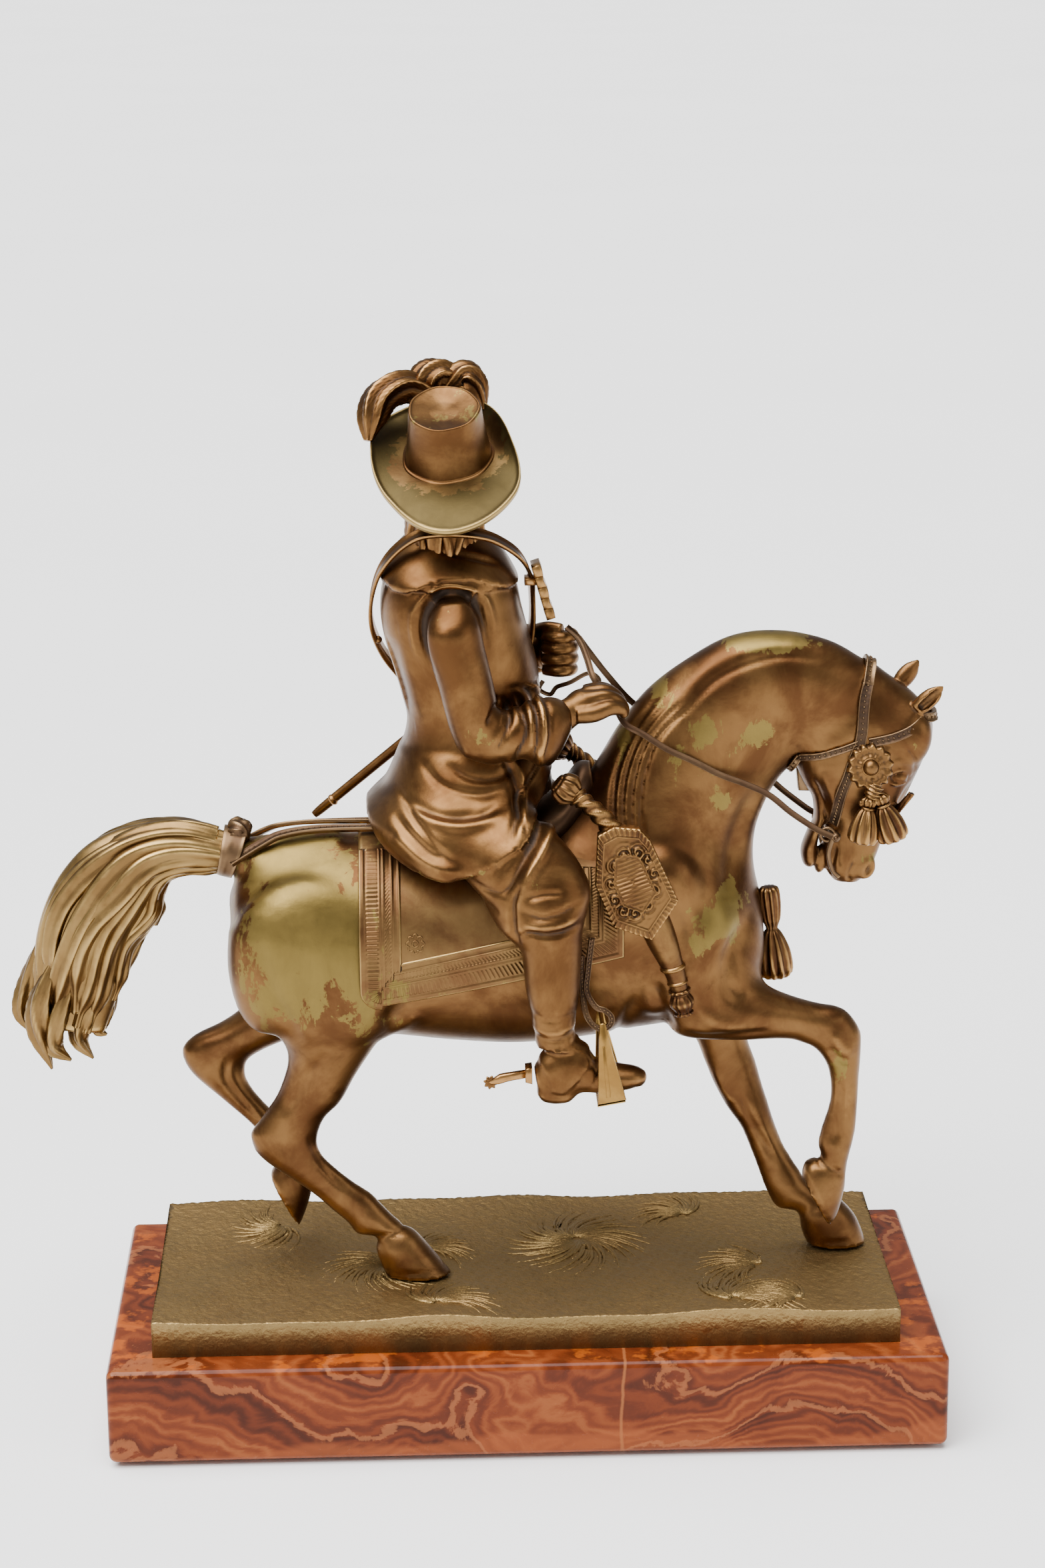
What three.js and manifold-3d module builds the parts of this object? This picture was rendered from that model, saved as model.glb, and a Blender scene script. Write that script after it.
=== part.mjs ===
// Equestrian statuette: a bronze cavalier on a bronze horse, on a ground plate and an onyx plinth.
// Millimetres, +Z up. +X is the way the horse faces and -Y is its right side.
// Every rounded form is a loft: a row holds two outline points (x, z) that face each other,
// the depth y of the line between them and the half width across y.
import * as THREE from 'three';
import { mergeVertices } from 'three/addons/utils/BufferGeometryUtils.js';
import { RoundedBoxGeometry } from 'three/addons/geometries/RoundedBoxGeometry.js';
import Module from 'manifold-3d';

const wasm = await Module();
wasm.setup();

// Driving dimensions
const GAP = 0.3;
const PLINTH = { long: 320, deep: 144, high: 37.8, round: 5 };
const BAIZE = 0.6;
const PAD = { long: 30, deep: 26, thick: 1.5, inset: { x: 21, y: 9 } };
const PLATE = { x: [-143, 142.5], y: [-59, 54], top: 52.2 };
const HOOF_Z = PLATE.top + GAP;
const CLOTH = { lift: 1.1, thick: 1.5 };

const v = (x, y, z) => new THREE.Vector3(x, y, z);
const clamp = (a, low, high) => Math.min(Math.max(a, low), high);

// Solids: closed geometries that manifold-3d joins and cuts

/** Turns a face list whose volume comes out negative, and drops everything but the positions. */
function closed(geometry) {
  const bare = new THREE.BufferGeometry();
  bare.setAttribute('position', geometry.getAttribute('position').clone());
  if (geometry.index) bare.setIndex(geometry.index.clone());
  const merged = mergeVertices(bare, 1e-4);
  const p = merged.getAttribute('position');
  const index = Array.from(merged.index.array);
  const faces = [];
  for (let i = 0; i < index.length; i += 3) {
    const [a, b, c] = [index[i], index[i + 1], index[i + 2]];
    if (a !== b && b !== c && a !== c) faces.push([a, b, c]);
  }
  const at = (i) => v(p.getX(i), p.getY(i), p.getZ(i));
  const volume = faces.reduce((sum, [a, b, c]) => sum + at(a).dot(at(b).cross(at(c))), 0);
  merged.setIndex((volume < 0 ? faces.map(([a, b, c]) => [a, c, b]) : faces).flat());
  return merged;
}

function toSolid(geometry) {
  const g = closed(geometry);
  const vertProperties = new Float32Array(g.getAttribute('position').array);
  const triVerts = new Uint32Array(g.index.array);
  return new wasm.Manifold(new wasm.Mesh({ numProp: 3, vertProperties, triVerts }));
}

function toGeometry(solid) {
  const mesh = solid.getMesh();
  const g = new THREE.BufferGeometry();
  g.setAttribute('position', new THREE.BufferAttribute(new Float32Array(mesh.vertProperties), 3));
  g.setIndex(Array.from(mesh.triVerts));
  return g;
}

const join = (...shapes) => shapes.flat().map(toSolid).reduce((a, b) => a.add(b));
const cut = (solid, ...others) => others.flat().reduce((a, b) => a.subtract(b), solid);

// Lofts

/** Row of numbers at t (0 to 1) along a list of rows, on a Catmull-Rom curve. */
function rowAt(rows, t) {
  const s = clamp(t, 0, 1) * (rows.length - 1);
  const i = Math.min(Math.floor(s), rows.length - 2);
  const f = s - i;
  const [p, q, r, u] = [-1, 0, 1, 2].map((k) => rows[clamp(i + k, 0, rows.length - 1)]);
  return q.map((_, c) => {
    const slopeIn = (r[c] - p[c]) / 2;
    const slopeOut = (u[c] - q[c]) / 2;
    const bend = 3 * (r[c] - q[c]) - 2 * slopeIn - slopeOut;
    const twist = 2 * (q[c] - r[c]) + slopeIn + slopeOut;
    return q[c] + f * (slopeIn + f * (bend + f * twist));
  });
}

/**
 * Point of a loft at t along it and angle round it: 0 at the first outline point, 180 degrees at
 * the other. egg widens one end, square fills the corners, grow swells the surface outwards and
 * flutes are shallow grooves along the loft.
 */
function loftPoint(rows, t, angle, shape = {}) {
  const { egg = 0, square = 2, grow = 0, flutes = 0, depth = 0, twist = 0 } = shape;
  const [ax, az, bx, bz, y, half] = rowAt(rows, t);
  const reach = v(ax - bx, 0, az - bz).multiplyScalar(0.5);
  const size = reach.length();
  const round = (a) => Math.sign(a) * Math.abs(a) ** (2 / square);
  const groove = flutes ? 1 + depth * Math.sin(flutes * angle + twist * t) : 1;
  const along = round(Math.cos(angle)) * (1 + grow / size) * groove;
  const across = round(Math.sin(angle)) * (half + grow) * (1 - egg * Math.cos(angle)) * groove;
  const middle = v((ax + bx) / 2, y, (az + bz) / 2);
  return middle.addScaledVector(reach, along).add(v(0, across, 0));
}

/** Closed geometry through rings of points; both ends are closed by fans. */
function skin(rings) {
  const sides = rings[0].length;
  const centre = (ring) => ring.reduce((a, p) => a.add(p), v(0, 0, 0)).divideScalar(sides);
  const points = [...rings.flat(), centre(rings[0]), centre(rings.at(-1))];
  const faces = [];
  for (let i = 0; i < rings.length - 1; i += 1) {
    for (let j = 0; j < sides; j += 1) {
      const [a, b] = [i * sides + j, i * sides + ((j + 1) % sides)];
      faces.push(a, b, b + sides, a, b + sides, a + sides);
    }
  }
  const last = (rings.length - 1) * sides;
  for (let j = 0; j < sides; j += 1) {
    const k = (j + 1) % sides;
    faces.push(points.length - 2, k, j, points.length - 1, last + j, last + k);
  }
  const g = new THREE.BufferGeometry().setFromPoints(points);
  g.setIndex(faces);
  return g;
}

function loft(rows, sides, steps, shape = {}) {
  const rings = [];
  for (let i = 0; i <= steps; i += 1) {
    const ring = [];
    for (let j = 0; j < sides; j += 1) {
      ring.push(loftPoint(rows, i / steps, (2 * Math.PI * j) / sides, shape));
    }
    rings.push(ring);
  }
  return skin(rings);
}

/** The same rows on the other side of the horse. */
const mirrored = (rows) => rows.map(([ax, az, bx, bz, y, half]) => [ax, az, bx, bz, -y, half]);

/** Closed shell between an outer and an inner grid of points; wrapped grids close on themselves. */
function shell(outer, inner, wrapped = false) {
  const [rows, cols] = [outer.length, outer[0].length];
  const points = [...outer.flat(), ...inner.flat()];
  const under = rows * cols;
  const faces = [];
  const quad = (a, b, c, d) => faces.push(a, b, c, a, c, d);
  const lastCol = wrapped ? cols : cols - 1;
  for (let i = 0; i < rows - 1; i += 1) {
    for (let j = 0; j < lastCol; j += 1) {
      const k = (j + 1) % cols;
      const [a, b, c, d] = [i * cols + j, i * cols + k, (i + 1) * cols + k, (i + 1) * cols + j];
      quad(a, b, c, d);
      quad(under + d, under + c, under + b, under + a);
    }
  }
  for (let j = 0; j < lastCol; j += 1) {
    const k = (j + 1) % cols;
    const end = (rows - 1) * cols;
    quad(k, j, under + j, under + k);
    quad(end + j, end + k, under + end + k, under + end + j);
  }
  if (!wrapped) {
    for (let i = 0; i < rows - 1; i += 1) {
      const [a, d] = [i * cols, (i + 1) * cols];
      const [b, c] = [a + cols - 1, d + cols - 1];
      quad(a, d, under + d, under + a);
      quad(c, b, under + b, under + c);
    }
  }
  const g = new THREE.BufferGeometry().setFromPoints(points);
  g.setIndex(faces);
  return g;
}

/** Flat strap along points; face gives the direction that its broad side looks in at each point. */
function strap(points, width, thick, steps, face) {
  const path = new THREE.CatmullRomCurve3(points);
  const rings = [];
  for (let i = 0; i <= steps; i += 1) {
    const at = path.getPoint(i / steps);
    const ahead = path.getTangent(i / steps);
    const out = face(i / steps, at).projectOnPlane(ahead).normalize();
    const side = ahead.clone().cross(out).multiplyScalar(width / 2);
    out.multiplyScalar(thick / 2);
    const corner = (a, b) => at.clone().addScaledVector(side, a).addScaledVector(out, b);
    rings.push([corner(-1, -1), corner(1, -1), corner(1, 1), corner(-1, 1)]);
  }
  return skin(rings);
}

/** Round rod along a curve. */
function rod(points, radius, sides, steps) {
  const section = new THREE.Shape();
  for (let i = 0; i < sides; i += 1) {
    const a = (2 * Math.PI * i) / sides;
    const [x, y] = [radius * Math.cos(a), radius * Math.sin(a)];
    if (i === 0) section.moveTo(x, y);
    else section.lineTo(x, y);
  }
  section.closePath();
  const extrudePath = new THREE.CatmullRomCurve3(points);
  return new THREE.ExtrudeGeometry(section, { steps, bevelEnabled: false, extrudePath });
}

/** Turned form: profile rows are [radius, height] from the axis back to the axis, with optional flutes. */
function turned(profile, sides, at, axis, flutes = 0, depth = 0) {
  const g = new THREE.LatheGeometry(profile.map(([r, h]) => new THREE.Vector2(r, h)), sides);
  const p = g.getAttribute('position');
  for (let i = 0; i < p.count && flutes; i += 1) {
    const k = 1 + depth * Math.cos(flutes * Math.atan2(p.getZ(i), p.getX(i)));
    p.setXYZ(i, p.getX(i) * k, p.getY(i), p.getZ(i) * k);
  }
  const turn = new THREE.Quaternion().setFromUnitVectors(v(0, 1, 0), axis.clone().normalize());
  return g.applyQuaternion(turn).translate(at.x, at.y, at.z);
}

const ball = (at, r, sides = 10) =>
  new THREE.SphereGeometry(r, sides, Math.round(sides * 0.6)).translate(at.x, at.y, at.z);

// Horse sections, from the outline seen at its right side

const TRUNK = [
  [-111.5, 203, -109, 178, 0, 12], [-108, 211, -106, 164, 0, 24], [-100, 217.5, -100, 156, 0, 31],
  [-88, 222.5, -90, 152, 0, 35], [-72, 226, -72, 149.5, 0, 36.5], [-50, 226.5, -50, 147.5, 0, 36],
  [-25, 225.5, -25, 144.5, 0, 36.5], [0, 226.5, 0, 143, 0, 36.5], [25, 229.5, 25, 145, 0, 35],
  [45, 236, 45, 148, 0, 32.5], [62, 236, 62, 150, 0, 29.5], [78, 222, 78, 153, 0, 26],
  [89, 205, 86, 160, 0, 19], [92.5, 195, 90.5, 170, 0, 12],
];
const NECK = [
  [10, 232, 80, 160, 0, 26], [22, 243, 89, 172, 0, 25], [30, 254.5, 91.5, 190, 0, 22.5],
  [38, 268, 90, 210, 0, 19.5], [49, 282, 90.5, 226, 0, 17], [64, 293.5, 95.5, 240, 0, 15],
  [81, 302.4, 101.5, 249, 0, 14], [99, 304.1, 107, 252.5, 0, 13], [118, 300, 110, 251, 0, 12.5],
  [132.5, 291.5, 114, 256, 0, 11],
];
const DOCK = [
  [-70, 228, -70, 205, 0, 12], [-88, 227.3, -88, 205, 0, 12], [-98, 226.5, -99, 208, 0, 10.5],
  [-106, 225.8, -108.5, 212.5, 0, 8],
];
const HEAD = [
  [133, 292.5, 118, 268, 0, 9],
  [140, 287, 112, 266, 0, 11], [150, 279.5, 107.5, 258, 0, 13], [156.8, 271, 108, 251.5, 0, 14],
  [157.7, 263, 110, 246, 0, 14.5], [155, 255, 112.5, 240.5, 0, 13.5], [151.2, 246, 114.5, 235.5, 0, 12],
  [147.5, 238, 116.5, 231, 0, 10], [143.4, 231, 117.4, 227, 0, 8.6], [139.8, 222.5, 116.6, 221.5, 0, 8],
  [137.2, 215, 116.4, 213.5, 0, 8.2], [134.5, 208.8, 118.5, 208.8, 0, 7],
  [130.5, 204.9, 121, 205.5, 0, 4.5],
];
const JAW = [
  [121, 240, 112, 243, 0, 8], [118.5, 232, 113, 231, 0, 6.5], [116, 226, 110.6, 225, 0, 6],
  [114.6, 220, 108.2, 218, 0, 6], [114.5, 214, 109, 212.5, 0, 4.8], [113, 211.2, 110.8, 210.8, 0, 2.5],
];
const RIGHT_HIND = [
  [-46, 192, -110, 194, -17, 17], [-45, 174, -109.5, 180, -18.5, 17.5], [-50, 158, -103, 164, -18.5, 16],
  [-57, 147, -94, 153.5, -18, 13], [-64, 136, -90, 143, -17.5, 10.5], [-70, 125, -94, 129, -17.2, 8.5],
  [-76.5, 118, -100.5, 118.7, -17, 7.5], [-79.5, 109.5, -105.6, 110.5, -17, 7.2],
  [-77.5, 102.5, -101, 101.5, -17, 6],
  [-71.5, 95.5, -83.5, 88, -17, 4.8], [-65, 90, -75, 80, -17, 4.6], [-59.5, 86, -68.5, 74, -17, 5],
  [-55, 81, -65, 69.5, -17.2, 5.6], [-50, 75.5, -58, 68.3, -17.4, 5.2], [-45, 71.3, -56.5, 64.5, -17.5, 6],
];
const RIGHT_HIND_HOOF = [
  [-46, 71.5, -56.8, 66.5, -17.5, 5], [-42, 69.5, -57, 62, -17.5, 7.2],
  [-35, 61, -55.5, 57, -17.5, 8.3], [-28.5, HOOF_Z, -54.5, HOOF_Z, -17.5, 9.2],
];
const LEFT_HIND = [
  [-46, 192, -110, 194, 17, 17], [-44, 172, -110, 181, 18.5, 17.5], [-58, 156, -107, 164, 18, 15],
  [-77, 146, -106.5, 154, 17.5, 12], [-90, 139, -111, 149.4, 17, 10], [-99, 135, -118, 144.8, 17, 8.6],
  [-106, 130.8, -128, 140, 17, 7.4], [-108.3, 127, -133, 134, 17, 7],
  [-108, 121.5, -129.5, 124.8, 17, 6.2], [-103.8, 114.3, -117.6, 113.2, 17, 4.8],
  [-97, 106.5, -107, 103, 17, 4.6], [-91, 100.5, -101, 95, 17, 4.9], [-86.5, 94, -98.5, 90.5, 17, 5.5],
  [-84.5, 87, -95.5, 87.5, 17, 5.1], [-83, 80.5, -96.5, 85.5, 17, 6.2],
];
const LEFT_HIND_HOOF = [
  [-83.5, 83.5, -95.5, 88, 17, 5], [-82.5, 79, -97.5, 85.5, 17, 7],
  [-84.3, 70, -98.5, 83.5, 17, 7.8], [-88.4, 58.8, -99.9, 81, 17, 8.4],
];
const RIGHT_FORE = [
  [72, 192, 48, 172, -12, 14], [86, 177, 54, 157, -15.5, 14], [94, 169, 60.5, 149.6, -18, 12.5],
  [103, 164.8, 78, 147.9, -19, 10], [113, 161.6, 100, 147.8, -19, 7.5], [123.5, 159, 107, 146.2, -19, 7],
  [129.8, 151, 112.5, 143.6, -19, 7], [130.5, 143, 117, 137.5, -19, 6.5], [130, 132, 118.9, 130, -19, 5.2],
  [129.7, 121, 118.8, 121, -19, 4.5], [129, 109.5, 115.8, 110.5, -19, 4.6],
  [127.6, 102.5, 114.6, 103.7, -19, 5.3],
  [126.3, 97, 115.8, 98.5, -19, 5.3], [125.6, 90, 112.5, 96, -19, 5.2],
];
const RIGHT_FORE_HOOF = [
  [125.3, 91, 113.5, 98, -19, 5], [125.3, 86, 110, 96.5, -19, 6.4],
  [123, 76, 108.6, 93, -19, 7.6], [119.8, 68.6, 108.6, 90, -19, 8.4],
];
const LEFT_FORE = [
  [80, 188, 45, 182, 12, 14], [90, 168, 51, 162, 14.5, 14], [91, 151, 60, 147, 14, 11.5],
  [89.5, 138, 68.5, 138, 13, 9], [93, 127, 73, 127, 12, 7.7], [95.5, 118, 77, 117.5, 11, 7],
  [98, 110, 81.5, 109, 10, 6.9], [100.5, 102, 87, 101, 9.2, 6], [103.8, 93.5, 91, 91.5, 8.3, 4.9],
  [107.5, 87, 94.5, 82, 7.4, 4.7], [110.5, 82.5, 97.5, 74, 6.5, 5.2], [113, 78.5, 101.5, 67.3, 6, 5.5],
  [119, 73.5, 108.5, 66, 5.4, 5.4], [125.5, 70.5, 111, 63.5, 5, 6.4],
];
const LEFT_FORE_HOOF = [
  [124, 72, 110, 66.5, 5, 5], [127, 70, 110.6, 63.5, 5, 7.4],
  [133, 63, 111.5, 57.5, 5, 8.5], [137.3, HOOF_Z, 113.5, HOOF_Z, 5, 9.3],
];
const TAIL = [
  [-107, 226.5, -110.5, 215, 0, 6.3], [-114, 229, -115.5, 214.2, 0, 7.3],
  [-121, 231.3, -120.5, 213.3, 0, 8.4], [-131, 233.2, -129.5, 212.6, 0, 10],
  [-143, 232.4, -136.5, 209.5, 0, 12], [-155, 229.5, -139.5, 203, 0, 13.5],
  [-166, 223.5, -139.5, 195.5, 0, 14.5], [-175.5, 213, -142.5, 189, 0, 14.5],
  [-182, 201, -147.5, 182.5, 0, 14], [-186, 188, -151.8, 173.5, 0, 13],
  [-187.5, 176, -155.2, 164.5, 0, 11.5], [-188.5, 163, -158.5, 156, 0, 9.5],
  [-187, 152, -161.5, 148.5, 0, 7],
];
const TAIL_LOCKS = [
  [[-187, 180, -178, 178, 4, 6], [-191.5, 163, -181, 158, 5, 5], [-195, 155.5, -188, 149.5, 4.5, 3],
    [-192.3, 148.2, -191, 148, 4, 1]],
  [[-187, 168, -170, 166, -4, 8], [-186, 150, -172, 148, -5, 6], [-185, 139, -175.5, 139, -4.5, 3.5],
    [-182.5, 134.9, -180.5, 134.7, -4, 1.2]],
  [[-180, 165, -158, 163, 0, 8], [-177, 150, -160.5, 149, 1, 6], [-173, 141, -164, 144, 2, 4],
    [-167.8, 137.2, -166.3, 137, 2, 1.2]],
];

/** Flat plate cut to an outline of (x, z) points, lying across y from y0 to y1. */
function plateOf(outline, y0, y1) {
  const shape = new THREE.Shape(outline.map(([x, z]) => new THREE.Vector2(x, z)));
  const g = new THREE.ExtrudeGeometry(shape, { depth: y1 - y0, bevelEnabled: false });
  return g.rotateX(Math.PI / 2).translate(0, y1, 0);
}

// Finding places on the side of a loft

/** Surface point and outward direction where the line of sight across y meets a loft at (x, z). */
function sideSpot(rows, shape, x, z, side) {
  let best = { miss: Infinity };
  for (let i = 0; i <= 160; i += 1) {
    const t = i / 160;
    const [ax, az, bx, bz] = rowAt(rows, t);
    const reach = v(ax - bx, 0, az - bz).multiplyScalar(0.5);
    const from = v(x - (ax + bx) / 2, 0, z - (az + bz) / 2);
    const along = clamp(from.dot(reach) / reach.lengthSq(), -0.98, 0.98);
    const miss = from.addScaledVector(reach, -along).length();
    if (miss < best.miss) best = { miss, t, angle: Math.acos(along) };
  }
  const { t, angle } = best;
  const at = loftPoint(rows, t, side * angle, shape);
  const spot = (dt, da) => loftPoint(rows, clamp(t + dt, 0, 1), side * (angle + da), shape);
  const onward = spot(0.01, 0).sub(spot(-0.01, 0));
  const around = spot(0, 0.05).sub(spot(0, -0.05));
  const out = onward.cross(around).normalize();
  if (out.y * side < 0) out.negate();
  return { at, out };
}

/** Strap half sunk in the side of a loft, through outline points. */
function laidStrap(rows, shape, outline, side, width, thick, steps) {
  const spots = outline.map(([x, z]) => sideSpot(rows, shape, x, z, side));
  const face = (t) => {
    const i = Math.round(t * (spots.length - 1));
    return spots[i].out.clone();
  };
  return strap(spots.map((s) => s.at), width, thick, steps, face);
}

// Horse

const NECK_SHAPE = { egg: -0.22 };
const HEAD_SHAPE = { square: 2.3 };
const HOOF_SHAPE = { square: 2.2 };
const BROWBAND = [[133, 263.5], [141, 265], [148, 267.5], [153, 271]];
const CHEEKPIECE = [[128, 262], [124.5, 251], [122.3, 244], [121, 236], [120.2, 230]];
const BRIDLE = { wide: 4, thick: 1.9 };
const THROAT_TAB = [[106.3, 250.5], [113, 253], [113, 240.4], [107.3, 240.6]];

const trunk = (grow = 0) => loft(TRUNK, 14, 13, { grow });
const neck = (grow = 0) => loft(NECK, 12, 9, { ...NECK_SHAPE, grow });
const head = (grow = 0) => [loft(HEAD, 10, 12, { ...HEAD_SHAPE, grow }), loft(JAW, 6, 5, { grow })];

/** Trunk, dock, neck and legs. */
function horseLofts(grow = 0) {
  const body = [trunk(grow), loft(DOCK, 8, 3, { grow }), neck(grow)];
  const legs = [RIGHT_HIND, LEFT_HIND, RIGHT_FORE, LEFT_FORE];
  return [...body, ...legs.map((rows) => loft(rows, 6, rows.length - 1, { grow }))];
}

/** Pointed ear on five-sided rings; base and tip are (x, z), and spread is its lean across y. */
function ear(base, tip, y, spread) {
  const along = v(tip[0] - base[0], 0, tip[1] - base[1]);
  const wide = v(-along.z, 0, along.x).normalize();
  const rings = [[0, 3.2], [0.35, 3.8], [0.7, 3.1], [0.95, 0.9]].map(([t, half]) => {
    const at = v(base[0], y + spread * t, base[1]).addScaledVector(along, t);
    return [0, 1, 2, 3, 4].map((k) => {
      const a = (k * Math.PI) / 2.5;
      const across = v(0, half * 0.7 * Math.sin(a), 0);
      return at.clone().addScaledVector(wide, half * Math.cos(a)).add(across);
    });
  });
  return skin(rings);
}

function horse() {
  const cheeks = new THREE.SphereGeometry(1, 8, 5).scale(12.5, 13.8, 12.5).translate(119.5, 0, 252);
  const ears = [ear([150.4, 274.6], [160.4, 284], -8, -1.5), ear([145.2, 280], [153.6, 289.8], 7.5, 1.5)];
  const eyes = [-1, 1].map((side) => new THREE.SphereGeometry(1, 5, 4)
    .scale(4.2, 2.6, 3.2).translate(143.5, 12 * side, 249.5));
  const hooves = [RIGHT_HIND_HOOF, LEFT_HIND_HOOF, RIGHT_FORE_HOOF, LEFT_FORE_HOOF]
    .map((rows) => loft(rows, 8, 3, HOOF_SHAPE));
  const straps = [-1, 1].flatMap((side) => [
    laidStrap(HEAD, HEAD_SHAPE, BROWBAND, side, BRIDLE.wide, BRIDLE.thick, 3),
    laidStrap(HEAD, HEAD_SHAPE, CHEEKPIECE, side, BRIDLE.wide, BRIDLE.thick, 4),
  ]);
  const tab = plateOf(THROAT_TAB, 1, 7);
  return join(horseLofts(), head(), cheeks, ears, eyes, hooves, straps, tab);
}

const tailHair = (grow = 0) => loft(TAIL, 12, 12, { flutes: 6, depth: 0.05, twist: 3, grow });
const tail = () => join(tailHair(), TAIL_LOCKS.map((rows) => loft(rows, 5, 3)));

/** Band round the tail root, knot on it and two straps that part over the croup. */
function crupper(horseGrown, tailGrown) {
  const rings = [
    [-112.5, 231, -116, 212, 0, 9.8], [-107, 230.6, -113, 211, 0, 10.2],
    [-103.4, 230, -110.6, 210.4, 0, 10.6],
  ];
  const knot = new THREE.SphereGeometry(1, 7, 4).scale(5, 5, 4).translate(-107, -1, 228.8);
  const path = [[-62, 5, 230.6], [-76, 5, 230.4], [-90, 6.5, 229], [-98, 8.6, 226], [-110, 9.6, 219]];
  const away = (side) => (t) => v(-t, 0.9 * side * t, 1);
  const run = (side) => strap(
    path.map(([x, y, z]) => v(x, y * side, z)), 3.6, 1.8, 6, away(side));
  return cut(join(loft(rings, 10, 2), knot, run(-1), run(1)), horseGrown, tailGrown);
}

/** Tapering round limb through stations [x, y, z, radius], with optional grooves along it. */
function limb(stations, sides, steps, { flutes = 0, depth = 0 } = {}) {
  const path = new THREE.CatmullRomCurve3(stations.map(([x, y, z]) => v(x, y, z)));
  const { normals, binormals } = path.computeFrenetFrames(steps, false);
  const rings = [];
  for (let i = 0; i <= steps; i += 1) {
    const at = path.getPoint(i / steps);
    const [, , , radius] = rowAt(stations, i / steps);
    const ring = [];
    for (let j = 0; j < sides; j += 1) {
      const a = (2 * Math.PI * j) / sides;
      const r = radius * (1 + depth * Math.cos(flutes * a));
      const out = normals[i].clone().multiplyScalar(r * Math.cos(a));
      ring.push(out.addScaledVector(binormals[i], r * Math.sin(a)).add(at));
    }
    rings.push(ring);
  }
  return skin(rings);
}

// Saddlecloth and saddle

const CLOTH_EDGE = { rear: -61.5, front: 38, corner: 8, low: 168.6, rise: 0.19 };

/** Height of the cloth's lower edge at x, with the rounded rear corner. */
function clothLow(x) {
  const { rear, corner, low, rise } = CLOTH_EDGE;
  const into = clamp(x - rear, 0, corner);
  return low + rise * (x - rear) + corner - Math.sqrt(corner ** 2 - (corner - into) ** 2);
}

/** Where along the trunk its section lies at x. */
function trunkAt(x) {
  let [low, high] = [0, 1];
  for (let i = 0; i < 30; i += 1) {
    const middle = (low + high) / 2;
    const [ax, , bx] = rowAt(TRUNK, middle);
    if ((ax + bx) / 2 < x) low = middle;
    else high = middle;
  }
  return low;
}

function saddlecloth(grow = 0) {
  const places = [0, 0.03, 0.09, 0.25, 0.5, 0.75, 1];
  const halfTurns = 6;
  const sheet = (lift) => places.map((f) => {
    const x = CLOTH_EDGE.rear + f * (CLOTH_EDGE.front - CLOTH_EDGE.rear);
    const t = trunkAt(x);
    const [, az, , bz] = rowAt(TRUNK, t);
    const widest = Math.acos(((2 * clothLow(x)) - az - bz) / (az - bz));
    const row = [];
    for (let j = -halfTurns; j <= halfTurns; j += 1) {
      row.push(loftPoint(TRUNK, t, (widest * j) / halfTurns, { grow: lift }));
    }
    return row;
  });
  return shell(sheet(CLOTH.lift + CLOTH.thick + grow), sheet(CLOTH.lift - grow));
}

const SADDLE = [
  [-53, 243, -51, 226, 0, 12], [-48, 247, -48, 220, 0, 18], [-40, 240, -40, 218, 0, 22],
  [-20, 236, -20, 218, 0, 22], [0, 237, 0, 219, 0, 20], [14, 243, 14, 222, 0, 17],
  [22, 253, 23, 230, 0, 14], [27, 254, 29, 240, 0, 8],
];

// Holsters, stirrups and spurs, written for the right side

const COVER = [
  [28, 236], [34, 239.3], [43.6, 238.3], [47.4, 234], [58.2, 209.7], [48.4, 194.6], [34, 200], [27, 216.5],
];
const inset = (outline, k) => {
  const [cx, cz] = [0, 1].map((c) => outline.reduce((sum, p) => sum + p[c], 0) / outline.length);
  return outline.map(([x, z]) => [cx + (x - cx) * k, cz + (z - cz) * k]);
};

/** Pistol holster: knobbed grip, six-cornered cover with raised rims, tapering tube and finial. */
function holster() {
  const grip = limb(
    [[18, -31, 251, 3.6], [24, -32.5, 247, 3], [31, -34, 240.5, 3.4], [36, -34, 232, 4]],
    5, 3, { flutes: 3, depth: 0.08 });
  const knob = [[0, -5], [3.6, -4.4], [6, 0], [4.6, 3.6], [0, 4.6]];
  const pommel = turned(knob, 8, v(16.6, -31, 252.2), v(-0.8, 0, 0.6));
  const cover = plateOf(COVER, -38, -34);
  const rim = [plateOf(inset(COVER, 0.84), -38.8, -37), plateOf(inset(COVER, 0.5), -39.6, -37)];
  const tube = limb(
    [[38, -32, 226, 7.5], [46, -32, 208, 8], [52, -32.5, 193, 6.4], [57, -33, 181, 4],
      [59.5, -33, 172, 3]], 6, 4);
  const urn = [[0, -6], [3.2, -5.6], [4.6, -1], [3.2, 3], [4, 4.6], [0, 5.6]];
  const finial = turned(urn, 6, v(60, -33, 168.5), v(-0.2, 0, 1));
  return join(grip, pommel, cover, rim, tube, finial);
}

/** Stirrup: two flaring side plates, a rib on the outer one, a tread below and a bar above. */
function stirrup() {
  const side = [[27.7, 169], [29.7, 169], [30.9, 163.2], [37.5, 138.6], [26.8, 136.8], [27.2, 163]];
  const [outer, inner] = [-58.4, -37.6];
  const plates = [plateOf(side, outer, outer + 1.4), plateOf(side, inner - 1.4, inner)];
  const rib = plateOf([[28.4, 160], [29, 160], [31.4, 138.4], [29.4, 138]], outer - 0.8, outer + 0.4);
  const tread = plateOf([[26.8, 135.8], [37.3, 137.6], [37.3, 138.8], [26.8, 137.4]], outer, inner);
  const bar = rod([v(28.8, outer + 0.2, 167.2), v(28.8, inner - 0.2, 167.2)], 0.8, 6, 1);
  return join(plates, rib, tread, bar);
}

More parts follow.
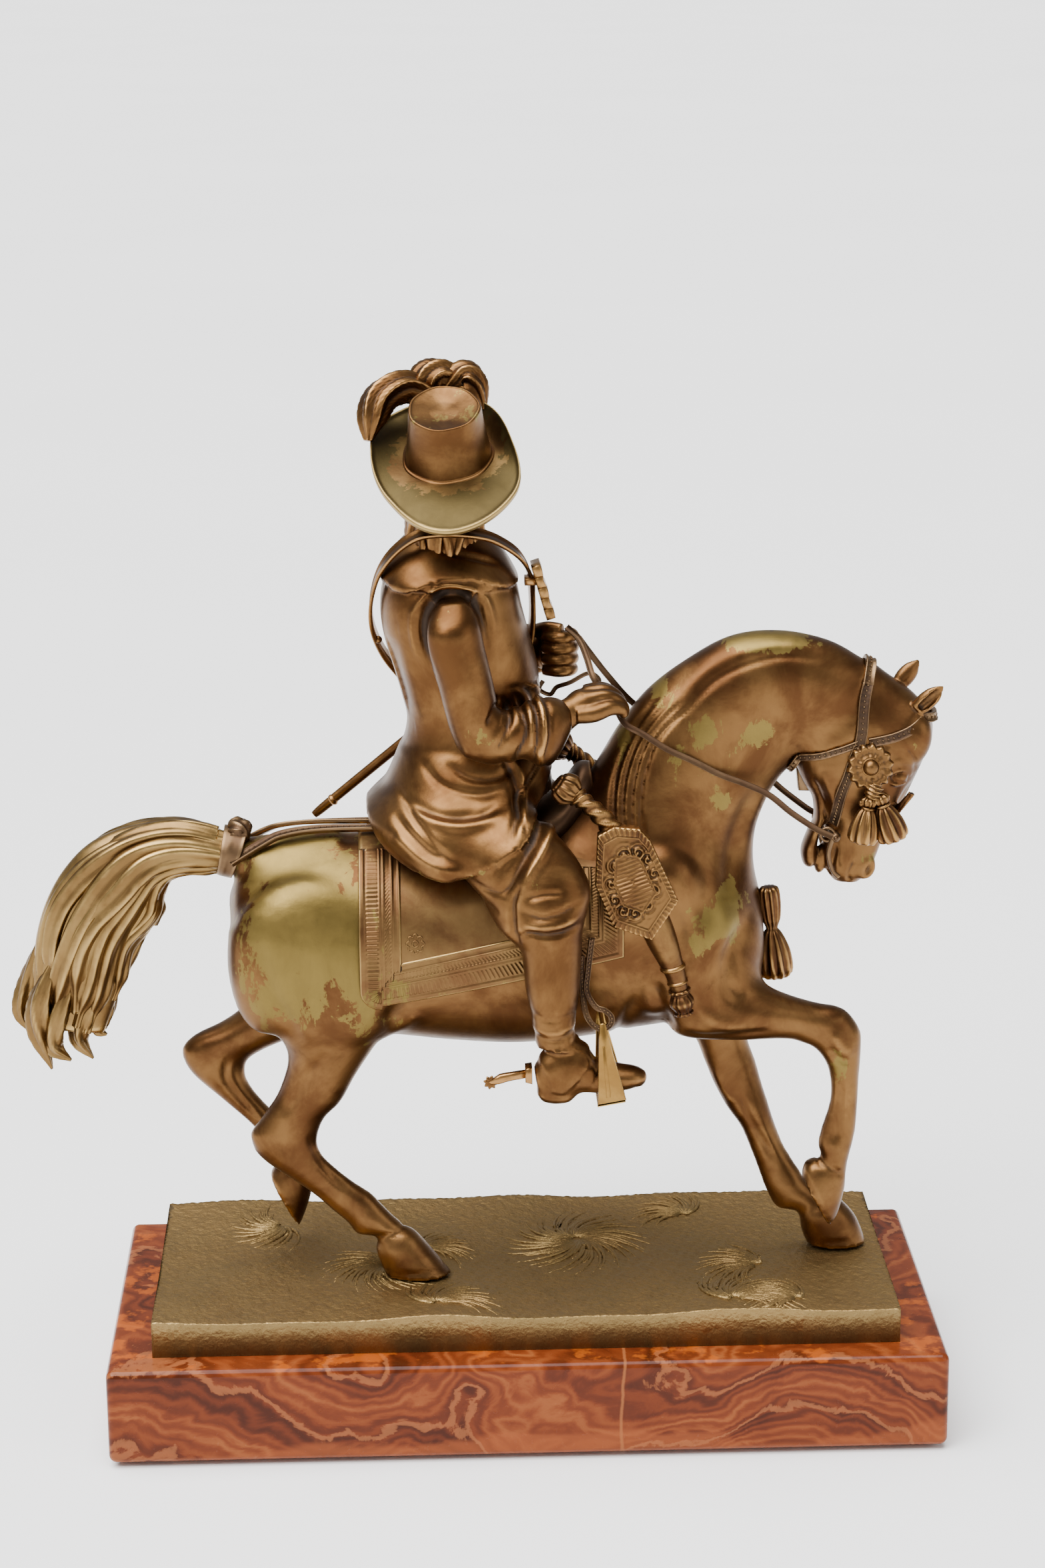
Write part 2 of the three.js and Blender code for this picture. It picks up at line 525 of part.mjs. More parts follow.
/** Stirrup leather: one narrow strip that runs down, round the stirrup's bar and up again. */
const LEATHER = [
  [25.6, -41, 197], [24, -42, 184], [23.4, -44, 177], [26.5, -47, 172], [30, -48, 170.6],
  [32.4, -48, 168], [31.8, -48, 164.8], [28.8, -48, 163.4], [25.4, -47.5, 165], [22.9, -46.5, 169.5],
  [21.9, -43.5, 176], [21.6, -41.4, 184], [21.8, -41, 190],
];
const stirrupStrap = () => join(strap(
  LEATHER.map(([x, y, z]) => v(x, y, z)), 2.2, 1.2, 16, () => v(0.2, -1, 0)));

/** Spur: a yoke at the heel and a flat shank that droops to a rounded end. */
function spur() {
  const shank = [
    [1, 147.4], [1, 144.4], [-6, 143.2], [-10, 142], [-13, 142], [-13.8, 143], [-9.6, 145.8], [-6, 146.4],
  ];
  const yoke = [[2.6, 149.2], [0, 148.8], [0, 143.4], [2.6, 142.6]];
  return join(plateOf(shank, -48.8, -46.4), plateOf(yoke, -51, -44));
}

// Rider

const TORSO = [
  [-15, 341, -40, 340, 0, 11], [-8, 333, -46, 332, 0, 17], [-2, 325, -49.5, 324, 0, 22.5],
  [0, 316, -50.2, 314, 0, 24.5], [2.5, 306, -48.7, 304, 0, 24.5], [5.5, 295, -45.5, 293, 0, 24],
  [6.8, 284, -42.8, 283, 0, 23], [7, 274, -40.8, 273, 0, 22.5], [8.5, 264, -43, 262, 0, 24],
  [11.5, 254, -47, 251.5, 0, 28], [13, 246, -50.5, 243.5, 0, 31],
];
const SKIRT = [
  [9, 262, -43.5, 260, 0, 25], [12, 252, -49, 248, 0, 31], [13.5, 243.5, -55, 242.5, 0, 36],
  [12.5, 237, -58.7, 237.5, 0, 39.5], [7, 231, -56.8, 232, 0, 41.5], [-1, 226.5, -52.5, 227, 0, 42.5],
  [-12, 222, -45, 223, 0, 43], [-22, 219.6, -35, 219.8, 0, 42],
];
const CAPE = [
  [-12, 343, -41, 342, 0, 12.5], [-6, 336, -47.5, 335, 0, 19], [-1.8, 328.6, -51, 328.8, 0, 24.6],
  [-1, 325.8, -51.2, 326.6, 0, 25.6],
];
const LEG = [
  [-6, 250, -34, 232, -22, 15], [3, 245, -25, 223, -32, 14], [12, 238, -15.5, 212, -40, 13.4],
  [20, 229, -11.5, 206, -44.5, 13], [24.8, 219, -9, 202.5, -46.8, 12.4],
  [24, 211.5, -5.4, 199, -47.5, 11.5], [22, 203, -1.5, 195, -47.8, 10.5],
  [21.4, 193, -0.4, 188, -47.8, 10], [20.7, 181, 0.4, 179.5, -47.8, 9.4],
  [19.5, 171, 2.2, 171, -47.8, 8.7], [18.8, 164, 3.2, 164, -47.8, 8], [19.8, 157, 4.2, 157, -47.8, 7.4],
];
const FOOT = [
  [3.2, 149, 5, 138, -47.8, 4.2], [8, 155, 7.6, 135, -47.8, 6], [14, 159, 15.5, 134.6, -47.8, 6.8],
  [22, 157.5, 20.5, 138.6, -47.8, 6.6], [28, 151.4, 28.5, 138.6, -47.8, 6.6],
  [36, 149, 36, 139.6, -47.8, 6.7], [42, 147.8, 42.5, 140.8, -47.8, 5.6],
  [45.9, 145.6, 45.6, 142, -47.8, 2.6],
];
const UPPER_ARM = [
  [-17, 325, -32, 323.5, -25, 8], [-14.5, 317, -36, 314.5, -30, 10.5],
  [-13.2, 307.5, -35, 305.5, -31, 10.5], [-10.5, 295.5, -31, 294, -31.5, 10],
  [-9, 287, -28.5, 284, -32, 9.5], [-8, 280, -26, 274.5, -32, 9.5],
  [-9, 273, -22.5, 267, -31.5, 8.8], [-12, 268, -17, 264.8, -31, 6],
];
const FOREARM = [
  [-22, 275, -20, 266, -31.5, 7], [-14, 281, -15, 263, -31, 9], [-7, 283, -8, 262.3, -30.5, 9.5],
  [1, 285, 1, 264, -30, 9.3], [2.8, 286.6, 6.5, 260.6, -29.5, 11], [8.5, 287, 11, 261, -28.5, 10.8],
  [14, 286, 15, 266, -27.5, 8.8], [18.7, 282.5, 19, 274, -26, 5.5],
];
const HAND = [
  [16, 283, 18, 275.5, -25, 4], [22, 287.6, 23, 275.3, -23.5, 4.6], [28, 289.6, 30, 278, -22.5, 4.6],
  [34, 288, 35, 279.5, -22, 4.4], [38, 283.5, 38.8, 278, -21.5, 3.4], [39.8, 280.8, 39.5, 277.6, -21.5, 2],
];
const LEFT_ARM = {
  upper: [
    [-26, 20, 319, 9], [-26, 30, 312, 11], [-25, 42, 300, 10.5], [-23, 49, 291, 9.5], [-19, 49, 286, 7],
  ],
  fore: [
    [-27, 49, 291, 7], [-17, 46, 289.5, 9.5], [-4, 36, 290, 9.5], [4, 28, 291, 10], [14, 16.5, 293.5, 5],
  ],
};

/** Hat frame: the crown leans to the rider's right, so its top shows from that side. */
const HAT = { base: v(-25.5, -4, 373), axis: v(-0.06, -0.48, 0.876).normalize() };
HAT.front = v(1, 0, 0).projectOnPlane(HAT.axis).normalize();
HAT.left = HAT.axis.clone().cross(HAT.front);
/** Reach and rise of the brim's edge at eight angles, from the front round by the rider's left. */
const BRIM = [
  [24, 5.5], [23, 9.5], [27, 6], [31, 2], [28.5, 4], [31.5, -2], [39, -4], [34, -0.5],
];

/** Point of the hat at an angle round the axis, a radius from it and a height along it. */
const hatPoint = (angle, radius, height) => HAT.base.clone()
  .addScaledVector(HAT.front, radius * Math.cos(angle))
  .addScaledVector(HAT.left, radius * Math.sin(angle))
  .addScaledVector(HAT.axis, height);

/** Rim radius and lift at an angle, on a closed curve through the eight rows of BRIM. */
function brimEdge(angle) {
  const s = ((angle / (2 * Math.PI)) * BRIM.length) % BRIM.length;
  const i = Math.floor(s);
  const four = [-1, 0, 1, 2].map((k) => BRIM[(i + k + BRIM.length) % BRIM.length]);
  return rowAt(four, (1 + s - i) / 3);
}

function hat() {
  const turns = (count) => Array.from({ length: count }, (_, j) => (2 * Math.PI * j) / count);
  const profile = [[12, -9], [16.8, 0], [15.8, 3], [14.4, 12], [13.2, 22.5], [11.6, 22.9], [5, 21.6]];
  const crown = skin(profile.map(([r, h]) => turns(11).map((a) => hatPoint(a, r, h))));
  const sheet = (lift) => [0, 0.5, 1].map((f) => turns(15).map((a) => {
    const [reach, rise] = brimEdge(a);
    return hatPoint(a, 14 + f * (reach - 14), rise * f * f + lift);
  }));
  const brim = shell(sheet(0.8), sheet(-0.7), true);
  const hair = { flutes: 3, depth: 0.08 };
  const plumes = [
    limb(
      [[-31, 10, 392, 4], [-40, 9, 397, 5.5], [-49, 5, 394.5, 6], [-53.5, 1, 387, 5], [-55, -2, 380, 2.5]],
      5, 6, hair),
    limb([[-38, 13, 392, 4], [-33, 14, 399, 6], [-27, 14, 400.5, 5.5], [-22, 13, 398, 4]], 5, 4, hair),
    limb([[-26, 13, 396, 4], [-19, 13, 400, 5.5], [-15, 11, 396.5, 4.8], [-13, 8, 389, 2.6]], 5, 4, hair),
  ];
  return [crown, brim, ...plumes];
}

/** Head, nose and neck, with the hair that shows under the brim; the face looks to the left. */
function riderHead() {
  const hair = { flutes: 3, depth: 0.12 };
  const locks = [
    [[-34, -4, 362, 6.5], [-40, -5, 353, 6], [-43.5, -5, 345, 4.6], [-44, -4, 338, 2.2]],
    [[-25, -7, 362, 7], [-26, -9, 352, 6.2], [-29, -9.5, 345, 4], [-31, -9, 340, 2]],
    [[-16, -3, 360, 6], [-14, -3, 351, 5], [-13, -2, 344, 2.4]],
  ];
  return [
    new THREE.SphereGeometry(1, 8, 6).scale(10.5, 12, 14.5).translate(-27, -0.5, 357),
    limb([[-25, 9, 360, 1.6], [-24.5, 12.8, 355, 2.2], [-24.6, 11, 351, 1.6]], 4, 2),
    limb([[-27, 0, 350, 9], [-27, 0, 336, 9.5]], 8, 1),
    ...locks.map((stations) => limb(stations, 5, stations.length, hair)),
  ];
}

/** Closed hand round the reins: a palm and four curled fingers, one above the other. */
function fist(at) {
  const curl = [[-3, -6, 2.3], [5, -7, 2.6], [7.6, -1, 2.4]];
  const fingers = [-6.6, -2.2, 2.2, 6.4].map((dz) => limb(
    curl.map(([dx, dy, radius]) => [at.x + dx, at.y + dy, at.z + dz, radius]), 4, 2));
  const palm = new THREE.SphereGeometry(1, 7, 4).scale(7.6, 6.6, 9.6).translate(at.x, at.y, at.z);
  return [palm, ...fingers];
}

/** The rider with hat and hair, cut free of what it sits on and wears. */
function rider(...neighbours) {
  const square = { square: 2.4 };
  const folded = { square: 2.2, flutes: 5, depth: 0.015, twist: 1.5 };
  const legs = [LEG, mirrored(LEG)].map((rows) => loft(rows, 6, 10));
  const feet = [FOOT, mirrored(FOOT)].map((rows) => loft(rows, 6, 7));
  const right = [loft(UPPER_ARM, 6, 7), loft(FOREARM, 6, 7), loft(HAND, 6, 4)];
  const left = [limb(LEFT_ARM.upper, 6, 3), limb(LEFT_ARM.fore, 6, 4), ...fist(v(14, 16, 293.5))];
  const whole = join(
    loft(TORSO, 12, 9, square), loft(SKIRT, 14, 6, folded), loft(CAPE, 12, 2, square),
    legs, feet, right, left, riderHead(), hat());
  return cut(whole, neighbours);
}

// Baldric, sword, breast ornament

const BALDRIC = [
  [-27, 31, 268], [-38, 28, 276], [-45, 22, 285], [-51, 15, 295], [-54.5, 6, 306], [-55, 0, 316],
  [-53, -7, 327], [-49.5, -12, 335], [-43.5, -15, 342], [-36, -17, 346.5], [-26, -18, 347.6],
  [-15.5, -17, 346.5], [-8, -14, 343.5], [0, -9, 337], [4.3, -2, 328.5], [5.4, 5, 319.5], [5.8, 10, 309],
  [5.2, 13.6, 300], [3.2, 16, 292], [-1, 20.3, 284], [-7, 25, 278], [-16, 29, 272],
];

/** The strap stands on edge round the shoulders, its broad side away from the chest's middle. */
function baldric(grow = 0) {
  const middle = v(-24, 4, 306);
  const away = (t, at) => at.clone().sub(middle);
  const path = BALDRIC.map(([x, y, z]) => v(x, y, z));
  return join(strap(path, 5.5 + 2 * grow, 1.2 + 2 * grow, 20, away));
}

/** Stepped bar on the chest: five plates that narrow downwards. */
function breastOrnament() {
  const plates = [0, 1, 2, 3, 4].map((k) => new THREE.BoxGeometry(3.4, 13 - 1.2 * k, 4.4)
    .rotateY(-0.3).translate(7.2 + 1.15 * k, -2, 330 - 4.2 * k));
  return join(plates);
}

function sword() {
  const scabbard = rod([v(-79.5, 43, 222), v(-28, 36.5, 266)], 1.9, 6, 1);
  const guard = new THREE.SphereGeometry(1, 7, 4).scale(2, 4, 4).rotateY(-0.7)
    .translate(-27.5, 36.6, 266.5);
  const grip = rod([v(-27, 36.5, 267), v(-18, 36, 274.5)], 1.7, 6, 1);
  return join(scabbard, guard, grip, ball(v(-17, 36, 275.4), 2.5, 6));
}

// Bridle pieces

const TASSEL = [[0, 0], [3, -2], [1.9, -4.6], [5.2, -12], [5, -17.6], [0, -18]];

const tassel = (at, axis, size) => turned(TASSEL.map(([r, h]) => [r * size, h * size]), 6, at, axis);

/** Rosette at the cheek with a knot and two tassels below it. */
function rosette() {
  const dish = [[0, -2], [8.2, -1], [7, 0.8], [3.4, 1.2], [0, 4]];
  const petals = turned(dish, 11, v(132.3, -16.5, 254.5), v(0, -1, 0));
  const knot = new THREE.SphereGeometry(1, 6, 4).scale(3.6, 3, 3.4).translate(133.8, -16.5, 244.8);
  const tassels = [
    tassel(v(132.5, -16.5, 243.5), v(0.16, 0, 1), 1.05),
    tassel(v(135.5, -16.5, 244.5), v(-0.34, 0, 1), 1.1),
  ];
  return join(petals, knot, tassels);
}

/** Long tassel that hangs on the horse's chest: a bound head, a neck and a flaring skirt. */
function breastTassel() {
  const profile = [
    [0, 2], [3.4, 1], [4, -4], [3.2, -12], [2, -15], [3.2, -17], [6.2, -25], [6, -34], [0, -36],
  ];
  return join(turned(profile, 8, v(96, -1, 201.5), v(-0.09, 0, 1)));
}

/** Bit: a bar through the mouth with a knob and a ring at each end; grown, it is the bar alone. */
function bit(grow = 0) {
  const bar = rod([v(120, -12, 226), v(120, 12, 226)], 1.1 + grow, 6, 1);
  const ends = grow ? [] : [-1, 1].flatMap((s) => [
    ball(v(120, 12 * s, 226), 2.3, 6),
    new THREE.TorusGeometry(2.6, 0.7, 4, 7).rotateX(Math.PI / 2).translate(117, 12 * s, 227),
  ]);
  return join(bar, ends);
}

const RIGHT_REIN = [
  [19, 8.5, 304.6], [23, 1, 302], [25.5, -8, 297], [27.5, -14.5, 291], [31, -15.8, 286],
  [35.5, -16.2, 280], [39.5, -19, 273.5], [46, -20.6, 270], [55, -20.4, 264], [65, -20, 259],
  [75, -19.4, 253.5], [85, -18.6, 249.3], [94, -17.4, 244.5], [102, -15.8, 237.5],
  [108.5, -14.4, 232.5], [113.6, -13.4, 229],
];
const LEFT_REIN = [
  [23.4, 11, 300], [28.6, 11.5, 292.6], [35, 12.5, 284], [44, 16.5, 273], [55, 20, 264.5],
  [65, 20, 259], [75, 19.4, 253.5], [85, 18.6, 249.3], [94, 17.4, 244.5], [102, 15.8, 237.5],
  [108.5, 14.4, 232.5], [113.6, 13.4, 229],
];
const REIN_LOOPS = [
  [10, 14, 282.4], [8.5, 12.5, 279.5], [12.5, 11, 277.8], [15, 9.5, 281], [20, 7, 283.4],
  [27, 6.5, 287], [31, 6, 284.5], [29.5, 5, 280.5],
];
const REIN = { wide: 2.4, thick: 1 };
const rein = (points, steps) => {
  const path = points.map(([x, y, z]) => v(x, y, z));
  return join(strap(path, REIN.wide, REIN.thick, steps, () => v(0.1, -1, 0.2)));
};

// Ground, plinth and pads

/** Height of the cast ground: it rises at the far edge and swells, but is flat under a hoof. */
function groundHeight(x, y) {
  const swell = 0.5 * Math.sin(x / 17 + y / 23) + 0.35 * Math.sin(x / 9 - y / 11);
  const tufts = [[-14, 4], [-84, -20], [24, -42], [54, 30], [92, 28], [-38, -44]];
  const swirl = tufts.reduce((sum, [cx, cy]) => {
    const far = Math.hypot(x - cx, (y - cy) * 1.3);
    return sum + 1.3 * Math.exp(-((far / 9) ** 2)) * Math.cos(far / 2.2);
  }, 0);
  const hooves = [[-42, -17.5], [124, 5]];
  const clear = Math.min(...hooves.map(([cx, cy]) => Math.hypot(x - cx, y - cy)));
  const free = clamp((clear - 17) / 8, 0, 1);
  const bank = 2.2 * (clamp((y - 20) / 34, 0, 1) ** 2);
  return PLATE.top - 0.9 + bank + Math.min(swell + swirl, 1.6) * free;
}

function groundPlate() {
  const places = ([low, high], count) => Array.from({ length: count + 1 },
    (_, i) => low + ((high - low) * i) / count);
  const sheet = (height) => places(PLATE.x, 20)
    .map((x) => places(PLATE.y, 8).map((y) => v(x, y, height(x, y))));
  const below = new THREE.BoxGeometry(400, 200, 20).translate(0, 0, PLINTH.high + 0.02 - 10);
  return cut(join(shell(sheet(groundHeight), sheet(() => PLINTH.high - 5))), toSolid(below));
}

const plinth = () => join(new RoundedBoxGeometry(PLINTH.long, PLINTH.deep, PLINTH.high, 1, PLINTH.round)
  .translate(0, 0, PLINTH.high / 2));
const baize = () => join(new THREE.BoxGeometry(PLINTH.long - 14, PLINTH.deep - 14, BAIZE)
  .translate(0, 0, -BAIZE / 2));
const pad = (sx, sy) => {
  const x = sx * (PLINTH.long / 2 - PAD.inset.x - PAD.long / 2);
  const y = sy * (PLINTH.deep / 2 - PAD.inset.y - PAD.deep / 2);
  return join(new THREE.BoxGeometry(PAD.long, PAD.deep, PAD.thick).translate(x, y, -BAIZE - PAD.thick / 2));
};

// Assembly

const finish = (color, roughness, metalness) => (
  new THREE.MeshStandardMaterial({ color, roughness, metalness }));
const BRONZE = finish(0x8a6038, 0.42, 0.85);
const TAIL_BRONZE = finish(0x9a7a44, 0.45, 0.85);
const STRAP_BRONZE = finish(0x57453a, 0.5, 0.8);
const GILT = finish(0xb98a3c, 0.35, 0.9);
const GROUND = finish(0x7a6a42, 0.6, 0.8);
const ONYX = finish(0xa9451f, 0.15, 0);
const FELT = finish(0x1f2a20, 0.95, 0);

// Swollen copies that cut a gap into their neighbours
const grownHorse = join(horseLofts(GAP), head(GAP));
const grownNeck = join(neck(GAP));
const grownTail = join(tailHair(GAP));
const saddle = (grow = 0) => loft(SADDLE, 10, 7, { grow });
const seat = join(trunk(CLOTH.lift + CLOTH.thick + 5 * GAP));

const right = {
  holster: cut(holster(), grownHorse, join(saddlecloth(GAP))),
  stirrup: stirrup(),
  stirrup_strap: stirrupStrap(),
  spur: spur(),
  rosette: cut(rosette(), grownHorse),
};
const sided = Object.entries(right).flatMap(([name, solid]) => [
  [`right_${name}`, solid], [`left_${name}`, solid.mirror([0, 1, 0])],
]);
const looks = {
  holster: BRONZE, stirrup: GILT, stirrup_strap: STRAP_BRONZE, spur: BRONZE, rosette: BRONZE,
};

const pieces = [
  ['onyx_plinth', plinth(), ONYX],
  ['underside_baize', baize(), FELT],
  ...[[-1, -1], [1, -1], [-1, 1], [1, 1]].map(([sx, sy], i) => [`felt_pad_${i + 1}`, pad(sx, sy), FELT]),
  ['ground_plate', groundPlate(), GROUND],
  ['horse', cut(horse(), bit(GAP)), BRONZE],
  ['tail', cut(tail(), grownHorse), TAIL_BRONZE],
  ['crupper', crupper(grownHorse, grownTail), STRAP_BRONZE],
  ['saddlecloth', cut(join(saddlecloth()), grownNeck), BRONZE],
  ['saddle', cut(join(saddle()), seat, grownNeck), STRAP_BRONZE],
  ['rider', rider(seat, join(saddle(GAP)), baldric(GAP)), BRONZE],
  ['baldric', baldric(), STRAP_BRONZE],
  ['breast_ornament', breastOrnament(), BRONZE],
  ['sword', sword(), BRONZE],
  ['bit', bit(), STRAP_BRONZE],
  ['right_rein', rein(RIGHT_REIN, 20), STRAP_BRONZE],
  ['left_rein', rein(LEFT_REIN, 14), STRAP_BRONZE],
  ['rein_loops', rein(REIN_LOOPS, 12), STRAP_BRONZE],
  ['breast_tassel', cut(breastTassel(), grownHorse), GILT],
  ...sided.map(([name, solid]) => [name, solid, looks[name.replace(/^(right|left)_/, '')]]),
];

const statuette = new THREE.Group();
for (const [name, solid, material] of pieces) {
  const mesh = new THREE.Mesh(toGeometry(solid), material);
  mesh.name = name;
  statuette.add(mesh);
}

// Origin: the middle of the whole box, at the height of the pads' undersides.
const box = new THREE.Box3().setFromObject(statuette);
statuette.position.set(-(box.min.x + box.max.x) / 2, -(box.min.y + box.max.y) / 2, -box.min.z);

export default statuette;
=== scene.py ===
# %% [markdown]
# A bronze cavalier on a walking horse, on a cast ground plate and an onyx plinth.
# The CAD frame gives every piece its place. This script gives the pieces their modelling: rounded
# muscle, cloth folds, hair, chased straps, worn patina and polished stone. Lengths are written in
# millimetres in the plinth's own frame, with z = 0 at its underside, and become metres in one place.

# %% Load the frame
from collections import namedtuple

import bpy
import numpy as np
import openvdb as vdb
from mathutils import Matrix, Vector


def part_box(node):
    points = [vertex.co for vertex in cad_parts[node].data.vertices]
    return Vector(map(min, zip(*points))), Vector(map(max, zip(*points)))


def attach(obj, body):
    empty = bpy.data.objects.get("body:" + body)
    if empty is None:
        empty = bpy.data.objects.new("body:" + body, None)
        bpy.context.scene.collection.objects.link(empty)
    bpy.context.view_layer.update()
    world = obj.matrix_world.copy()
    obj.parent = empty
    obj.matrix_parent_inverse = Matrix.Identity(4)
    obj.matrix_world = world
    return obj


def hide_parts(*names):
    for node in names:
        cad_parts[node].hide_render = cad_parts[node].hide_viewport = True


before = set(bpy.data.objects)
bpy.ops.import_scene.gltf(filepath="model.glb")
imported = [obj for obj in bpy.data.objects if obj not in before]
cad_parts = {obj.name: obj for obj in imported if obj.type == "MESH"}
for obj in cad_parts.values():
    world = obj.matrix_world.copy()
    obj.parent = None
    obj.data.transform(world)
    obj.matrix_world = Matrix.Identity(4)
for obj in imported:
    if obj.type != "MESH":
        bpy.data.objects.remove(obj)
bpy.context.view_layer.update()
MM = 0.001
PLINTH = {"long": 320, "deep": 144, "high": 37.8, "round": 3}
SHIFT = np.array(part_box("onyx_plinth")[0]) + np.array([PLINTH["long"] / 2, PLINTH["deep"] / 2, 0]) * MM
print("nodes", len(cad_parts), "shift of the plinth's frame", SHIFT.round(5))

# %% [markdown]
# Most forms start as a loft: a row holds two outline points (x, z) that face each other, the depth y
# of the line between them and the half width across y. A smooth curve runs through the rows, and an
# ellipse is drawn round each line. It is how a sculptor reads a figure: outline first, depth second.

# %% Curves, grids and closed forms
Form = namedtuple("Form", "points quads tris")


def rows_at(rows, t):
    """Rows of numbers at each t from 0 to 1: a Catmull-Rom curve, which passes through every row."""
    rows, t = np.asarray(rows, float), np.asarray(t, float)
    last = len(rows) - 1
    s = np.clip(t, 0, 1) * last
    i = np.minimum(s.astype(int), last - 1)
    f = (s - i)[..., None]
    p, q, r, u = (rows[np.clip(i + k, 0, last)] for k in (-1, 0, 1, 2))
    slope_in, slope_out = (r - p) / 2, (u - q) / 2
    bend = 3 * (r - q) - 2 * slope_in - slope_out
    twist = 2 * (q - r) + slope_in + slope_out
    return q + f * (slope_in + f * (bend + f * twist))


def unit(vectors):
    return vectors / np.maximum(np.linalg.norm(vectors, axis=-1, keepdims=True), 1e-9)


def circle(count):
    return np.linspace(0, 2 * np.pi, count, endpoint=False)


def run_along(line):
    """Distance from the first point of a line to each of its points: the running sum of the steps."""
    return np.concatenate([[0], np.cumsum(np.linalg.norm(np.diff(line, axis=0), axis=1))])


def square_to(axis, near):
    """The unit axis and two unit vectors square to it: axis x near, and the axis x that one."""
    axis = unit(np.asarray(axis, float))
    first = unit(np.cross(axis, near))
    return axis, first, np.cross(axis, first)


def grid_quads(rows, cols, wrap):
    """Four-cornered faces between the neighbouring points of a grid."""
    i, j = np.meshgrid(np.arange(rows - 1), np.arange(cols if wrap else cols - 1), indexing="ij")
    k = (j + 1) % cols
    return np.stack([i * cols + j, i * cols + k, (i + 1) * cols + k, (i + 1) * cols + j], -1).reshape(-1, 4)


def outward(points, quads, tris):
    """Form with its faces turned outwards: the sum of a . (b x c) over its triangles is positive."""
    flat = np.concatenate([tris, quads[:, [0, 1, 2]], quads[:, [0, 2, 3]]])
    a, b, c = (points[flat[:, k]] for k in range(3))
    if (a * np.cross(b, c)).sum() < 0:
        quads, tris = quads[:, ::-1], tris[:, ::-1]
    return Form(points, quads, tris)


def tube(grid):
    """Closed form through a grid of rings: point (i, j) is the j-th place round ring i."""
    rows, cols = grid.shape[:2]
    ends = np.stack([grid[0].mean(0), grid[-1].mean(0)])
    points = np.concatenate([grid.reshape(-1, 3), ends])
    j = np.arange(cols)
    k = (j + 1) % cols
    first, last = rows * cols, rows * cols + 1
    start = np.stack([np.full(cols, first), k, j], 1)
    end = np.stack([np.full(cols, last), (rows - 1) * cols + j, (rows - 1) * cols + k], 1)
    return outward(points, grid_quads(rows, cols, True), np.concatenate([start, end]))


def slab(top, under, wrap=False):
    """Closed form between two grids of the same size: both broad faces and the rim between them."""
    rows, cols = top.shape[:2]
    count = rows * cols
    points = np.concatenate([top.reshape(-1, 3), under.reshape(-1, 3)])
    face = grid_quads(rows, cols, wrap)
    place = np.arange(count).reshape(rows, cols)
    rims = [place[0], place[-1][::-1]] if wrap else [np.concatenate(
        [place[0], place[1:, -1], place[-1, -2::-1], place[-2:0:-1, 0]])]
    sides = []
    for rim in rims:
        ahead = np.roll(rim, -1)
        sides.append(np.stack([ahead, rim, rim + count, ahead + count], 1))
    quads = np.concatenate([face, face[:, ::-1] + count, *sides])
    return outward(points, quads, np.zeros((0, 3), int))


def merge(*forms):
    """Several forms as one."""
    points, quads, tris, start = [], [], [], 0
    for form in forms:
        points.append(form.points)
        quads.append(form.quads + start)
        tris.append(form.tris + start)
        start += len(form.points)
    return Form(np.concatenate(points), np.concatenate(quads), np.concatenate(tris))


def mirrored(form):
    """The form on the other side of the horse, with its faces turned back outwards."""
    return Form(form.points * [1, -1, 1], form.quads[:, ::-1], form.tris[:, ::-1])


def loft(rows, steps=40, sides=32, egg=0.0, square=2.0):
    """Ellipses round the line of each row: middle + reach cos(a) + half width sin(a) across y.
    egg widens one end and square fills the corners."""
    a = circle(sides)
    ax, az, bx, bz, y, half = rows_at(rows, np.linspace(0, 1, steps)).T
    filled = 2 / square
    along = np.sign(np.cos(a)) * np.abs(np.cos(a)) ** filled
    across = np.sign(np.sin(a)) * np.abs(np.sin(a)) ** filled * (1 - egg * np.cos(a))
    reach = np.stack([ax - bx, 0 * ax, az - bz], -1) / 2
    middle = np.stack([ax + bx, 2 * y, az + bz], -1) / 2
    grid = middle[:, None] + reach[:, None] * along[None, :, None]
    grid[..., 1] += half[:, None] * across[None]
    return tube(grid)


def frames_along(path, out):
    """Unit vectors ahead, out and sideways at each point of a path, out kept at right angles to it."""
    ahead = unit(np.gradient(path, axis=0))
    out = np.broadcast_to(np.asarray(out, float), path.shape)
    out = unit(out - (out * ahead).sum(-1, keepdims=True) * ahead)
    return ahead, out, np.cross(ahead, out)


def carried(path, out, section, steps):
    """A closed profile carried along a path: point = path + across * sideways + height * out."""
    fine = np.linspace(0, 1, steps)
    line = rows_at(path, fine)
    if np.ndim(out) == 2:
        out = rows_at(out, fine)
    _, out, side = frames_along(line, out)
    across, height = np.asarray(section, float).T
    return tube(line[:, None] + side[:, None] * across[None, :, None] + out[:, None] * height[None, :, None])


def strap_section(wide, thick, border, lift):
    """Profile of a strap: flat below, and on top a border strip along both edges."""
    w, h, b = wide / 2, thick / 2, border
    return [(-w, -h), (w, -h), (w, h), (w - 0.3 * b, h + lift), (w - 0.8 * b, h + lift), (w - b, h),
            (-w + b, h), (-w + 0.8 * b, h + lift), (-w + 0.3 * b, h + lift), (-w, h)]


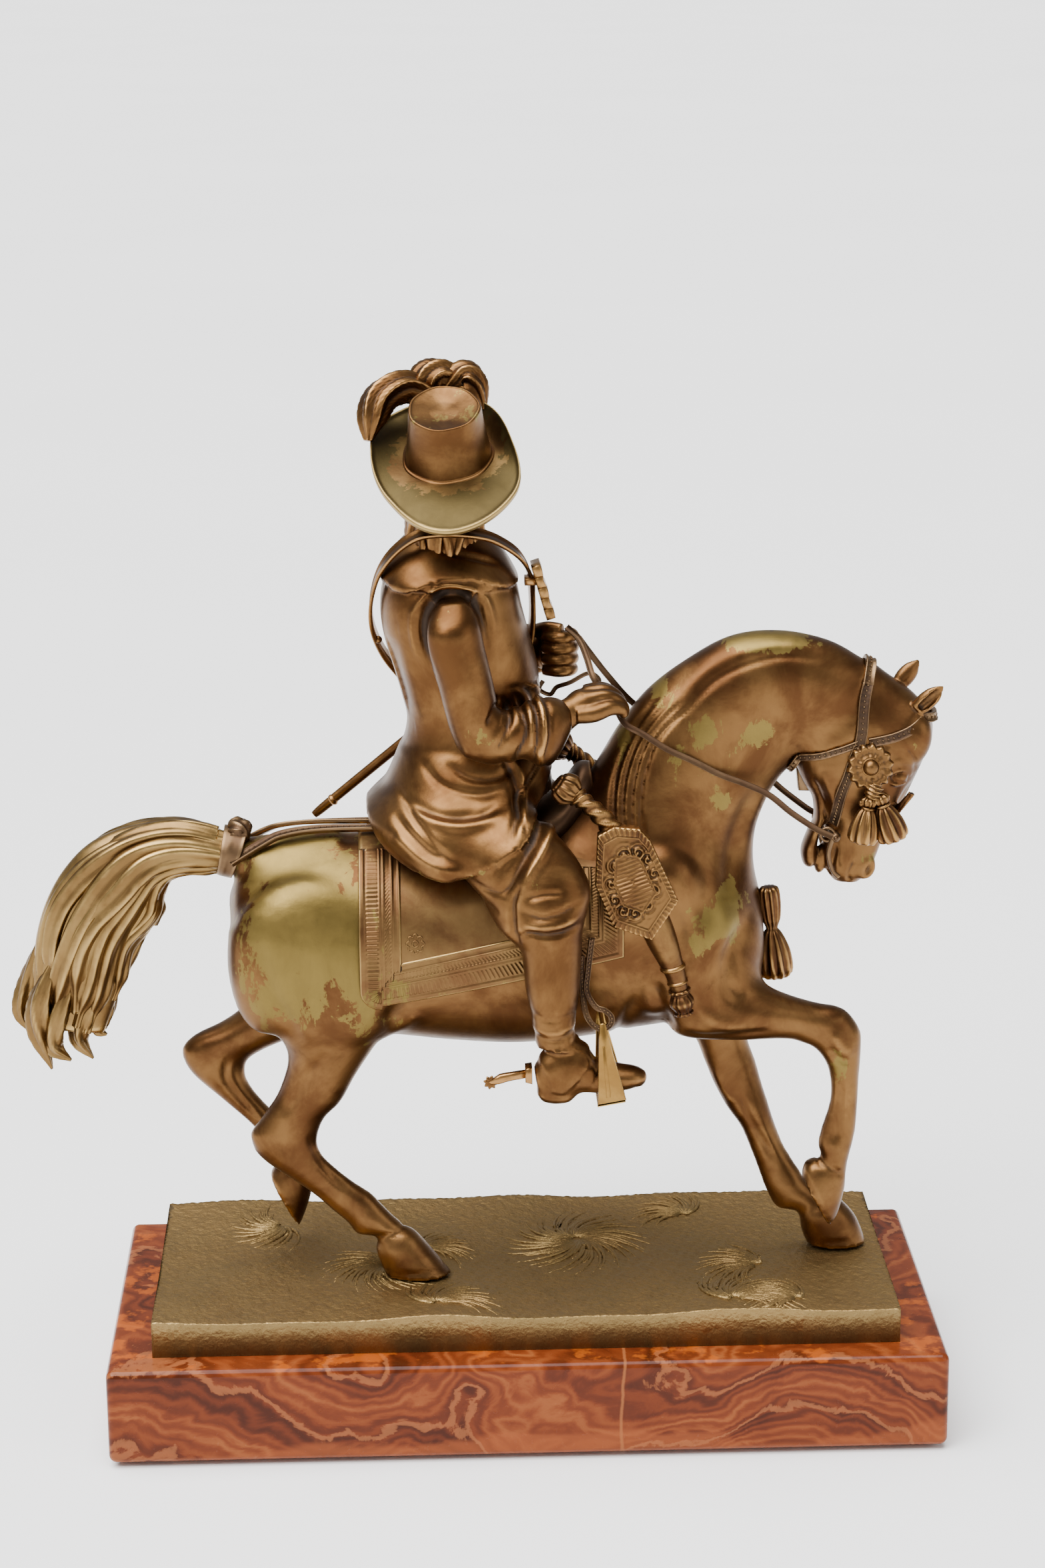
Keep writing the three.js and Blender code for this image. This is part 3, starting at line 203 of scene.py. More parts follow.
def lock(stations, flutes=5, depth=0.12, turns=0.0, sides=40, steps=60, flat=1.0):
    """Tapering lock of hair: a tube with grooves that wind round it, r (1 + depth cos(flutes a)),
    and a finer set of strands between them."""
    t = np.linspace(0, 1, steps)
    line = rows_at(stations, t)
    path, radius = line[:, :3], np.maximum(line[:, 3], 0.05)
    _, out, side = frames_along(path, (0.1, -1, 0.05))
    a = circle(sides)
    wind = a[None] + turns * t[:, None] * 2 * np.pi
    groove = 1 + depth * np.cos(flutes * wind) + 0.35 * depth * np.cos(3 * flutes * wind + 1)
    r = radius[:, None] * groove
    return tube(path[:, None] + out[:, None] * (flat * r * np.cos(a))[..., None]
                + side[:, None] * (r * np.sin(a))[..., None])


def turned(profile, at, axis, sides, flutes=0, depth=0.0, steps=8, twist=0.0):
    """Turned form: radius against height, with optional flutes, r (1 + depth cos(flutes a))."""
    radius, height = rows_at(profile, np.linspace(0, 1, steps)).T
    axis, first, second = square_to(axis, (0.3, 0.9, 0.2))
    a = circle(sides)
    span = (height - height.min()) / max(np.ptp(height), 1e-6)
    r = np.maximum(radius, 0.02)[:, None] * (1 + depth * np.cos(flutes * a[None] + twist * span[:, None]))
    ring = first * np.cos(a)[None, :, None] + second * np.sin(a)[None, :, None]
    return tube(np.asarray(at, float) + axis * height[:, None, None] + ring * r[..., None])


def ball(at, radii, turn=(0, 0, 0), rings=14, sides=24):
    """Ellipsoid with its three radii, turned by Euler angles in degrees."""
    t, a = np.linspace(0.04, np.pi - 0.04, rings), circle(sides)
    x = np.sin(t)[:, None] * np.cos(a)
    y = np.sin(t)[:, None] * np.sin(a)
    z = np.broadcast_to(np.cos(t)[:, None], x.shape)
    grid = np.stack([x, y, z], -1) * np.broadcast_to(np.asarray(radii, float), 3)
    about_x, about_y, about_z = (Matrix.Rotation(np.radians(t), 3, name) for t, name in zip(turn, "XYZ"))
    spin = np.array(about_z @ about_y @ about_x)
    return tube(grid @ spin.T + np.asarray(at, float))


def limb(stations, sides=28, steps=40, flat=1.0):
    """Round limb through stations x, y, z, radius."""
    return lock(stations, flutes=1, depth=0.0, sides=sides, steps=steps, flat=flat)


print("row halfway", rows_at([[0.0, 0.0], [1.0, 4.0]], [0.5]))

# %% [markdown]
# A casting has no seams between its forms: the neck flows into the shoulder. So the lofts are poured
# into a box of cells that hold the distance to the surface, where two forms can be blended like wax.
# The blend is the smaller distance, less a little wherever the two are nearly equal. The surface is
# then read back as one closed mesh of even faces, fine enough to carve.

# %% Volumes
BAND = 8


class Volume:
    """A box of cells that hold the distance to a surface in millimetres, negative inside it."""

    def __init__(self, low, high, cell):
        self.cell = cell
        self.low = np.floor(np.array(low) / cell).astype(int)
        self.far = BAND * cell
        self.field = np.full(np.ceil(np.array(high) / cell).astype(int) - self.low, self.far, np.float32)
        self.transform = vdb.createLinearTransform(voxelSize=cell)

    def distance(self, form):
        """The cells near a form, and their distances to it."""
        grid = vdb.FloatGrid.createLevelSetFromPolygons(
            form.points.astype(np.float32), triangles=form.tris.astype(np.uint32),
            quads=form.quads.astype(np.uint32), transform=self.transform, halfWidth=BAND)
        low = np.maximum(np.floor(form.points.min(0) / self.cell).astype(int) - BAND, self.low)
        high = np.ceil(form.points.max(0) / self.cell).astype(int) + BAND
        high = np.minimum(high, self.low + self.field.shape)
        near = np.full(high - low, self.far, np.float32)
        grid.copyToArray(near, ijk=tuple(int(k) for k in low))
        start, stop = low - self.low, high - self.low
        return tuple(slice(a, b) for a, b in zip(start, stop)), near

    def add(self, *forms, blend=3.0):
        for form in forms:
            place, near = self.distance(form)
            old = self.field[place]
            shared = np.maximum(blend - np.abs(old - near), 0) / blend
            self.field[place] = np.minimum(old, near) - shared * shared * blend / 4

    def cut(self, *forms, blend=1.0):
        for form in forms:
            place, near = self.distance(form)
            old = self.field[place]
            shared = np.maximum(blend - np.abs(old + near), 0) / blend
            self.field[place] = np.maximum(old, -near) + shared * shared * blend / 4

    def dress(self, region, thick, body=None):
        """Lays a layer of even thickness over all that lies inside a region, with a crisp edge. The
        layer follows this volume, or another one of the same size."""
        place, near = self.distance(region)
        under = (self if body is None else body).field[place]
        self.field[place] = np.minimum(self.field[place], np.maximum(under - thick, near))

    def form(self):
        grid = vdb.FloatGrid(self.far)
        grid.transform = self.transform
        grid.copyFromArray(self.field, ijk=tuple(int(k) for k in self.low))
        points, quads = grid.convertToQuads(0.0)
        return outward(points.astype(float), quads.astype(int), np.zeros((0, 3), int))


def pairs_of(form):
    """Both directions of every edge, as two lists of point numbers."""
    sides = [form.quads[:, [k, (k + 1) % 4]] for k in range(4)]
    sides += [form.tris[:, [k, (k + 1) % 3]] for k in range(3)]
    pairs = np.concatenate(sides)
    return np.concatenate([pairs, pairs[:, ::-1]]).T


def neighbour_mean(values, pairs):
    """Mean of the values at the neighbours of each point."""
    a, b = pairs
    count = np.maximum(np.bincount(a, minlength=len(values)), 1)
    columns = [np.bincount(a, values[b, c], minlength=len(values)) / count for c in range(values.shape[1])]
    return np.stack(columns, 1)


def normals_of(form):
    """Point normals: the sum of the area vectors of the faces at each point."""
    p = form.points
    quad_area = np.cross(p[form.quads[:, 2]] - p[form.quads[:, 0]], p[form.quads[:, 3]] - p[form.quads[:, 1]])
    tri_area = np.cross(p[form.tris[:, 1]] - p[form.tris[:, 0]], p[form.tris[:, 2]] - p[form.tris[:, 0]])
    corners = np.concatenate([form.quads.T.reshape(-1), form.tris.T.reshape(-1)])
    areas = np.concatenate([np.tile(quad_area, (4, 1)), np.tile(tri_area, (3, 1))])
    return unit(np.stack([np.bincount(corners, areas[:, c], minlength=len(p)) for c in range(3)], 1))


def relaxed(form, times=2, amount=0.5):
    """Each point moves part of the way to the mean of its neighbours."""
    pairs, points = pairs_of(form), form.points
    for _ in range(times):
        points = points + amount * (neighbour_mean(points, pairs) - points)
    return form._replace(points=points)


def hollows(form, reach=5):
    """How hollow the surface is at each point, -1 on a ridge to 1 in a groove: how far the relaxed
    surface lies outside the real one, against the mean edge length."""
    pairs, normals = pairs_of(form), normals_of(form)
    smooth = form.points
    for _ in range(reach):
        smooth = neighbour_mean(smooth, pairs)
    depth = ((smooth - form.points) * normals).sum(1)
    edge = np.linalg.norm(form.points[pairs[0]] - form.points[pairs[1]], axis=1).mean()
    return np.clip(depth / (0.6 * edge * np.sqrt(reach)), -1, 1)


# %% [markdown]
# Carving works on the finished wax: a stroke is a curve drawn in the side view, and the surface under
# it moves along its normals. A groove is a bell curve pushed in, a ridge is one pulled out, and a fold
# is raised on one side of the curve and sunk on the other, which is how heavy cloth breaks.

# %% Strokes
GROOVE, RIDGE, FOLD = "groove", "ridge", "fold"


def path_near(flat, path, samples=24):
    """Signed distance of flat points to a smooth path, and how far along it the nearest place lies."""
    line = rows_at(path, np.linspace(0, 1, samples))
    start, run = line[:-1], np.diff(line, axis=0)
    rel = flat[:, None] - start[None]
    f = np.clip((rel * run).sum(-1) / np.maximum((run * run).sum(-1), 1e-9), 0, 1)
    off = rel - f[..., None] * run
    far = (off * off).sum(-1)
    best, row = far.argmin(1), np.arange(len(flat))
    side = run[best, 0] * off[row, best, 1] - run[best, 1] * off[row, best, 0]
    return np.sqrt(far[row, best]) * np.sign(side), (best + f[row, best]) / (samples - 1)


def stroke_lift(flat, kind, width, depth, path):
    """Height of one stroke at flat points, fading at both ends of the path."""
    off, along = path_near(flat, path)
    q = off / width
    fade = np.clip(np.sin(np.pi * np.clip(along, 0.02, 0.98)) * 1.6, 0, 1)
    if kind == FOLD:
        return depth * fade * (np.where(q > 0, 1, 1.3) * q * np.exp(0.5 - q * q / 2))
    return depth * fade * np.exp(-q * q) * (1 if kind == RIDGE else -1)


def carve(form, strokes, y):
    """Carves strokes, which are drawn in (x, z), in the part of a form between two depths y."""
    normals, points = normals_of(form), form.points
    flat = points[:, [0, 2]]
    lift = np.zeros(len(points))
    inside = (points[:, 1] > y[0]) & (points[:, 1] < y[1])
    for kind, width, depth, path in strokes:
        path = np.array(path, float)
        near = inside & (flat > path.min(0) - 4 * width).all(1) & (flat < path.max(0) + 4 * width).all(1)
        if near.any():
            lift[near] += stroke_lift(flat[near], kind, width, depth, path)
    return form._replace(points=points + normals * lift[:, None])


# %% [markdown]
# Every piece is made a mesh by one function. It turns millimetres in the plinth's frame into metres in
# the row's frame, writes how hollow the surface is into an attribute that the patina reads, and says
# which body the piece rides on and which CAD nodes it stands for.

# %% Meshes
made = {}


def piece(name, form, material, nodes, worn=None):
    """One finished piece: a mesh object at the origin, with its place in its points."""
    mesh = bpy.data.meshes.new(name)
    count, quads, tris = len(form.points), form.quads, form.tris
    mesh.vertices.add(count)
    mesh.vertices.foreach_set("co", (form.points * MM + SHIFT).astype(np.float32).ravel())
    mesh.loops.add(quads.size + tris.size)
    mesh.loops.foreach_set("vertex_index", np.concatenate([quads.ravel(), tris.ravel()]).astype(np.int32))
    mesh.polygons.add(len(quads) + len(tris))
    starts = np.concatenate([np.arange(len(quads)) * 4, quads.size + np.arange(len(tris)) * 3])
    mesh.polygons.foreach_set("loop_start", starts.astype(np.int32))
    mesh.update(calc_edges=True)
    mesh.validate()
    mesh.polygons.foreach_set("use_smooth", np.ones(len(mesh.polygons), bool))
    hollow = mesh.attributes.new("hollow", "FLOAT", "POINT")
    hollow.data.foreach_set("value", hollows(form).astype(np.float32))
    bright = mesh.attributes.new("worn", "FLOAT", "POINT")
    bright.data.foreach_set("value", (np.zeros(count) if worn is None else worn).astype(np.float32))
    mesh.materials.append(material)
    obj = bpy.data.objects.new(name, mesh)
    bpy.context.scene.collection.objects.link(obj)
    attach(obj, "root")
    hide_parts(*nodes)
    made[name] = 2 * len(quads) + len(tris)
    print(name, "triangles", made[name])


def patches(points, spots, y=(-200, 200)):
    """Soft oval spots, each x, z, half length, half height and strength, as one value per point."""
    value = np.zeros(len(points))
    inside = (points[:, 1] > y[0]) & (points[:, 1] < y[1])
    for x, z, long, high, strength in spots:
        far = ((points[:, 0] - x) / long) ** 2 + ((points[:, 2] - z) / high) ** 2
        value = np.maximum(value, strength * np.exp(-far) * inside)
    return value


# %% [markdown]
# Shader maths is written as Python expressions. A Field wraps a node socket, so a mask times a colour
# value reads as it is thought, and each operator adds one Math node. Anything else comes from node().

# %% Shader expressions
class Field:
    """A value in a material's node tree."""

    def __init__(self, tree, socket):
        self.tree, self.socket = tree, socket

    def node(self, kind, values=None, output=0, **settings):
        """Adds a node: settings first, then the values or links of its sockets by name or number."""
        made_node = self.tree.nodes.new(kind)
        stops = settings.pop("stops", None)
        for key, value in settings.items():
            setattr(made_node, key, value)
        if stops:
            ramp = made_node.color_ramp
            while len(ramp.elements) < len(stops):
                ramp.elements.new(0.5)
            for element, (place, colour) in zip(ramp.elements, stops):
                element.position, element.color = place, (*colour, 1)
        for key, value in (values or {}).items():
            if isinstance(value, Field):
                self.tree.links.new(value.socket, made_node.inputs[key])
            else:
                made_node.inputs[key].default_value = value
        return Field(self.tree, made_node.outputs[output] if made_node.outputs else None)

    def maths(self, operation, *values):
        return self.node("ShaderNodeMath", dict(enumerate(values or (self,))), operation=operation)

    def __add__(self, other):
        return self.maths("ADD", self, other)

    def __mul__(self, other):
        return self.maths("MULTIPLY", self, other)

    def __sub__(self, other):
        return self.maths("SUBTRACT", self, other)

    def __rsub__(self, other):
        return self.maths("SUBTRACT", other, self)

    __radd__, __rmul__ = __add__, __mul__

    def between(self, low, high):
        """0 below low, 1 above high and a smooth step in between."""
        values = {"Value": self, "From Min": low, "From Max": high}
        return self.node("ShaderNodeMapRange", values, interpolation_type="SMOOTHSTEP", clamp=True)

    def noise(self, scale, detail=4.0, rough=0.55, distort=0.0):
        values = {"Vector": self, "Scale": scale, "Detail": detail, "Roughness": rough, "Distortion": distort}
        return self.node("ShaderNodeTexNoise", values)

    def stretched(self, scale, turn=(0, 0, 0)):
        return self.node("ShaderNodeMapping", {"Vector": self, "Scale": scale, "Rotation": turn})

    def mix(self, low, high):
        """Colour low where this mask is 0 and colour high where it is 1."""
        tint = [(*c, 1) if isinstance(c, tuple) else c for c in (low, high)]
        return self.node("ShaderNodeMix", {0: self, 6: tint[0], 7: tint[1]}, output=2, data_type="RGBA")


SOCKET_NAMES = {"ior": "IOR", "specular_ior_level": "Specular IOR Level"}


def new_material(name):
    """A material, its object coordinates, a way to read an attribute and a way to feed its shader."""
    material = bpy.data.materials.new(name)
    material.use_nodes = True
    tree = material.node_tree
    shader = next(n for n in tree.nodes if n.type == "BSDF_PRINCIPLED")
    start = Field(tree, None)
    where = start.node("ShaderNodeTexCoord", output=3)

    def read(attribute):
        return start.node("ShaderNodeAttribute", output=2, attribute_name=attribute)

    def feed(**sockets):
        for key, value in sockets.items():
            socket = shader.inputs[SOCKET_NAMES.get(key, key.replace("_", " ").title())]
            if isinstance(value, Field):
                tree.links.new(value.socket, socket)
            else:
                socket.default_value = value

    return material, where, read, feed


def bump(height, strength, distance):
    values = {"Height": height, "Strength": strength, "Distance": distance}
    return height.node("ShaderNodeBump", values)


# %% [markdown]
# The bronze is a warm brown patina over metal. On the real piece the hand has rubbed the high places to
# a golden brown, the grooves have kept a near black, and whole areas have lost the brown and show a
# greenish brass. A painted mask would slide over the forms. Here the edges and hollows come from the
# mesh itself, so the wear follows the modelling.

# %% Bronze patina
def bronze(name, brown, gold, dark, brass, rough=0.36, brassy=0.0, grain=0.25, fine=900.0):
    """Patina from dark in the grooves through brown to gold on the ridges, and brass where worn."""
    material, where, read, feed = new_material(name)
    hollow = read("hollow")
    cloud = where.noise(38.0, 5.0, 0.6, 0.4)
    blotch = where.noise(110.0, 4.0, 0.62, 0.8)
    speck = where.noise(520.0, 3.0, 0.6)
    ridge = (0 - hollow + (blotch - 0.5) * 0.7).between(0.12, 0.75)
    groove = (hollow + (blotch - 0.5) * 0.35).between(0.08, 0.62)
    streak = where.stretched((130, 130, 48), (0, 0.5, 0)).noise(1.0, 6.0, 0.7, 0.5)
    worn = (read("worn") + (cloud - 0.5) * 0.75 + (streak - 0.5) * 1.9 + (blotch - 0.5) * 0.6
            + (speck - 0.5) * 0.35 + brassy).between(0.47, 0.56)
    brass = (streak.between(0.3, 0.7) * 0.6).mix(tuple(0.78 * b for b in brass), brass)
    body = cloud.between(0.36, 0.66).mix(brown, tuple(0.62 * b + 0.3 * g for b, g in zip(brown, gold)))
    body = (blotch.between(0.58, 0.78) * 0.5).mix(body, tuple(0.55 * b for b in brown))
    body = (worn * 0.92).mix(body, brass)
    body = (ridge * 0.8).mix(body, gold)
    body = (groove * 0.85).mix(body, dark)
    roughness = rough + groove * 0.22 - ridge * 0.08 + (blotch - 0.5) * 0.25 + worn * 0.03
    relief = where.noise(fine, 3.0, 0.6) * grain + blotch * 0.5
    feed(base_color=body, metallic=1 - groove * 0.35 - worn * 0.1, roughness=roughness,
         normal=bump(relief, 0.28, 0.0004))
    return material


BROWN, GOLD = (0.080, 0.034, 0.0128), (0.37, 0.20, 0.070)
DARK, BRASS = (0.014, 0.008, 0.005), (0.190, 0.132, 0.034)
horse_bronze = bronze("horse_bronze", BROWN, GOLD, DARK, BRASS)
rider_bronze = bronze("rider_bronze", (0.082, 0.0355, 0.0125), (0.37, 0.195, 0.068), DARK, BRASS,
                      brassy=-0.04)
tail_bronze = bronze("tail_bronze", (0.150, 0.084, 0.030), (0.44, 0.29, 0.105), DARK, BRASS, brassy=0.08)
strap_bronze = bronze("strap_bronze", (0.066, 0.036, 0.021), (0.21, 0.13, 0.065), DARK,
                      brass=(0.2, 0.15, 0.06), rough=0.46)
gilt = bronze("gilt", (0.20, 0.105, 0.028), (0.62, 0.38, 0.105), dark=(0.03, 0.016, 0.006),
              brass=(0.42, 0.29, 0.08), rough=0.33, brassy=0.1)
print("bronzes", [m.name for m in bpy.data.materials if "bronze" in m.name])

# %% [markdown]
# The horse: trunk, neck and legs from the same rows as the CAD lofts, then the muscles as balls of wax
# pressed on. The head is a casting of its own fineness, so it gets its own volume with smaller cells.

# %% Horse outline
TRUNK = [
    [-111.5, 203, -109, 178, 0, 12], [-108, 211, -106, 164, 0, 24], [-100, 217.5, -100, 156, 0, 31],
    [-88, 222.5, -90, 152, 0, 35], [-72, 226, -72, 149.5, 0, 36.5], [-50, 226.5, -50, 147.5, 0, 36],
    [-25, 225.5, -25, 144.5, 0, 36.5], [0, 226.5, 0, 143, 0, 36.5], [25, 229.5, 25, 145, 0, 35],
    [45, 236, 45, 148, 0, 32.5], [62, 236, 62, 150, 0, 29.5], [78, 222, 78, 153, 0, 26],
    [89, 205, 86, 160, 0, 19], [92.5, 195, 90.5, 170, 0, 12],
]
DOCK = [
    [-70, 228, -70, 205, 0, 12], [-88, 227.3, -88, 205, 0, 12], [-98, 226.5, -99, 208, 0, 10.5],
    [-106, 225.8, -108.5, 212.5, 0, 8], [-114, 227.5, -115.5, 214, 0, 7],
]
NECK = [
    [10, 232, 80, 160, 0, 26], [22, 243, 89, 172, 0, 25], [30, 254.5, 91.5, 190, 0, 22.5],
    [38, 268, 90, 210, 0, 19.5], [49, 282, 90.5, 226, 0, 17], [64, 293.5, 95.5, 240, 0, 15],
    [81, 302.4, 101.5, 249, 0, 14], [99, 304.1, 107, 252.5, 0, 13], [118, 300, 110, 251, 0, 12.5],
    [132.5, 291.5, 114, 256, 0, 11],
]
HEAD = [
    [133, 292.5, 118, 268, 0, 9], [140, 287, 112, 266, 0, 11], [150, 279.5, 107.5, 258, 0, 13],
    [156.8, 271, 108, 251.5, 0, 13.6], [157.7, 263, 110, 246, 0, 13.8], [155, 255, 112.5, 240.5, 0, 13],
    [151.2, 246, 114.5, 235.5, 0, 11.6], [147.5, 238, 116.5, 231, 0, 9.8], [143.4, 231, 117.4, 227, 0, 8.4],
    [139.8, 222.5, 116.6, 221.5, 0, 8], [137.2, 215, 116.4, 213.5, 0, 8.2],
    [134.5, 208.8, 118.5, 208.8, 0, 7], [130.5, 204.9, 121, 205.5, 0, 4.5],
]
JAW = [
    [121, 240, 112, 243, 0, 8], [118.5, 232, 113, 231, 0, 6.5], [116, 226, 110.6, 225, 0, 6],
    [114.6, 220, 108.2, 218, 0, 6], [114.5, 214, 109, 212.5, 0, 4.8], [113, 211.2, 110.8, 210.8, 0, 2.5],
]
RIGHT_HIND = [
    [-46, 192, -110, 194, -17, 17], [-45, 174, -109.5, 180, -18.5, 17.5], [-50, 158, -103, 164, -18.5, 16],
    [-57, 147, -94, 153.5, -18, 13], [-64, 136, -90, 143, -17.5, 10.5], [-70, 125, -94, 129, -17.2, 8.5],
    [-76.5, 118, -100.5, 118.7, -17, 7.5], [-79.5, 109.5, -105.6, 110.5, -17, 7.2],
    [-77.5, 102.5, -101, 101.5, -17, 6], [-71.5, 95.5, -83.5, 88, -17, 4.8], [-65, 90, -75, 80, -17, 4.6],
    [-59.5, 86, -68.5, 74, -17, 5], [-55, 81, -65, 69.5, -17.2, 5.6], [-50, 75.5, -58, 68.3, -17.4, 5.2],
    [-45, 71.3, -56.5, 64.5, -17.5, 6],
]
RIGHT_HIND_HOOF = [
    [-46, 71.5, -56.8, 66.5, -17.5, 5], [-42, 69.5, -57, 62, -17.5, 7.2],
    [-35, 61, -55.5, 57, -17.5, 8.3], [-28.5, 52.4, -54.5, 52.4, -17.5, 9.2],
]
LEFT_HIND = [
    [-46, 192, -110, 194, 17, 17], [-44, 172, -110, 181, 18.5, 17.5], [-58, 156, -107, 164, 18, 15],
    [-77, 146, -106.5, 154, 17.5, 12], [-90, 139, -111, 149.4, 17, 10], [-99, 135, -118, 144.8, 17, 8.6],
    [-106, 130.8, -128, 140, 17, 7.4], [-108.3, 127, -133, 134, 17, 7], [-108, 121.5, -129.5, 124.8, 17, 6.2],
    [-103.8, 114.3, -117.6, 113.2, 17, 4.8], [-97, 106.5, -107, 103, 17, 4.6],
    [-91, 100.5, -101, 95, 17, 4.9],
    [-86.5, 94, -98.5, 90.5, 17, 5.5], [-84.5, 87, -95.5, 87.5, 17, 5.1], [-83, 80.5, -96.5, 85.5, 17, 6.2],
]
LEFT_HIND_HOOF = [
    [-83.5, 83.5, -95.5, 88, 17, 5], [-82.5, 79, -97.5, 85.5, 17, 7],
    [-84.3, 70, -98.5, 83.5, 17, 7.8], [-88.4, 58.8, -99.9, 81, 17, 8.4],
]
RIGHT_FORE = [
    [72, 192, 48, 172, -12, 14], [86, 177, 54, 157, -15.5, 14], [94, 169, 60.5, 149.6, -18, 12.5],
    [103, 164.8, 78, 147.9, -19, 10], [113, 161.6, 100, 147.8, -19, 7.5], [123.5, 159, 107, 146.2, -19, 7],
    [129.8, 151, 112.5, 143.6, -19, 7], [130.5, 143, 117, 137.5, -19, 6.5], [130, 132, 118.9, 130, -19, 5.2],
    [129.7, 121, 118.8, 121, -19, 4.5], [129, 109.5, 115.8, 110.5, -19, 4.6],
    [127.6, 102.5, 114.6, 103.7, -19, 5.3], [126.3, 97, 115.8, 98.5, -19, 5.3],
    [125.6, 90, 112.5, 96, -19, 5.2],
]
RIGHT_FORE_HOOF = [
    [125.3, 91, 113.5, 98, -19, 5], [125.3, 86, 110, 96.5, -19, 6.4],
    [123, 76, 108.6, 93, -19, 7.6], [119.8, 68.6, 108.6, 90, -19, 8.4],
]
LEFT_FORE = [
    [80, 188, 45, 182, 12, 14], [90, 168, 51, 162, 14.5, 14], [91, 151, 60, 147, 14, 11.5],
    [89.5, 138, 68.5, 138, 13, 9], [93, 127, 73, 127, 12, 7.7], [95.5, 118, 77, 117.5, 11, 7],
    [98, 110, 81.5, 109, 10, 6.9], [100.5, 102, 87, 101, 9.2, 6], [103.8, 93.5, 91, 91.5, 8.3, 4.9],
    [107.5, 87, 94.5, 82, 7.4, 4.7], [110.5, 82.5, 97.5, 74, 6.5, 5.2], [113, 78.5, 101.5, 67.3, 6, 5.5],
    [119, 73.5, 108.5, 66, 5.4, 5.4], [125.5, 70.5, 111, 63.5, 5, 6.4],
]
LEFT_FORE_HOOF = [
    [124, 72, 110, 66.5, 5, 5], [127, 70, 110.6, 63.5, 5, 7.4],
    [133, 63, 111.5, 57.5, 5, 8.5], [137.3, 52.4, 113.5, 52.4, 5, 9.3],
]
# Muscles as centre, three radii and the turn about y in degrees, the same on both sides.
MUSCLES = [
    ((-84, 25, 190), (24, 11, 26), 20), ((-66, 27, 176), (15, 8.5, 22), -20),
    ((-98, 20, 178), (13, 11, 24), 0),
    ((62, 23, 182), (13, 9.5, 24), 30), ((74, 18, 172), (13, 10, 16), 40), ((84, 9, 180), (8.5, 9, 16), 0),
    ((48, 25, 206), (16, 7, 20), 40),
]


# The mane falls in parallel flutes beside the rear edge of the neck, each a little further forward.
MANE = [(GROOVE, 0.95, 1.1, [[36.5 + step, 229 - step / 3], [34.8 + step, 240], [36.5 + step, 254],
                             [42.5 + step, 268], [53 + 1.3 * step, 282 - 0.2 * step]])
        for step in (0, 3.3, 6.6, 9.9)]
# Strokes in the side view: kind, half width, depth and path. They follow the crest, the neck, the
# shoulder, the haunch, the tendons and the hoofs.
HORSE_STROKES = [
    (GROOVE, 1.8, 0.7, [[62, 276], [72, 287], [86, 294.4], [102, 297], [119, 293.4]]),
    (RIDGE, 2.6, 0.7, [[60, 283], [76, 296], [95, 300], [112, 299]]),
    (GROOVE, 4.2, 1.5, [[92, 246], [84, 232], [80, 218], [79, 204]]),
    (GROOVE, 3.4, 1.3, [[52, 216], [60, 202], [62, 186], [56, 172]]),
    (GROOVE, 3.0, 1.5, [[86, 196], [79, 186], [78, 174], [84, 166]]),
    (GROOVE, 2.6, 1.6, [[50.5, 176], [51.5, 168], [55, 158], [56, 152]]),
    (RIDGE, 3.0, 0.9, [[59, 176], [64, 166], [74, 158], [86, 156]]),
    (GROOVE, 2.0, 1.0, [[60, 152.5], [70, 151.6], [84, 152.6], [96, 153.6]]),
    (GROOVE, 2.2, 1.0, [[44, 170], [40, 160], [38, 151], [37, 145]]),
    (GROOVE, 1.6, 0.7, [[34, 164], [31, 156], [30, 148]]),
    (GROOVE, 4.0, 1.8, [[-44, 196], [-42, 180], [-46, 168], [-54, 158]]),
    (RIDGE, 3.0, 1.0, [[-40, 166], [-47, 157], [-56, 150]]),
    (GROOVE, 3.6, 1.1, [[-100, 196], [-96, 178], [-90, 164], [-84, 152]]),
    (GROOVE, 2.4, 0.9, [[-74, 150], [-82, 138], [-88, 128], [-92, 120]]),
    (GROOVE, 1.6, 0.8, [[-83, 113], [-80, 104], [-75, 96], [-69, 89]]),
    (GROOVE, 1.6, 0.8, [[-114, 134], [-116, 124], [-110, 114], [-103, 105]]),
    (GROOVE, 1.5, 0.8, [[118, 146], [121, 141], [127, 138.6]]),
    (RIDGE, 2.2, 0.7, [[119, 152], [122, 146], [127, 143]]),
    (GROOVE, 1.5, 0.9, [[122.4, 134], [122.6, 122], [121.6, 112], [120.4, 105]]),
    (GROOVE, 1.5, 0.9, [[84, 120], [89, 108], [95, 97], [100, 88]]),
    (RIDGE, 1.6, 0.6, [[76, 126], [80, 117], [84, 112]]),
    (GROOVE, 1.2, 0.8, [[113.4, 97.4], [119, 95.2], [125.4, 91.4]]),
    (GROOVE, 1.2, 0.8, [[-58, 68.8], [-52, 70.5], [-45.6, 72.4]]),
    (GROOVE, 1.2, 0.8, [[110, 66.6], [117, 69.8], [125, 73]]),
    (GROOVE, 1.0, 0.5, [[108.8, 93.2], [114, 82.5], [119.8, 71]]),
    (GROOVE, 0.9, 0.5, [[-55, 54.6], [-42, 55.4], [-29, 55.2]]),
    (GROOVE, 0.9, 0.5, [[113, 54.6], [124, 55.4], [136.6, 55.2]]),
    (RIDGE, 1.3, 0.7, [[-57.6, 66], [-55.6, 60], [-54, 55]]),
]


def muscle(centre, radii, turn, side):
    x, y, z = centre
    return ball((x, side * y, z), radii, (0, turn, 0))


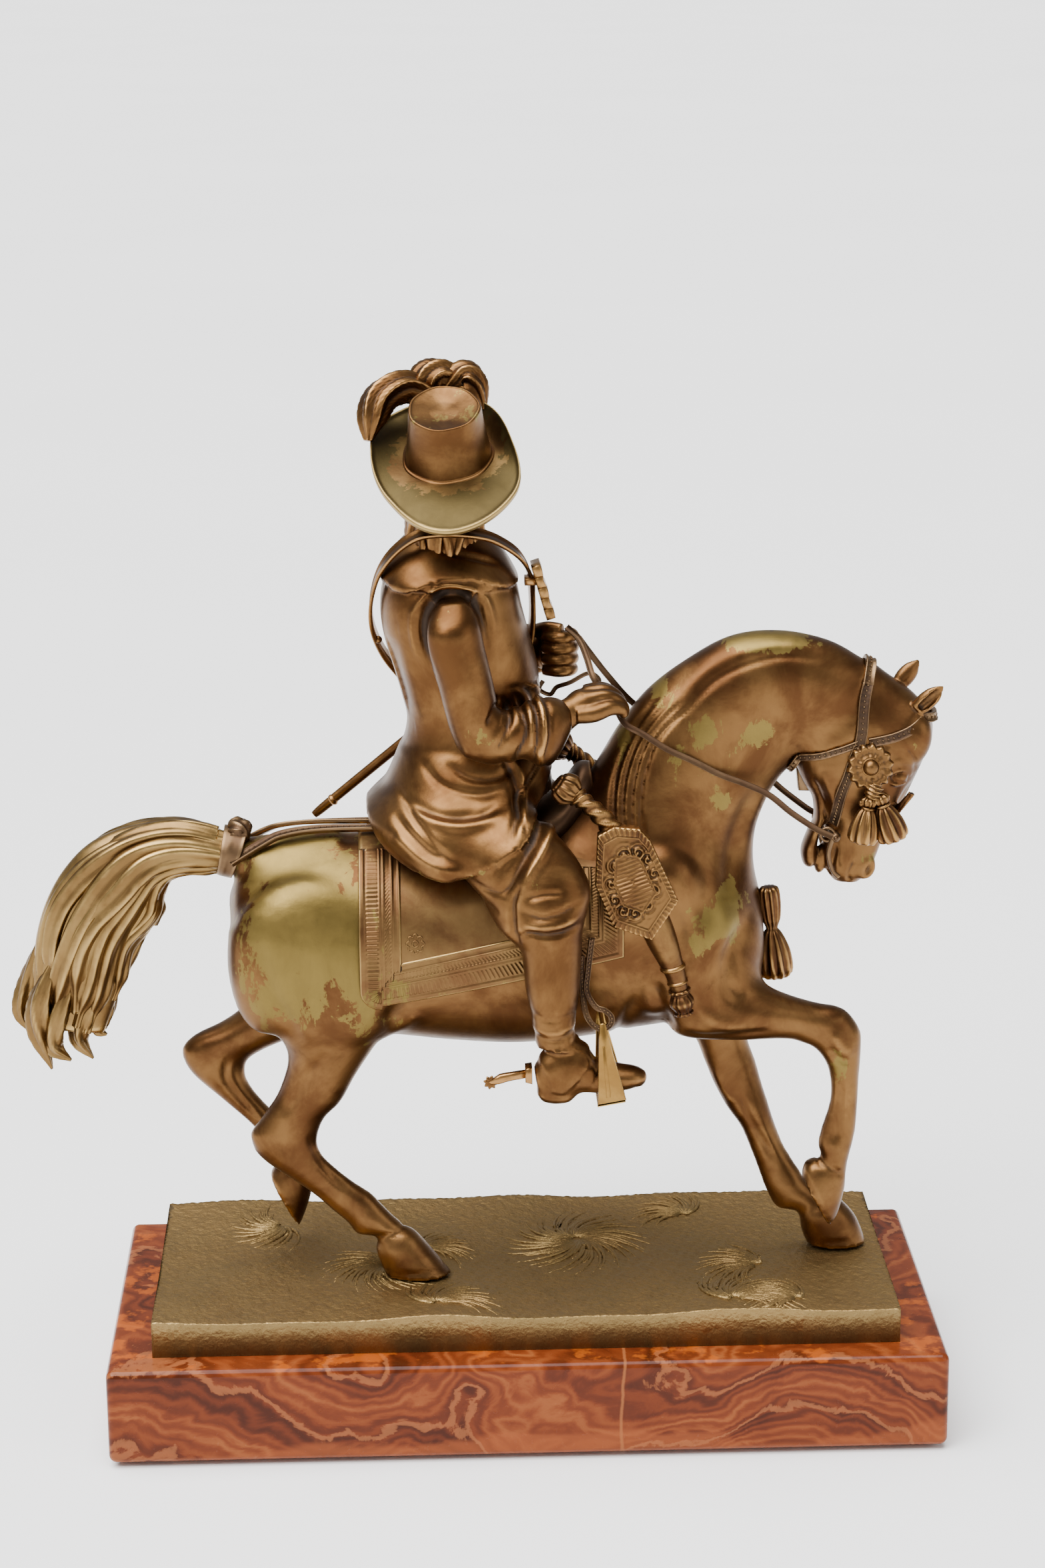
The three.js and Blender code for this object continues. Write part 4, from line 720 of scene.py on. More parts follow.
def prism(outline, y0, y1, edge=0.0):
    """Plate with an (x, z) outline between two depths, its rim bevelled by edge."""
    flat = np.asarray(outline, float)
    ahead = unit(np.roll(flat, -1, 0) - flat)
    beside = np.stack([-ahead[:, 1], ahead[:, 0]], 1)
    inner = unit(beside + np.roll(beside, 1, 0))
    if np.cross(flat, np.roll(flat, -1, 0)).sum() < 0:
        inner = -inner
    rings = [(edge, y0), (0, y0 + edge), (0, y1 - edge), (edge, y1)] if edge else [(0, y0), (0, y1)]
    grid = [np.insert(flat + inner * inset, 1, y, axis=1) for inset, y in rings]
    return tube(np.stack(grid))


# The bridle's straps cover the joint between the head and the body: this outline lies under them.
HEAD_SIDE = [
    [99, 190], [104, 246], [105, 256], [113.3, 257.4], [120.2, 259.9], [127.5, 262.5], [130.2, 278.4],
    [132.8, 296], [133.5, 315], [175, 315], [175, 190],
]


def add_neck_and_head(wax):
    """The forms that the body and the head share."""
    wax.add(loft(NECK, 60, 64, egg=-0.22), blend=7)
    wax.add(loft(HEAD, 90, 56, square=2.3), blend=3)
    wax.add(ball((119.5, 0, 252), (12.5, 12, 13.8)), blend=3)


def horse_body():
    """Trunk, dock, neck, legs and hoofs blended, cut off where the head starts, then relaxed."""
    wax = Volume((-146, -48, 50), (142, 48, 310), 1.25)
    wax.add(loft(TRUNK, 70, 72))
    wax.add(loft(DOCK, 24, 28), blend=6)
    add_neck_and_head(wax)
    for side in (-1, 1):
        wax.add(*(muscle(*m, side) for m in MUSCLES), blend=6)
    for leg, hoof in ((RIGHT_HIND, RIGHT_HIND_HOOF), (LEFT_HIND, LEFT_HIND_HOOF),
                      (RIGHT_FORE, RIGHT_FORE_HOOF), (LEFT_FORE, LEFT_FORE_HOOF)):
        wax.add(loft(leg, 90, 36), blend=5)
        wax.add(loft(hoof, 24, 36, square=2.2), blend=0.8)
    wax.cut(prism(HEAD_SIDE, -60, 60))
    strokes = HORSE_STROKES + MANE
    return carve(carve(relaxed(wax.form(), 2), strokes, (-60, -3)), strokes, (3, 60))


horse_form = horse_body()
# Where the brown has worn off the right side. The left side has worn alike, a little off these places.
RIGHT_BRASS = [
    (-82, 197, 30, 27, 1.15), (-84, 219, 30, 12, 1.0), (-88, 176, 20, 15, 0.95), (-62, 190, 16, 34, 1.0),
    (-95, 205, 14, 16, 0.9), (75, 198, 9, 9, 1.1), (67, 189, 6, 6, 0.8), (84, 203, 6, 6, 0.7),
    (79, 206, 8, 7, 0.9), (68, 268, 7, 9, 0.75), (90, 266, 9, 7, 0.8), (55, 283, 7, 8, 0.7),
    (77, 242, 6, 5, 0.7), (96, 303, 25, 5.5, 1.0), (122, 139, 5, 9, 0.5), (84, 262, 12, 12, 0.42),
    (78, 244, 10, 12, 0.42), (66, 262, 14, 12, 0.3), (88, 162, 9, 6, 0.35), (-92, 166, 12, 8, 0.6),
    (40, 262, 5, 16, 0.55),
]
LEFT_BRASS = [(x + 4, z - 3, long, high, 0.9 * strength) for x, z, long, high, strength in RIGHT_BRASS]
horse_worn = np.maximum(patches(horse_form.points, RIGHT_BRASS, (-80, 2)),
                        patches(horse_form.points, LEFT_BRASS, (2, 80)))
piece("horse_body", horse_form, horse_bronze, ["horse"], worn=horse_worn)

# %% [markdown]
# The head is the finest part of the horse, so its cells are half as large as the body's. Carving alone
# would leave the eyes flat. So the sockets and nostrils are cut, eyeballs are set in, and the lids, the
# brows and the bones of the cheek are laid round them as limbs of wax.

# %% Horse head
def ear(base, tip, y, spread):
    """Leaf-shaped cup that stands on the poll, hollow towards the front and the side."""
    (bx, bz), (tx, tz) = base, tip
    along = [(0.0, 2.9), (0.3, 3.7), (0.62, 3.3), (0.86, 1.7), (1.0, 0.3)]
    stations = [[bx + (tx - bx) * t, y + spread * t, bz + (tz - bz) * t, r] for t, r in along]
    side = np.sign(y)
    hollow = [[x + 1.1, yy + side * 1.4, z + 0.6, 0.55 * r] for x, yy, z, r in stations[:-1]]
    return lock(stations, 1, 0, sides=24, steps=26, flat=0.7), limb(hollow, 20, 22)


HEAD_STROKES = [
    (GROOVE, 1.2, 0.9, [[111, 249], [114, 242], [116, 236], [116.6, 231]]),
    (RIDGE, 1.8, 0.8, [[114.6, 252], [118, 244], [120.4, 236], [121, 231]]),
    (GROOVE, 1.3, 0.8, [[150, 246], [146, 239], [142, 231], [139.6, 224]]),
    (GROOVE, 1.2, 0.7, [[138, 243], [134, 236], [131, 228]]),
    (RIDGE, 1.4, 0.7, [[139, 262], [138, 254], [135, 244], [131, 236]]),
    (GROOVE, 1.1, 0.6, [[146, 261], [149.6, 256], [151, 250]]),
    (GROOVE, 1.1, 0.9, [[121, 221.5], [119.6, 214], [119.2, 207.5]]),
    (GROOVE, 0.9, 0.6, [[128, 216], [126, 210], [126.4, 206]]),
]


# Ears as foot, tip, depth at the foot and how far the tip leans out. They stand one behind the other.
EARS = [((150.4, 274.6), (160.4, 284), -8, -1.5), ((145.2, 280), (153.6, 289.8), 7.5, 1.5)]


def horse_head():
    """Neck and head again in fine cells, with jaw, eyes, nostrils and ears, and without the neck."""
    wax = Volume((92, -24, 198), (168, 24, 312), 0.6)
    add_neck_and_head(wax)
    wax.add(loft(JAW, 50, 36), blend=1.4)
    for side in (-1, 1):
        wax.add(ball((150.5, side * 8.2, 263), (5.5, 4.4, 8.5), (0, 10, 0)), blend=4)
        cheek_bone = [[149, side * 11.4, 243, 1.6], [144.5, side * 9.8, 236, 1.5], [141, side * 8, 229, 1.1]]
        upper_lid = [[139.2, side * 11.5, 249, 0.6], [142, side * 12.1, 251.6, 1.0],
                     [145.6, side * 11.1, 251.9, 1.0], [148.8, side * 8.4, 249.4, 0.7]]
        lower_lid = [[139.4, side * 11.4, 248.2, 0.5], [142.6, side * 11.6, 246.1, 0.65],
                     [147, side * 9.8, 246.5, 0.5]]
        brow = [[138, side * 11.6, 253, 0.8], [143, side * 12, 255.4, 1.2], [149, side * 9.4, 254.6, 0.9]]
        wax.add(limb(cheek_bone), blend=3)
        wax.cut(ball((144.2, side * 12.8, 249), (4.8, 2.4, 3.4), (0, 10, 0)), blend=1.6)
        wax.add(ball((144, side * 9.9, 248.8), (3.4, 2.2, 2.5)), blend=0.4)
        for rows, blend in ((upper_lid, 0.8), (lower_lid, 0.7), (brow, 1.6)):
            wax.add(limb(rows), blend=blend)
        wax.add(ball((132.8, side * 5.9, 211.6), (3.6, 2.3, 4.6), (0, 15, 0)), blend=2)
        wax.cut(ball((133.6, side * 8.5, 211.2), (1.2, 1.9, 3.0), (0, 25, 0)), blend=1)
    for one in EARS:
        cup, hollow = ear(*one)
        wax.add(cup, blend=1.5)
        wax.cut(hollow, blend=0.6)
    wax.add(ball((116, 0, 214), (2.6, 3.4, 6), (0, 8, 0)), blend=0.6)
    wax.cut(prism([[60, 150], [60, 320], *HEAD_SIDE[8:0:-1], [98.5, 150]], -60, 60))
    return carve(carve(relaxed(wax.form(), 2), HEAD_STROKES, (-30, -3)), HEAD_STROKES, (3, 30))


horse_head_form = horse_head()
NOSE_AND_BROW_BRASS = [(135, 216, 3, 3, 0.4), (150, 262, 5, 7, 0.35)]
piece("horse_head", horse_head_form, horse_bronze, ["horse"],
      worn=patches(horse_head_form.points, NOSE_AND_BROW_BRASS))

# %% [markdown]
# The tail is hair in heavy locks. Each lock starts at the dock and follows the fall of the whole tail
# at its own distance from the outer edge, waving as it goes, and its tube is grooved into strands.

# %% Tail
TAIL = [
    [-107, 226.5, -110.5, 215, 0, 6.3], [-114, 229, -115.5, 214.2, 0, 7.3],
    [-121, 231.3, -120.5, 213.3, 0, 8.4],
    [-131, 233.2, -129.5, 212.6, 0, 10], [-143, 232.4, -136.5, 209.5, 0, 12],
    [-155, 229.5, -139.5, 203, 0, 13.5],
    [-166, 223.5, -139.5, 195.5, 0, 14.5], [-175.5, 213, -142.5, 189, 0, 14.5],
    [-182, 201, -147.5, 182.5, 0, 14], [-186, 188, -151.8, 173.5, 0, 13],
    [-187.5, 176, -155.2, 164.5, 0, 11.5], [-188.5, 163, -158.5, 156, 0, 9.5],
    [-187, 152, -161.5, 148.5, 0, 7],
]
# Locks: start and end along the tail, start and end across it from the outer edge, depth, thickness.
FALLS = [
    (0.0, 0.98, 0.30, 0.10, 0.35, 4.6), (0.0, 1.0, 0.42, 0.34, 0.9, 5.2), (0.0, 0.92, 0.55, 0.52, 1.0, 5.4),
    (0.0, 1.0, 0.68, 0.74, 0.8, 5.0), (0.0, 0.72, 0.80, 0.90, 0.5, 4.4), (0.1, 0.9, 0.2, 0.22, 0.8, 4.6),
    (0.25, 0.97, 0.6, 0.62, 1.0, 4.4), (0.15, 0.55, 0.78, 0.97, 0.4, 4.0), (0.3, 0.86, 0.85, 0.92, 0.55, 3.8),
]
# The free ends of locks below them: x, z, depth and radius at each station.
TIPS = [
    [[-184, 185, 3, 5], [-190, 168, 5, 4.6], [-194, 156, 4.6, 3], [-191.6, 148.4, 4, 0.5]],
    [[-179, 178, -5, 5], [-185, 163, -6, 5.2], [-186, 150, -5.4, 4], [-182, 135, -4, 0.5]],
    [[-172, 172, -4, 5.6], [-179, 156, -5.5, 5], [-181, 145, -5, 3.6], [-174.5, 138.4, -4, 0.6]],
    [[-163, 172, -3, 5], [-168, 158, -2, 5], [-171.5, 146, 0, 3.4], [-166.4, 137.2, 1, 0.5]],
    [[-158, 170, 2, 4.4], [-160, 158, 2.5, 3.8], [-164, 149, 2.4, 2.6], [-160.8, 146.4, 2, 0.5]],
    [[-176, 176, 6, 5.6], [-182, 160, 6, 5], [-183, 148, 5, 3.6], [-178, 139.5, 4, 0.6]],
]


def fall(start, end, near, far, deep, thick, side, phase):
    """One lock along the tail: place = outer + share * (inner - outer). The share sways, and the lock
    lies proud of the tail's middle by side * deep * 0.62 * half width * sin(pi share)."""
    t = np.linspace(start, end, 14)
    s = np.linspace(0, 1, 14)
    ax, az, bx, bz, _, half = rows_at(TAIL, t).T
    share = near + (far - near) * s + 0.05 * np.sin(2 * np.pi * (1.6 * s + phase)) * s
    x, z = ax + (bx - ax) * share, az + (bz - az) * share
    y = side * deep * 0.62 * half * np.sin(np.pi * np.clip(share, 0.12, 0.88))
    r = thick * (0.55 + 0.55 * np.sin(np.pi * np.clip(0.15 + 0.75 * s, 0, 1))) * np.where(s > 0.9, 0.5, 1)
    return lock(np.stack([x, y, z, r], 1), 5, 0.13, 0.25 * side, sides=32, steps=70)


def tip(rows):
    """A free end. Its first stations are thinner, so that it leaves the tail without a step."""
    stations = [[x, y, z, radius * min(1, 0.42 + 0.42 * k)] for k, (x, z, y, radius) in enumerate(rows)]
    return lock(stations, 5, 0.14, 0.3, sides=36, steps=40)


def tail_form():
    core = loft([[*row[:5], 0.6 * row[5]] for row in TAIL], 60, 40)
    falls = [fall(*row, side, 0.37 * k + 0.2 * side) for side in (-1, 1) for k, row in enumerate(FALLS)]
    return merge(core, *falls, *(tip(rows) for rows in TIPS))


piece("tail_hair", tail_form(), tail_bronze, ["tail"])

# %% [markdown]
# The rider's coat, breeches, boots and sleeves are one casting, so they share one volume. Cloth folds
# could come from a simulation, but a sculptor chose these, so the folds are strokes, and the hem of the
# coat is laid over the breeches with a real edge.

# %% Rider outline
TORSO = [
    [-15, 341, -40, 340, 0, 11], [-8, 333, -46, 332, 0, 17], [-2, 325, -49.5, 324, 0, 22.5],
    [0, 316, -50.2, 314, 0, 24.5], [2.5, 306, -48.7, 304, 0, 24.5], [5.5, 295, -45.5, 293, 0, 24],
    [6.8, 284, -42.8, 283, 0, 23], [7, 274, -40.8, 273, 0, 22.5], [8.5, 264, -43, 262, 0, 24],
    [11.5, 254, -47, 251.5, 0, 28], [13, 246, -50.5, 243.5, 0, 31],
]
SKIRT = [
    [9, 262, -43.5, 260, 0, 25], [12, 252, -49, 248, 0, 31], [13.5, 243.5, -55, 242.5, 0, 36],
    [12.5, 237, -58.7, 237.5, 0, 39.5], [7, 231, -56.8, 232, 0, 41.5], [-1, 226.5, -52.5, 227, 0, 42.5],
    [-12, 222, -45, 223, 0, 43], [-22, 219.6, -35, 219.8, 0, 42],
]
CAPE = [
    [-12, 343, -41, 342, 0, 12.5], [-6, 336, -47.5, 335, 0, 19], [-1.8, 328.6, -51, 328.8, 0, 24.6],
    [-1, 325.8, -51.2, 326.6, 0, 25.6],
]
LEG = [
    [-6, 250, -34, 232, -22, 15], [3, 245, -25, 223, -32, 14], [12, 238, -15.5, 212, -40, 13.4],
    [20, 229, -11.5, 206, -44.5, 13], [24.8, 219, -9, 202.5, -46.8, 12.4],
    [24, 211.5, -5.4, 199, -47.5, 11.5],
    [22, 203, -1.5, 195, -47.8, 10.5], [21.4, 193, -0.4, 188, -47.8, 10], [20.7, 181, 0.4, 179.5, -47.8, 9.4],
    [19.5, 171, 2.2, 171, -47.8, 8.7], [18.8, 164, 3.2, 164, -47.8, 8], [19.8, 157, 4.2, 157, -47.8, 7.4],
]
FOOT = [
    [3.2, 149, 5, 138, -47.8, 4.2], [8, 155, 7.6, 135, -47.8, 6], [14, 159, 15.5, 134.6, -47.8, 6.8],
    [22, 157.5, 20.5, 138.6, -47.8, 6.6], [28, 151.4, 28.5, 138.6, -47.8, 6.6],
    [36, 149, 36, 139.6, -47.8, 6.7], [42, 147.8, 42.5, 140.8, -47.8, 5.6],
    [45.9, 145.6, 45.6, 142, -47.8, 2.6],
]
UPPER_ARM = [
    [-17, 325, -32, 323.5, -25, 8], [-14.5, 317, -36, 314.5, -30, 10.5],
    [-13.2, 307.5, -35, 305.5, -31, 10.5],
    [-10.5, 295.5, -31, 294, -31.5, 10], [-9, 287, -28.5, 284, -32, 9.5], [-8, 280, -26, 274.5, -32, 9.5],
    [-9, 273, -22.5, 267, -31.5, 8.8], [-12, 268, -17, 264.8, -31, 6],
]
FOREARM = [
    [-22, 275, -20, 266, -31.5, 7], [-14, 281, -15, 263, -31, 9], [-7, 283, -8, 262.3, -30.5, 9.5],
    [1, 285, 1, 264, -30, 9.3], [2.8, 286.6, 6.5, 260.6, -29.5, 11], [8.5, 287, 11, 261, -28.5, 10.8],
    [14, 286, 15, 266, -27.5, 8.8], [18.7, 282.5, 19, 274, -26, 5.5],
]
# The left arm hangs away from the trunk, so it is round limbs: x, y, z and radius.
LEFT_UPPER = [
    [-26, 20, 319, 9], [-26, 30, 312, 11], [-25, 42, 300, 10.5], [-23, 49, 291, 9.5], [-19, 49, 286, 7],
]
LEFT_FOREARM = [
    [-27, 49, 291, 7], [-17, 46, 289.5, 9.5], [-4, 36, 290, 9.5], [4, 28, 291, 10.4], [9, 22, 292, 8],
]
# Edges of the clothes in the side view: coat hem, collar, spur leather and boot sole.
HEM = [
    [-72, 246], [-59.7, 244.4], [-58, 238.4], [-54.5, 231.5], [-49.5, 226.4], [-44.5, 223.3], [-40.1, 221.4],
    [-38.6, 222.9], [-37.2, 221.2], [-32.9, 220], [-26.3, 219.9], [-21.2, 221.3], [-16.1, 224.7],
    [-8.6, 229.7],
    [-2.3, 234.1], [1.9, 236.8], [4.6, 241.6], [8.4, 246.9], [12.2, 254.6], [13.4, 261], [12.8, 266.8],
    [24, 268], [24, 352], [-72, 352],
]
COLLAR = [
    [-60, 329], [-49.6, 328.1], [-46.5, 325.5], [-42.8, 325.1], [-38.5, 326.6], [-34.2, 328.5], [-29.3, 330],
    [-24.4, 330.7], [-18.9, 330.6], [-13.3, 329.5], [-9.7, 327.8], [-6, 326.2], [-2.6, 325.5], [8, 326],
    [8, 352], [-60, 352],
]
SPUR_LEATHER = [
    [4.6, 152.9], [6.2, 155.1], [10.4, 157.2], [13.3, 157.1], [17.9, 157.9], [20, 161.4], [22.1, 160],
    [25, 155.1], [25, 152], [21.6, 148.1], [17.9, 142.4], [14.1, 139.5], [9.9, 140.4], [9.1, 143.9],
]
SOLE = [
    [0, 133], [50, 137], [50, 141.6], [26, 139.9], [19.5, 139.4], [18.9, 137.4], [8, 137.4], [5, 139.6],
    [0, 139.6],
]


def other_side(rows):
    return [[ax, az, bx, bz, -y, half] for ax, az, bx, bz, y, half in rows]


def rider_body():
    """Coat over breeches: the coat is a layer laid on the trunk and thighs inside its outline, then
    the sleeves come on top of it."""
    wax, coat = (Volume((-64, -60, 130), (52, 62, 352), 1.0) for _ in range(2))
    wax.add(loft(TORSO, 60, 56, square=2.4))
    for rows in (LEG, other_side(LEG)):
        wax.add(loft(rows, 70, 40), blend=4)
    for rows in (FOOT, other_side(FOOT)):
        wax.add(loft(rows, 40, 36), blend=1.5)
    coat.field = wax.field.copy()
    coat.add(loft(SKIRT + [[-22, 208, -35, 208, 0, 42.5]], 50, 90, square=2.2), blend=4)
    wax.dress(prism(HEM, -60, 60), 1.4, coat)
    wax.add(loft(CAPE, 30, 56, square=2.4), blend=1)
    wax.dress(prism(COLLAR, -34, 34), 1.3)
    wax.add(loft(UPPER_ARM, 44, 36), blend=1.6)
    wax.add(loft(FOREARM, 44, 40), blend=2)
    for rows in (LEFT_UPPER, LEFT_FOREARM):
        wax.add(limb(rows), blend=2)
    for y0, y1 in ((-60, -40), (40, 60)):
        wax.dress(prism(SPUR_LEATHER, y0, y1), 0.9)
        wax.dress(prism(SOLE, y0, y1), 0.6)
    neck = [[-27, 0, 350, 8.6], [-27, 0, 330, 10]]
    wax.add(limb(neck), blend=2)
    return relaxed(wax.form(), 2)


# Seams and folds of the coat and the sleeve in the side view.
ARMHOLE = [
    [-31.9, 297.8], [-34, 302.3], [-35.5, 307.4], [-36, 311.8], [-35.6, 316.8], [-33.7, 321.2],
    [-29.4, 325.5],
    [-24.5, 326.7], [-19.6, 325.4], [-16, 322.2], [-13.9, 317.1], [-12.7, 311.5], [-11.8, 306.4],
]
ARMHOLE_EDGE = [
    [-32.2, 293.4], [-35.9, 299.3], [-38.6, 303.8], [-39.7, 308.9], [-40.1, 313.9], [-39.3, 318.9],
    [-35.5, 323.9], [-31.2, 327.8], [-25.7, 328.9], [-20.7, 327.9], [-15.8, 326.3], [-12.2, 323.1],
    [-10.4, 318], [-9.4, 313], [-9.6, 306],
]
CUFF_ROLL = [[-1.6, 289], [4.2, 288.3], [7.5, 284.5], [8.4, 278.8], [8.1, 273], [6.8, 267.3], [7.7, 262]]
COAT_STROKES = [
    (GROOVE, 1.1, 1.9, ARMHOLE), (RIDGE, 1.0, 0.75, ARMHOLE_EDGE),
    (GROOVE, 1.2, 1.1, [[-8.9, 286.7], [-10.5, 283.6], [-13, 279.2]]),
    (GROOVE, 1.2, 1.1, [[-4, 284.5], [-5, 279.1], [-7.5, 273.4], [-9.4, 269]]),
    (GROOVE, 1.1, 1.3, [[-2.6, 288], [0.8, 281.2], [1.1, 275.4], [-0.8, 269.1], [-2.1, 264]]),
    (GROOVE, 1.0, 0.7, [[-6.8, 286.4], [-5, 282.2], [-5.6, 277.8]]),
    (RIDGE, 1.1, 1.2, CUFF_ROLL), (GROOVE, 1.0, 1.3, [[x - 2.6, z] for x, z in CUFF_ROLL]),
    (GROOVE, 0.8, 0.5, [[x + 2.2, z] for x, z in CUFF_ROLL]),
    (FOLD, 3.2, 0.7, [[-44.7, 308], [-43.9, 297.2], [-41.6, 287.6], [-39.8, 276]]),
    (GROOVE, 1.6, 1.3, [[-44, 248], [-33, 244.5], [-23.8, 243.7], [-15.7, 244.8], [-8, 247.5]]),
    (RIDGE, 2.0, 1.2, [[-42, 244.6], [-26.9, 241], [-17.6, 241.6], [-6, 245]]),
    (GROOVE, 1.9, 1.2, [[-48, 243], [-43.7, 238.8], [-38.2, 234.2], [-33.3, 230.8], [-24, 228]]),
    (RIDGE, 2.2, 1.0, [[-48, 236], [-44.4, 233.6], [-38.3, 229], [-30.2, 225.6], [-18, 223.6]]),
    (GROOVE, 1.4, 0.9, [[-46, 250], [-34.8, 236.3], [-28, 230]]),
    (FOLD, 1.4, 0.9, [[-7, 266], [-2, 258], [0, 250], [-1.5, 243], [-4, 237]]),
    (GROOVE, 1.0, 1.0, [[12.9, 266.2], [8, 259.9], [1.7, 252.9], [-2, 249.1], [-0.9, 244.5], [1.9, 239]]),
    (GROOVE, 1.5, 0.8, [[-28, 262], [-20, 257], [-10, 256], [-2, 260]]),
    (GROOVE, 1.6, 0.7, [[-38, 262], [-30, 254], [-16, 251], [-6, 253]]),
    (GROOVE, 0.9, 0.8, [[-28.4, 340], [-24.1, 339.3], [-19.2, 338.3], [-13.7, 336.8], [-6, 334]]),
]
SKIRT_STROKES = COAT_STROKES[9:15]
# Folds of the breeches and of the boots, the same on both legs.
LEG_STROKES = [
    (RIDGE, 1.9, 1.7, [[14.6, 256], [14.1, 246], [10.1, 238.6], [5.7, 231.6], [1.3, 224.9], [-4.4, 212]]),
    (GROOVE, 1.7, 1.5, [[9, 246], [5.5, 240], [0.5, 232.5], [-4, 225], [-8, 216]]),
    (GROOVE, 1.4, 1.7, [[-1, 223], [-4.1, 216.5], [-4.6, 210.5], [-4.2, 204.3], [-2, 197.5]]),
    (GROOVE, 1.2, 0.9, [[-2, 213.5], [5.1, 210.8], [10.9, 211.5], [16, 213.3], [21, 216]]),
    (GROOVE, 1.3, 0.8, [[0.5, 217.5], [7.3, 219.4], [14.8, 219.4]]),
    (GROOVE, 1.3, 1.3, [[-3, 201.6], [1.5, 204.4], [7.3, 203.9], [13.8, 204.6], [22, 207]]),
    (RIDGE, 1.5, 0.9, [[-1, 207.8], [6, 207.2], [14, 208], [21, 211]]),
    (GROOVE, 1.4, 0.9, [[-24.9, 219.8], [-19.1, 215.1], [-14.7, 212.7], [-9, 210]]),
    (GROOVE, 1.3, 0.8, [[-20.5, 221.3], [-14.7, 218.9], [-8.9, 218.8], [-3.7, 224]]),
    (GROOVE, 1.3, 0.6, [[2, 163.5], [8, 161.6], [14, 162.4], [19.8, 164.6]]),
    (RIDGE, 1.3, 0.5, [[2, 166], [8, 164.4], [14, 165], [19.8, 167]]),
    (GROOVE, 1.4, 0.5, [[1.5, 172], [9, 169.6], [19.6, 171.5]]),
    (GROOVE, 2.2, 0.5, [[8, 196], [9.6, 186], [8.6, 176], [9, 168]]),
    (GROOVE, 0.7, 0.6, [[22, 157.5], [26.4, 152.8], [27, 147], [24.6, 140.5]]),
]
SLEEVE_AND_KNEE_BRASS = [(-24, 316, 9, 12, 0.35), (-16, 276, 8, 9, 0.3), (8, 226, 10, 14, 0.25)]
OUTER_SKIRT = 24


def hem_worn(points):
    """The hem shows brass: exp(-((z - hem height at x) / 1.6) squared), on the outer skirt only."""
    hem_x, hem_z = np.array(HEM[1:21], float).T
    near_hem = np.exp(-((points[:, 2] - np.interp(points[:, 0], hem_x, hem_z)) / 1.6) ** 2)
    return 0.55 * near_hem * (np.abs(points[:, 1]) > OUTER_SKIRT)


rider_form = rider_body()
for strokes, depths in ((COAT_STROKES, (-70, -9)), (SKIRT_STROKES, (12, 70)),
                        (LEG_STROKES, (-70, -18)), (LEG_STROKES, (18, 70))):
    rider_form = carve(rider_form, strokes, depths)
rider_worn = np.maximum(patches(rider_form.points, SLEEVE_AND_KNEE_BRASS, (-80, 0)),
                        hem_worn(rider_form.points))
piece("rider_body", rider_form, rider_bronze, ["rider"], worn=rider_worn)

# %% [markdown]
# The head turns to the rider's left, so the camera sees hair. Its face follows the usual proportions:
# eyes halfway down, the nose halfway from the brow to the chin, and the mouth a third below the nose.
# Points of the head are counted to its own right, forwards and up from its middle.

# %% Rider's head
HEAD_MIDDLE = np.array([-27, -0.5, 357.0])


def on_head(rows):
    """Rows right, forward, up and perhaps a radius, as rows x, y, z and radius."""
    rows = np.array(rows, float)
    rows[:, :3] += HEAD_MIDDLE
    return rows


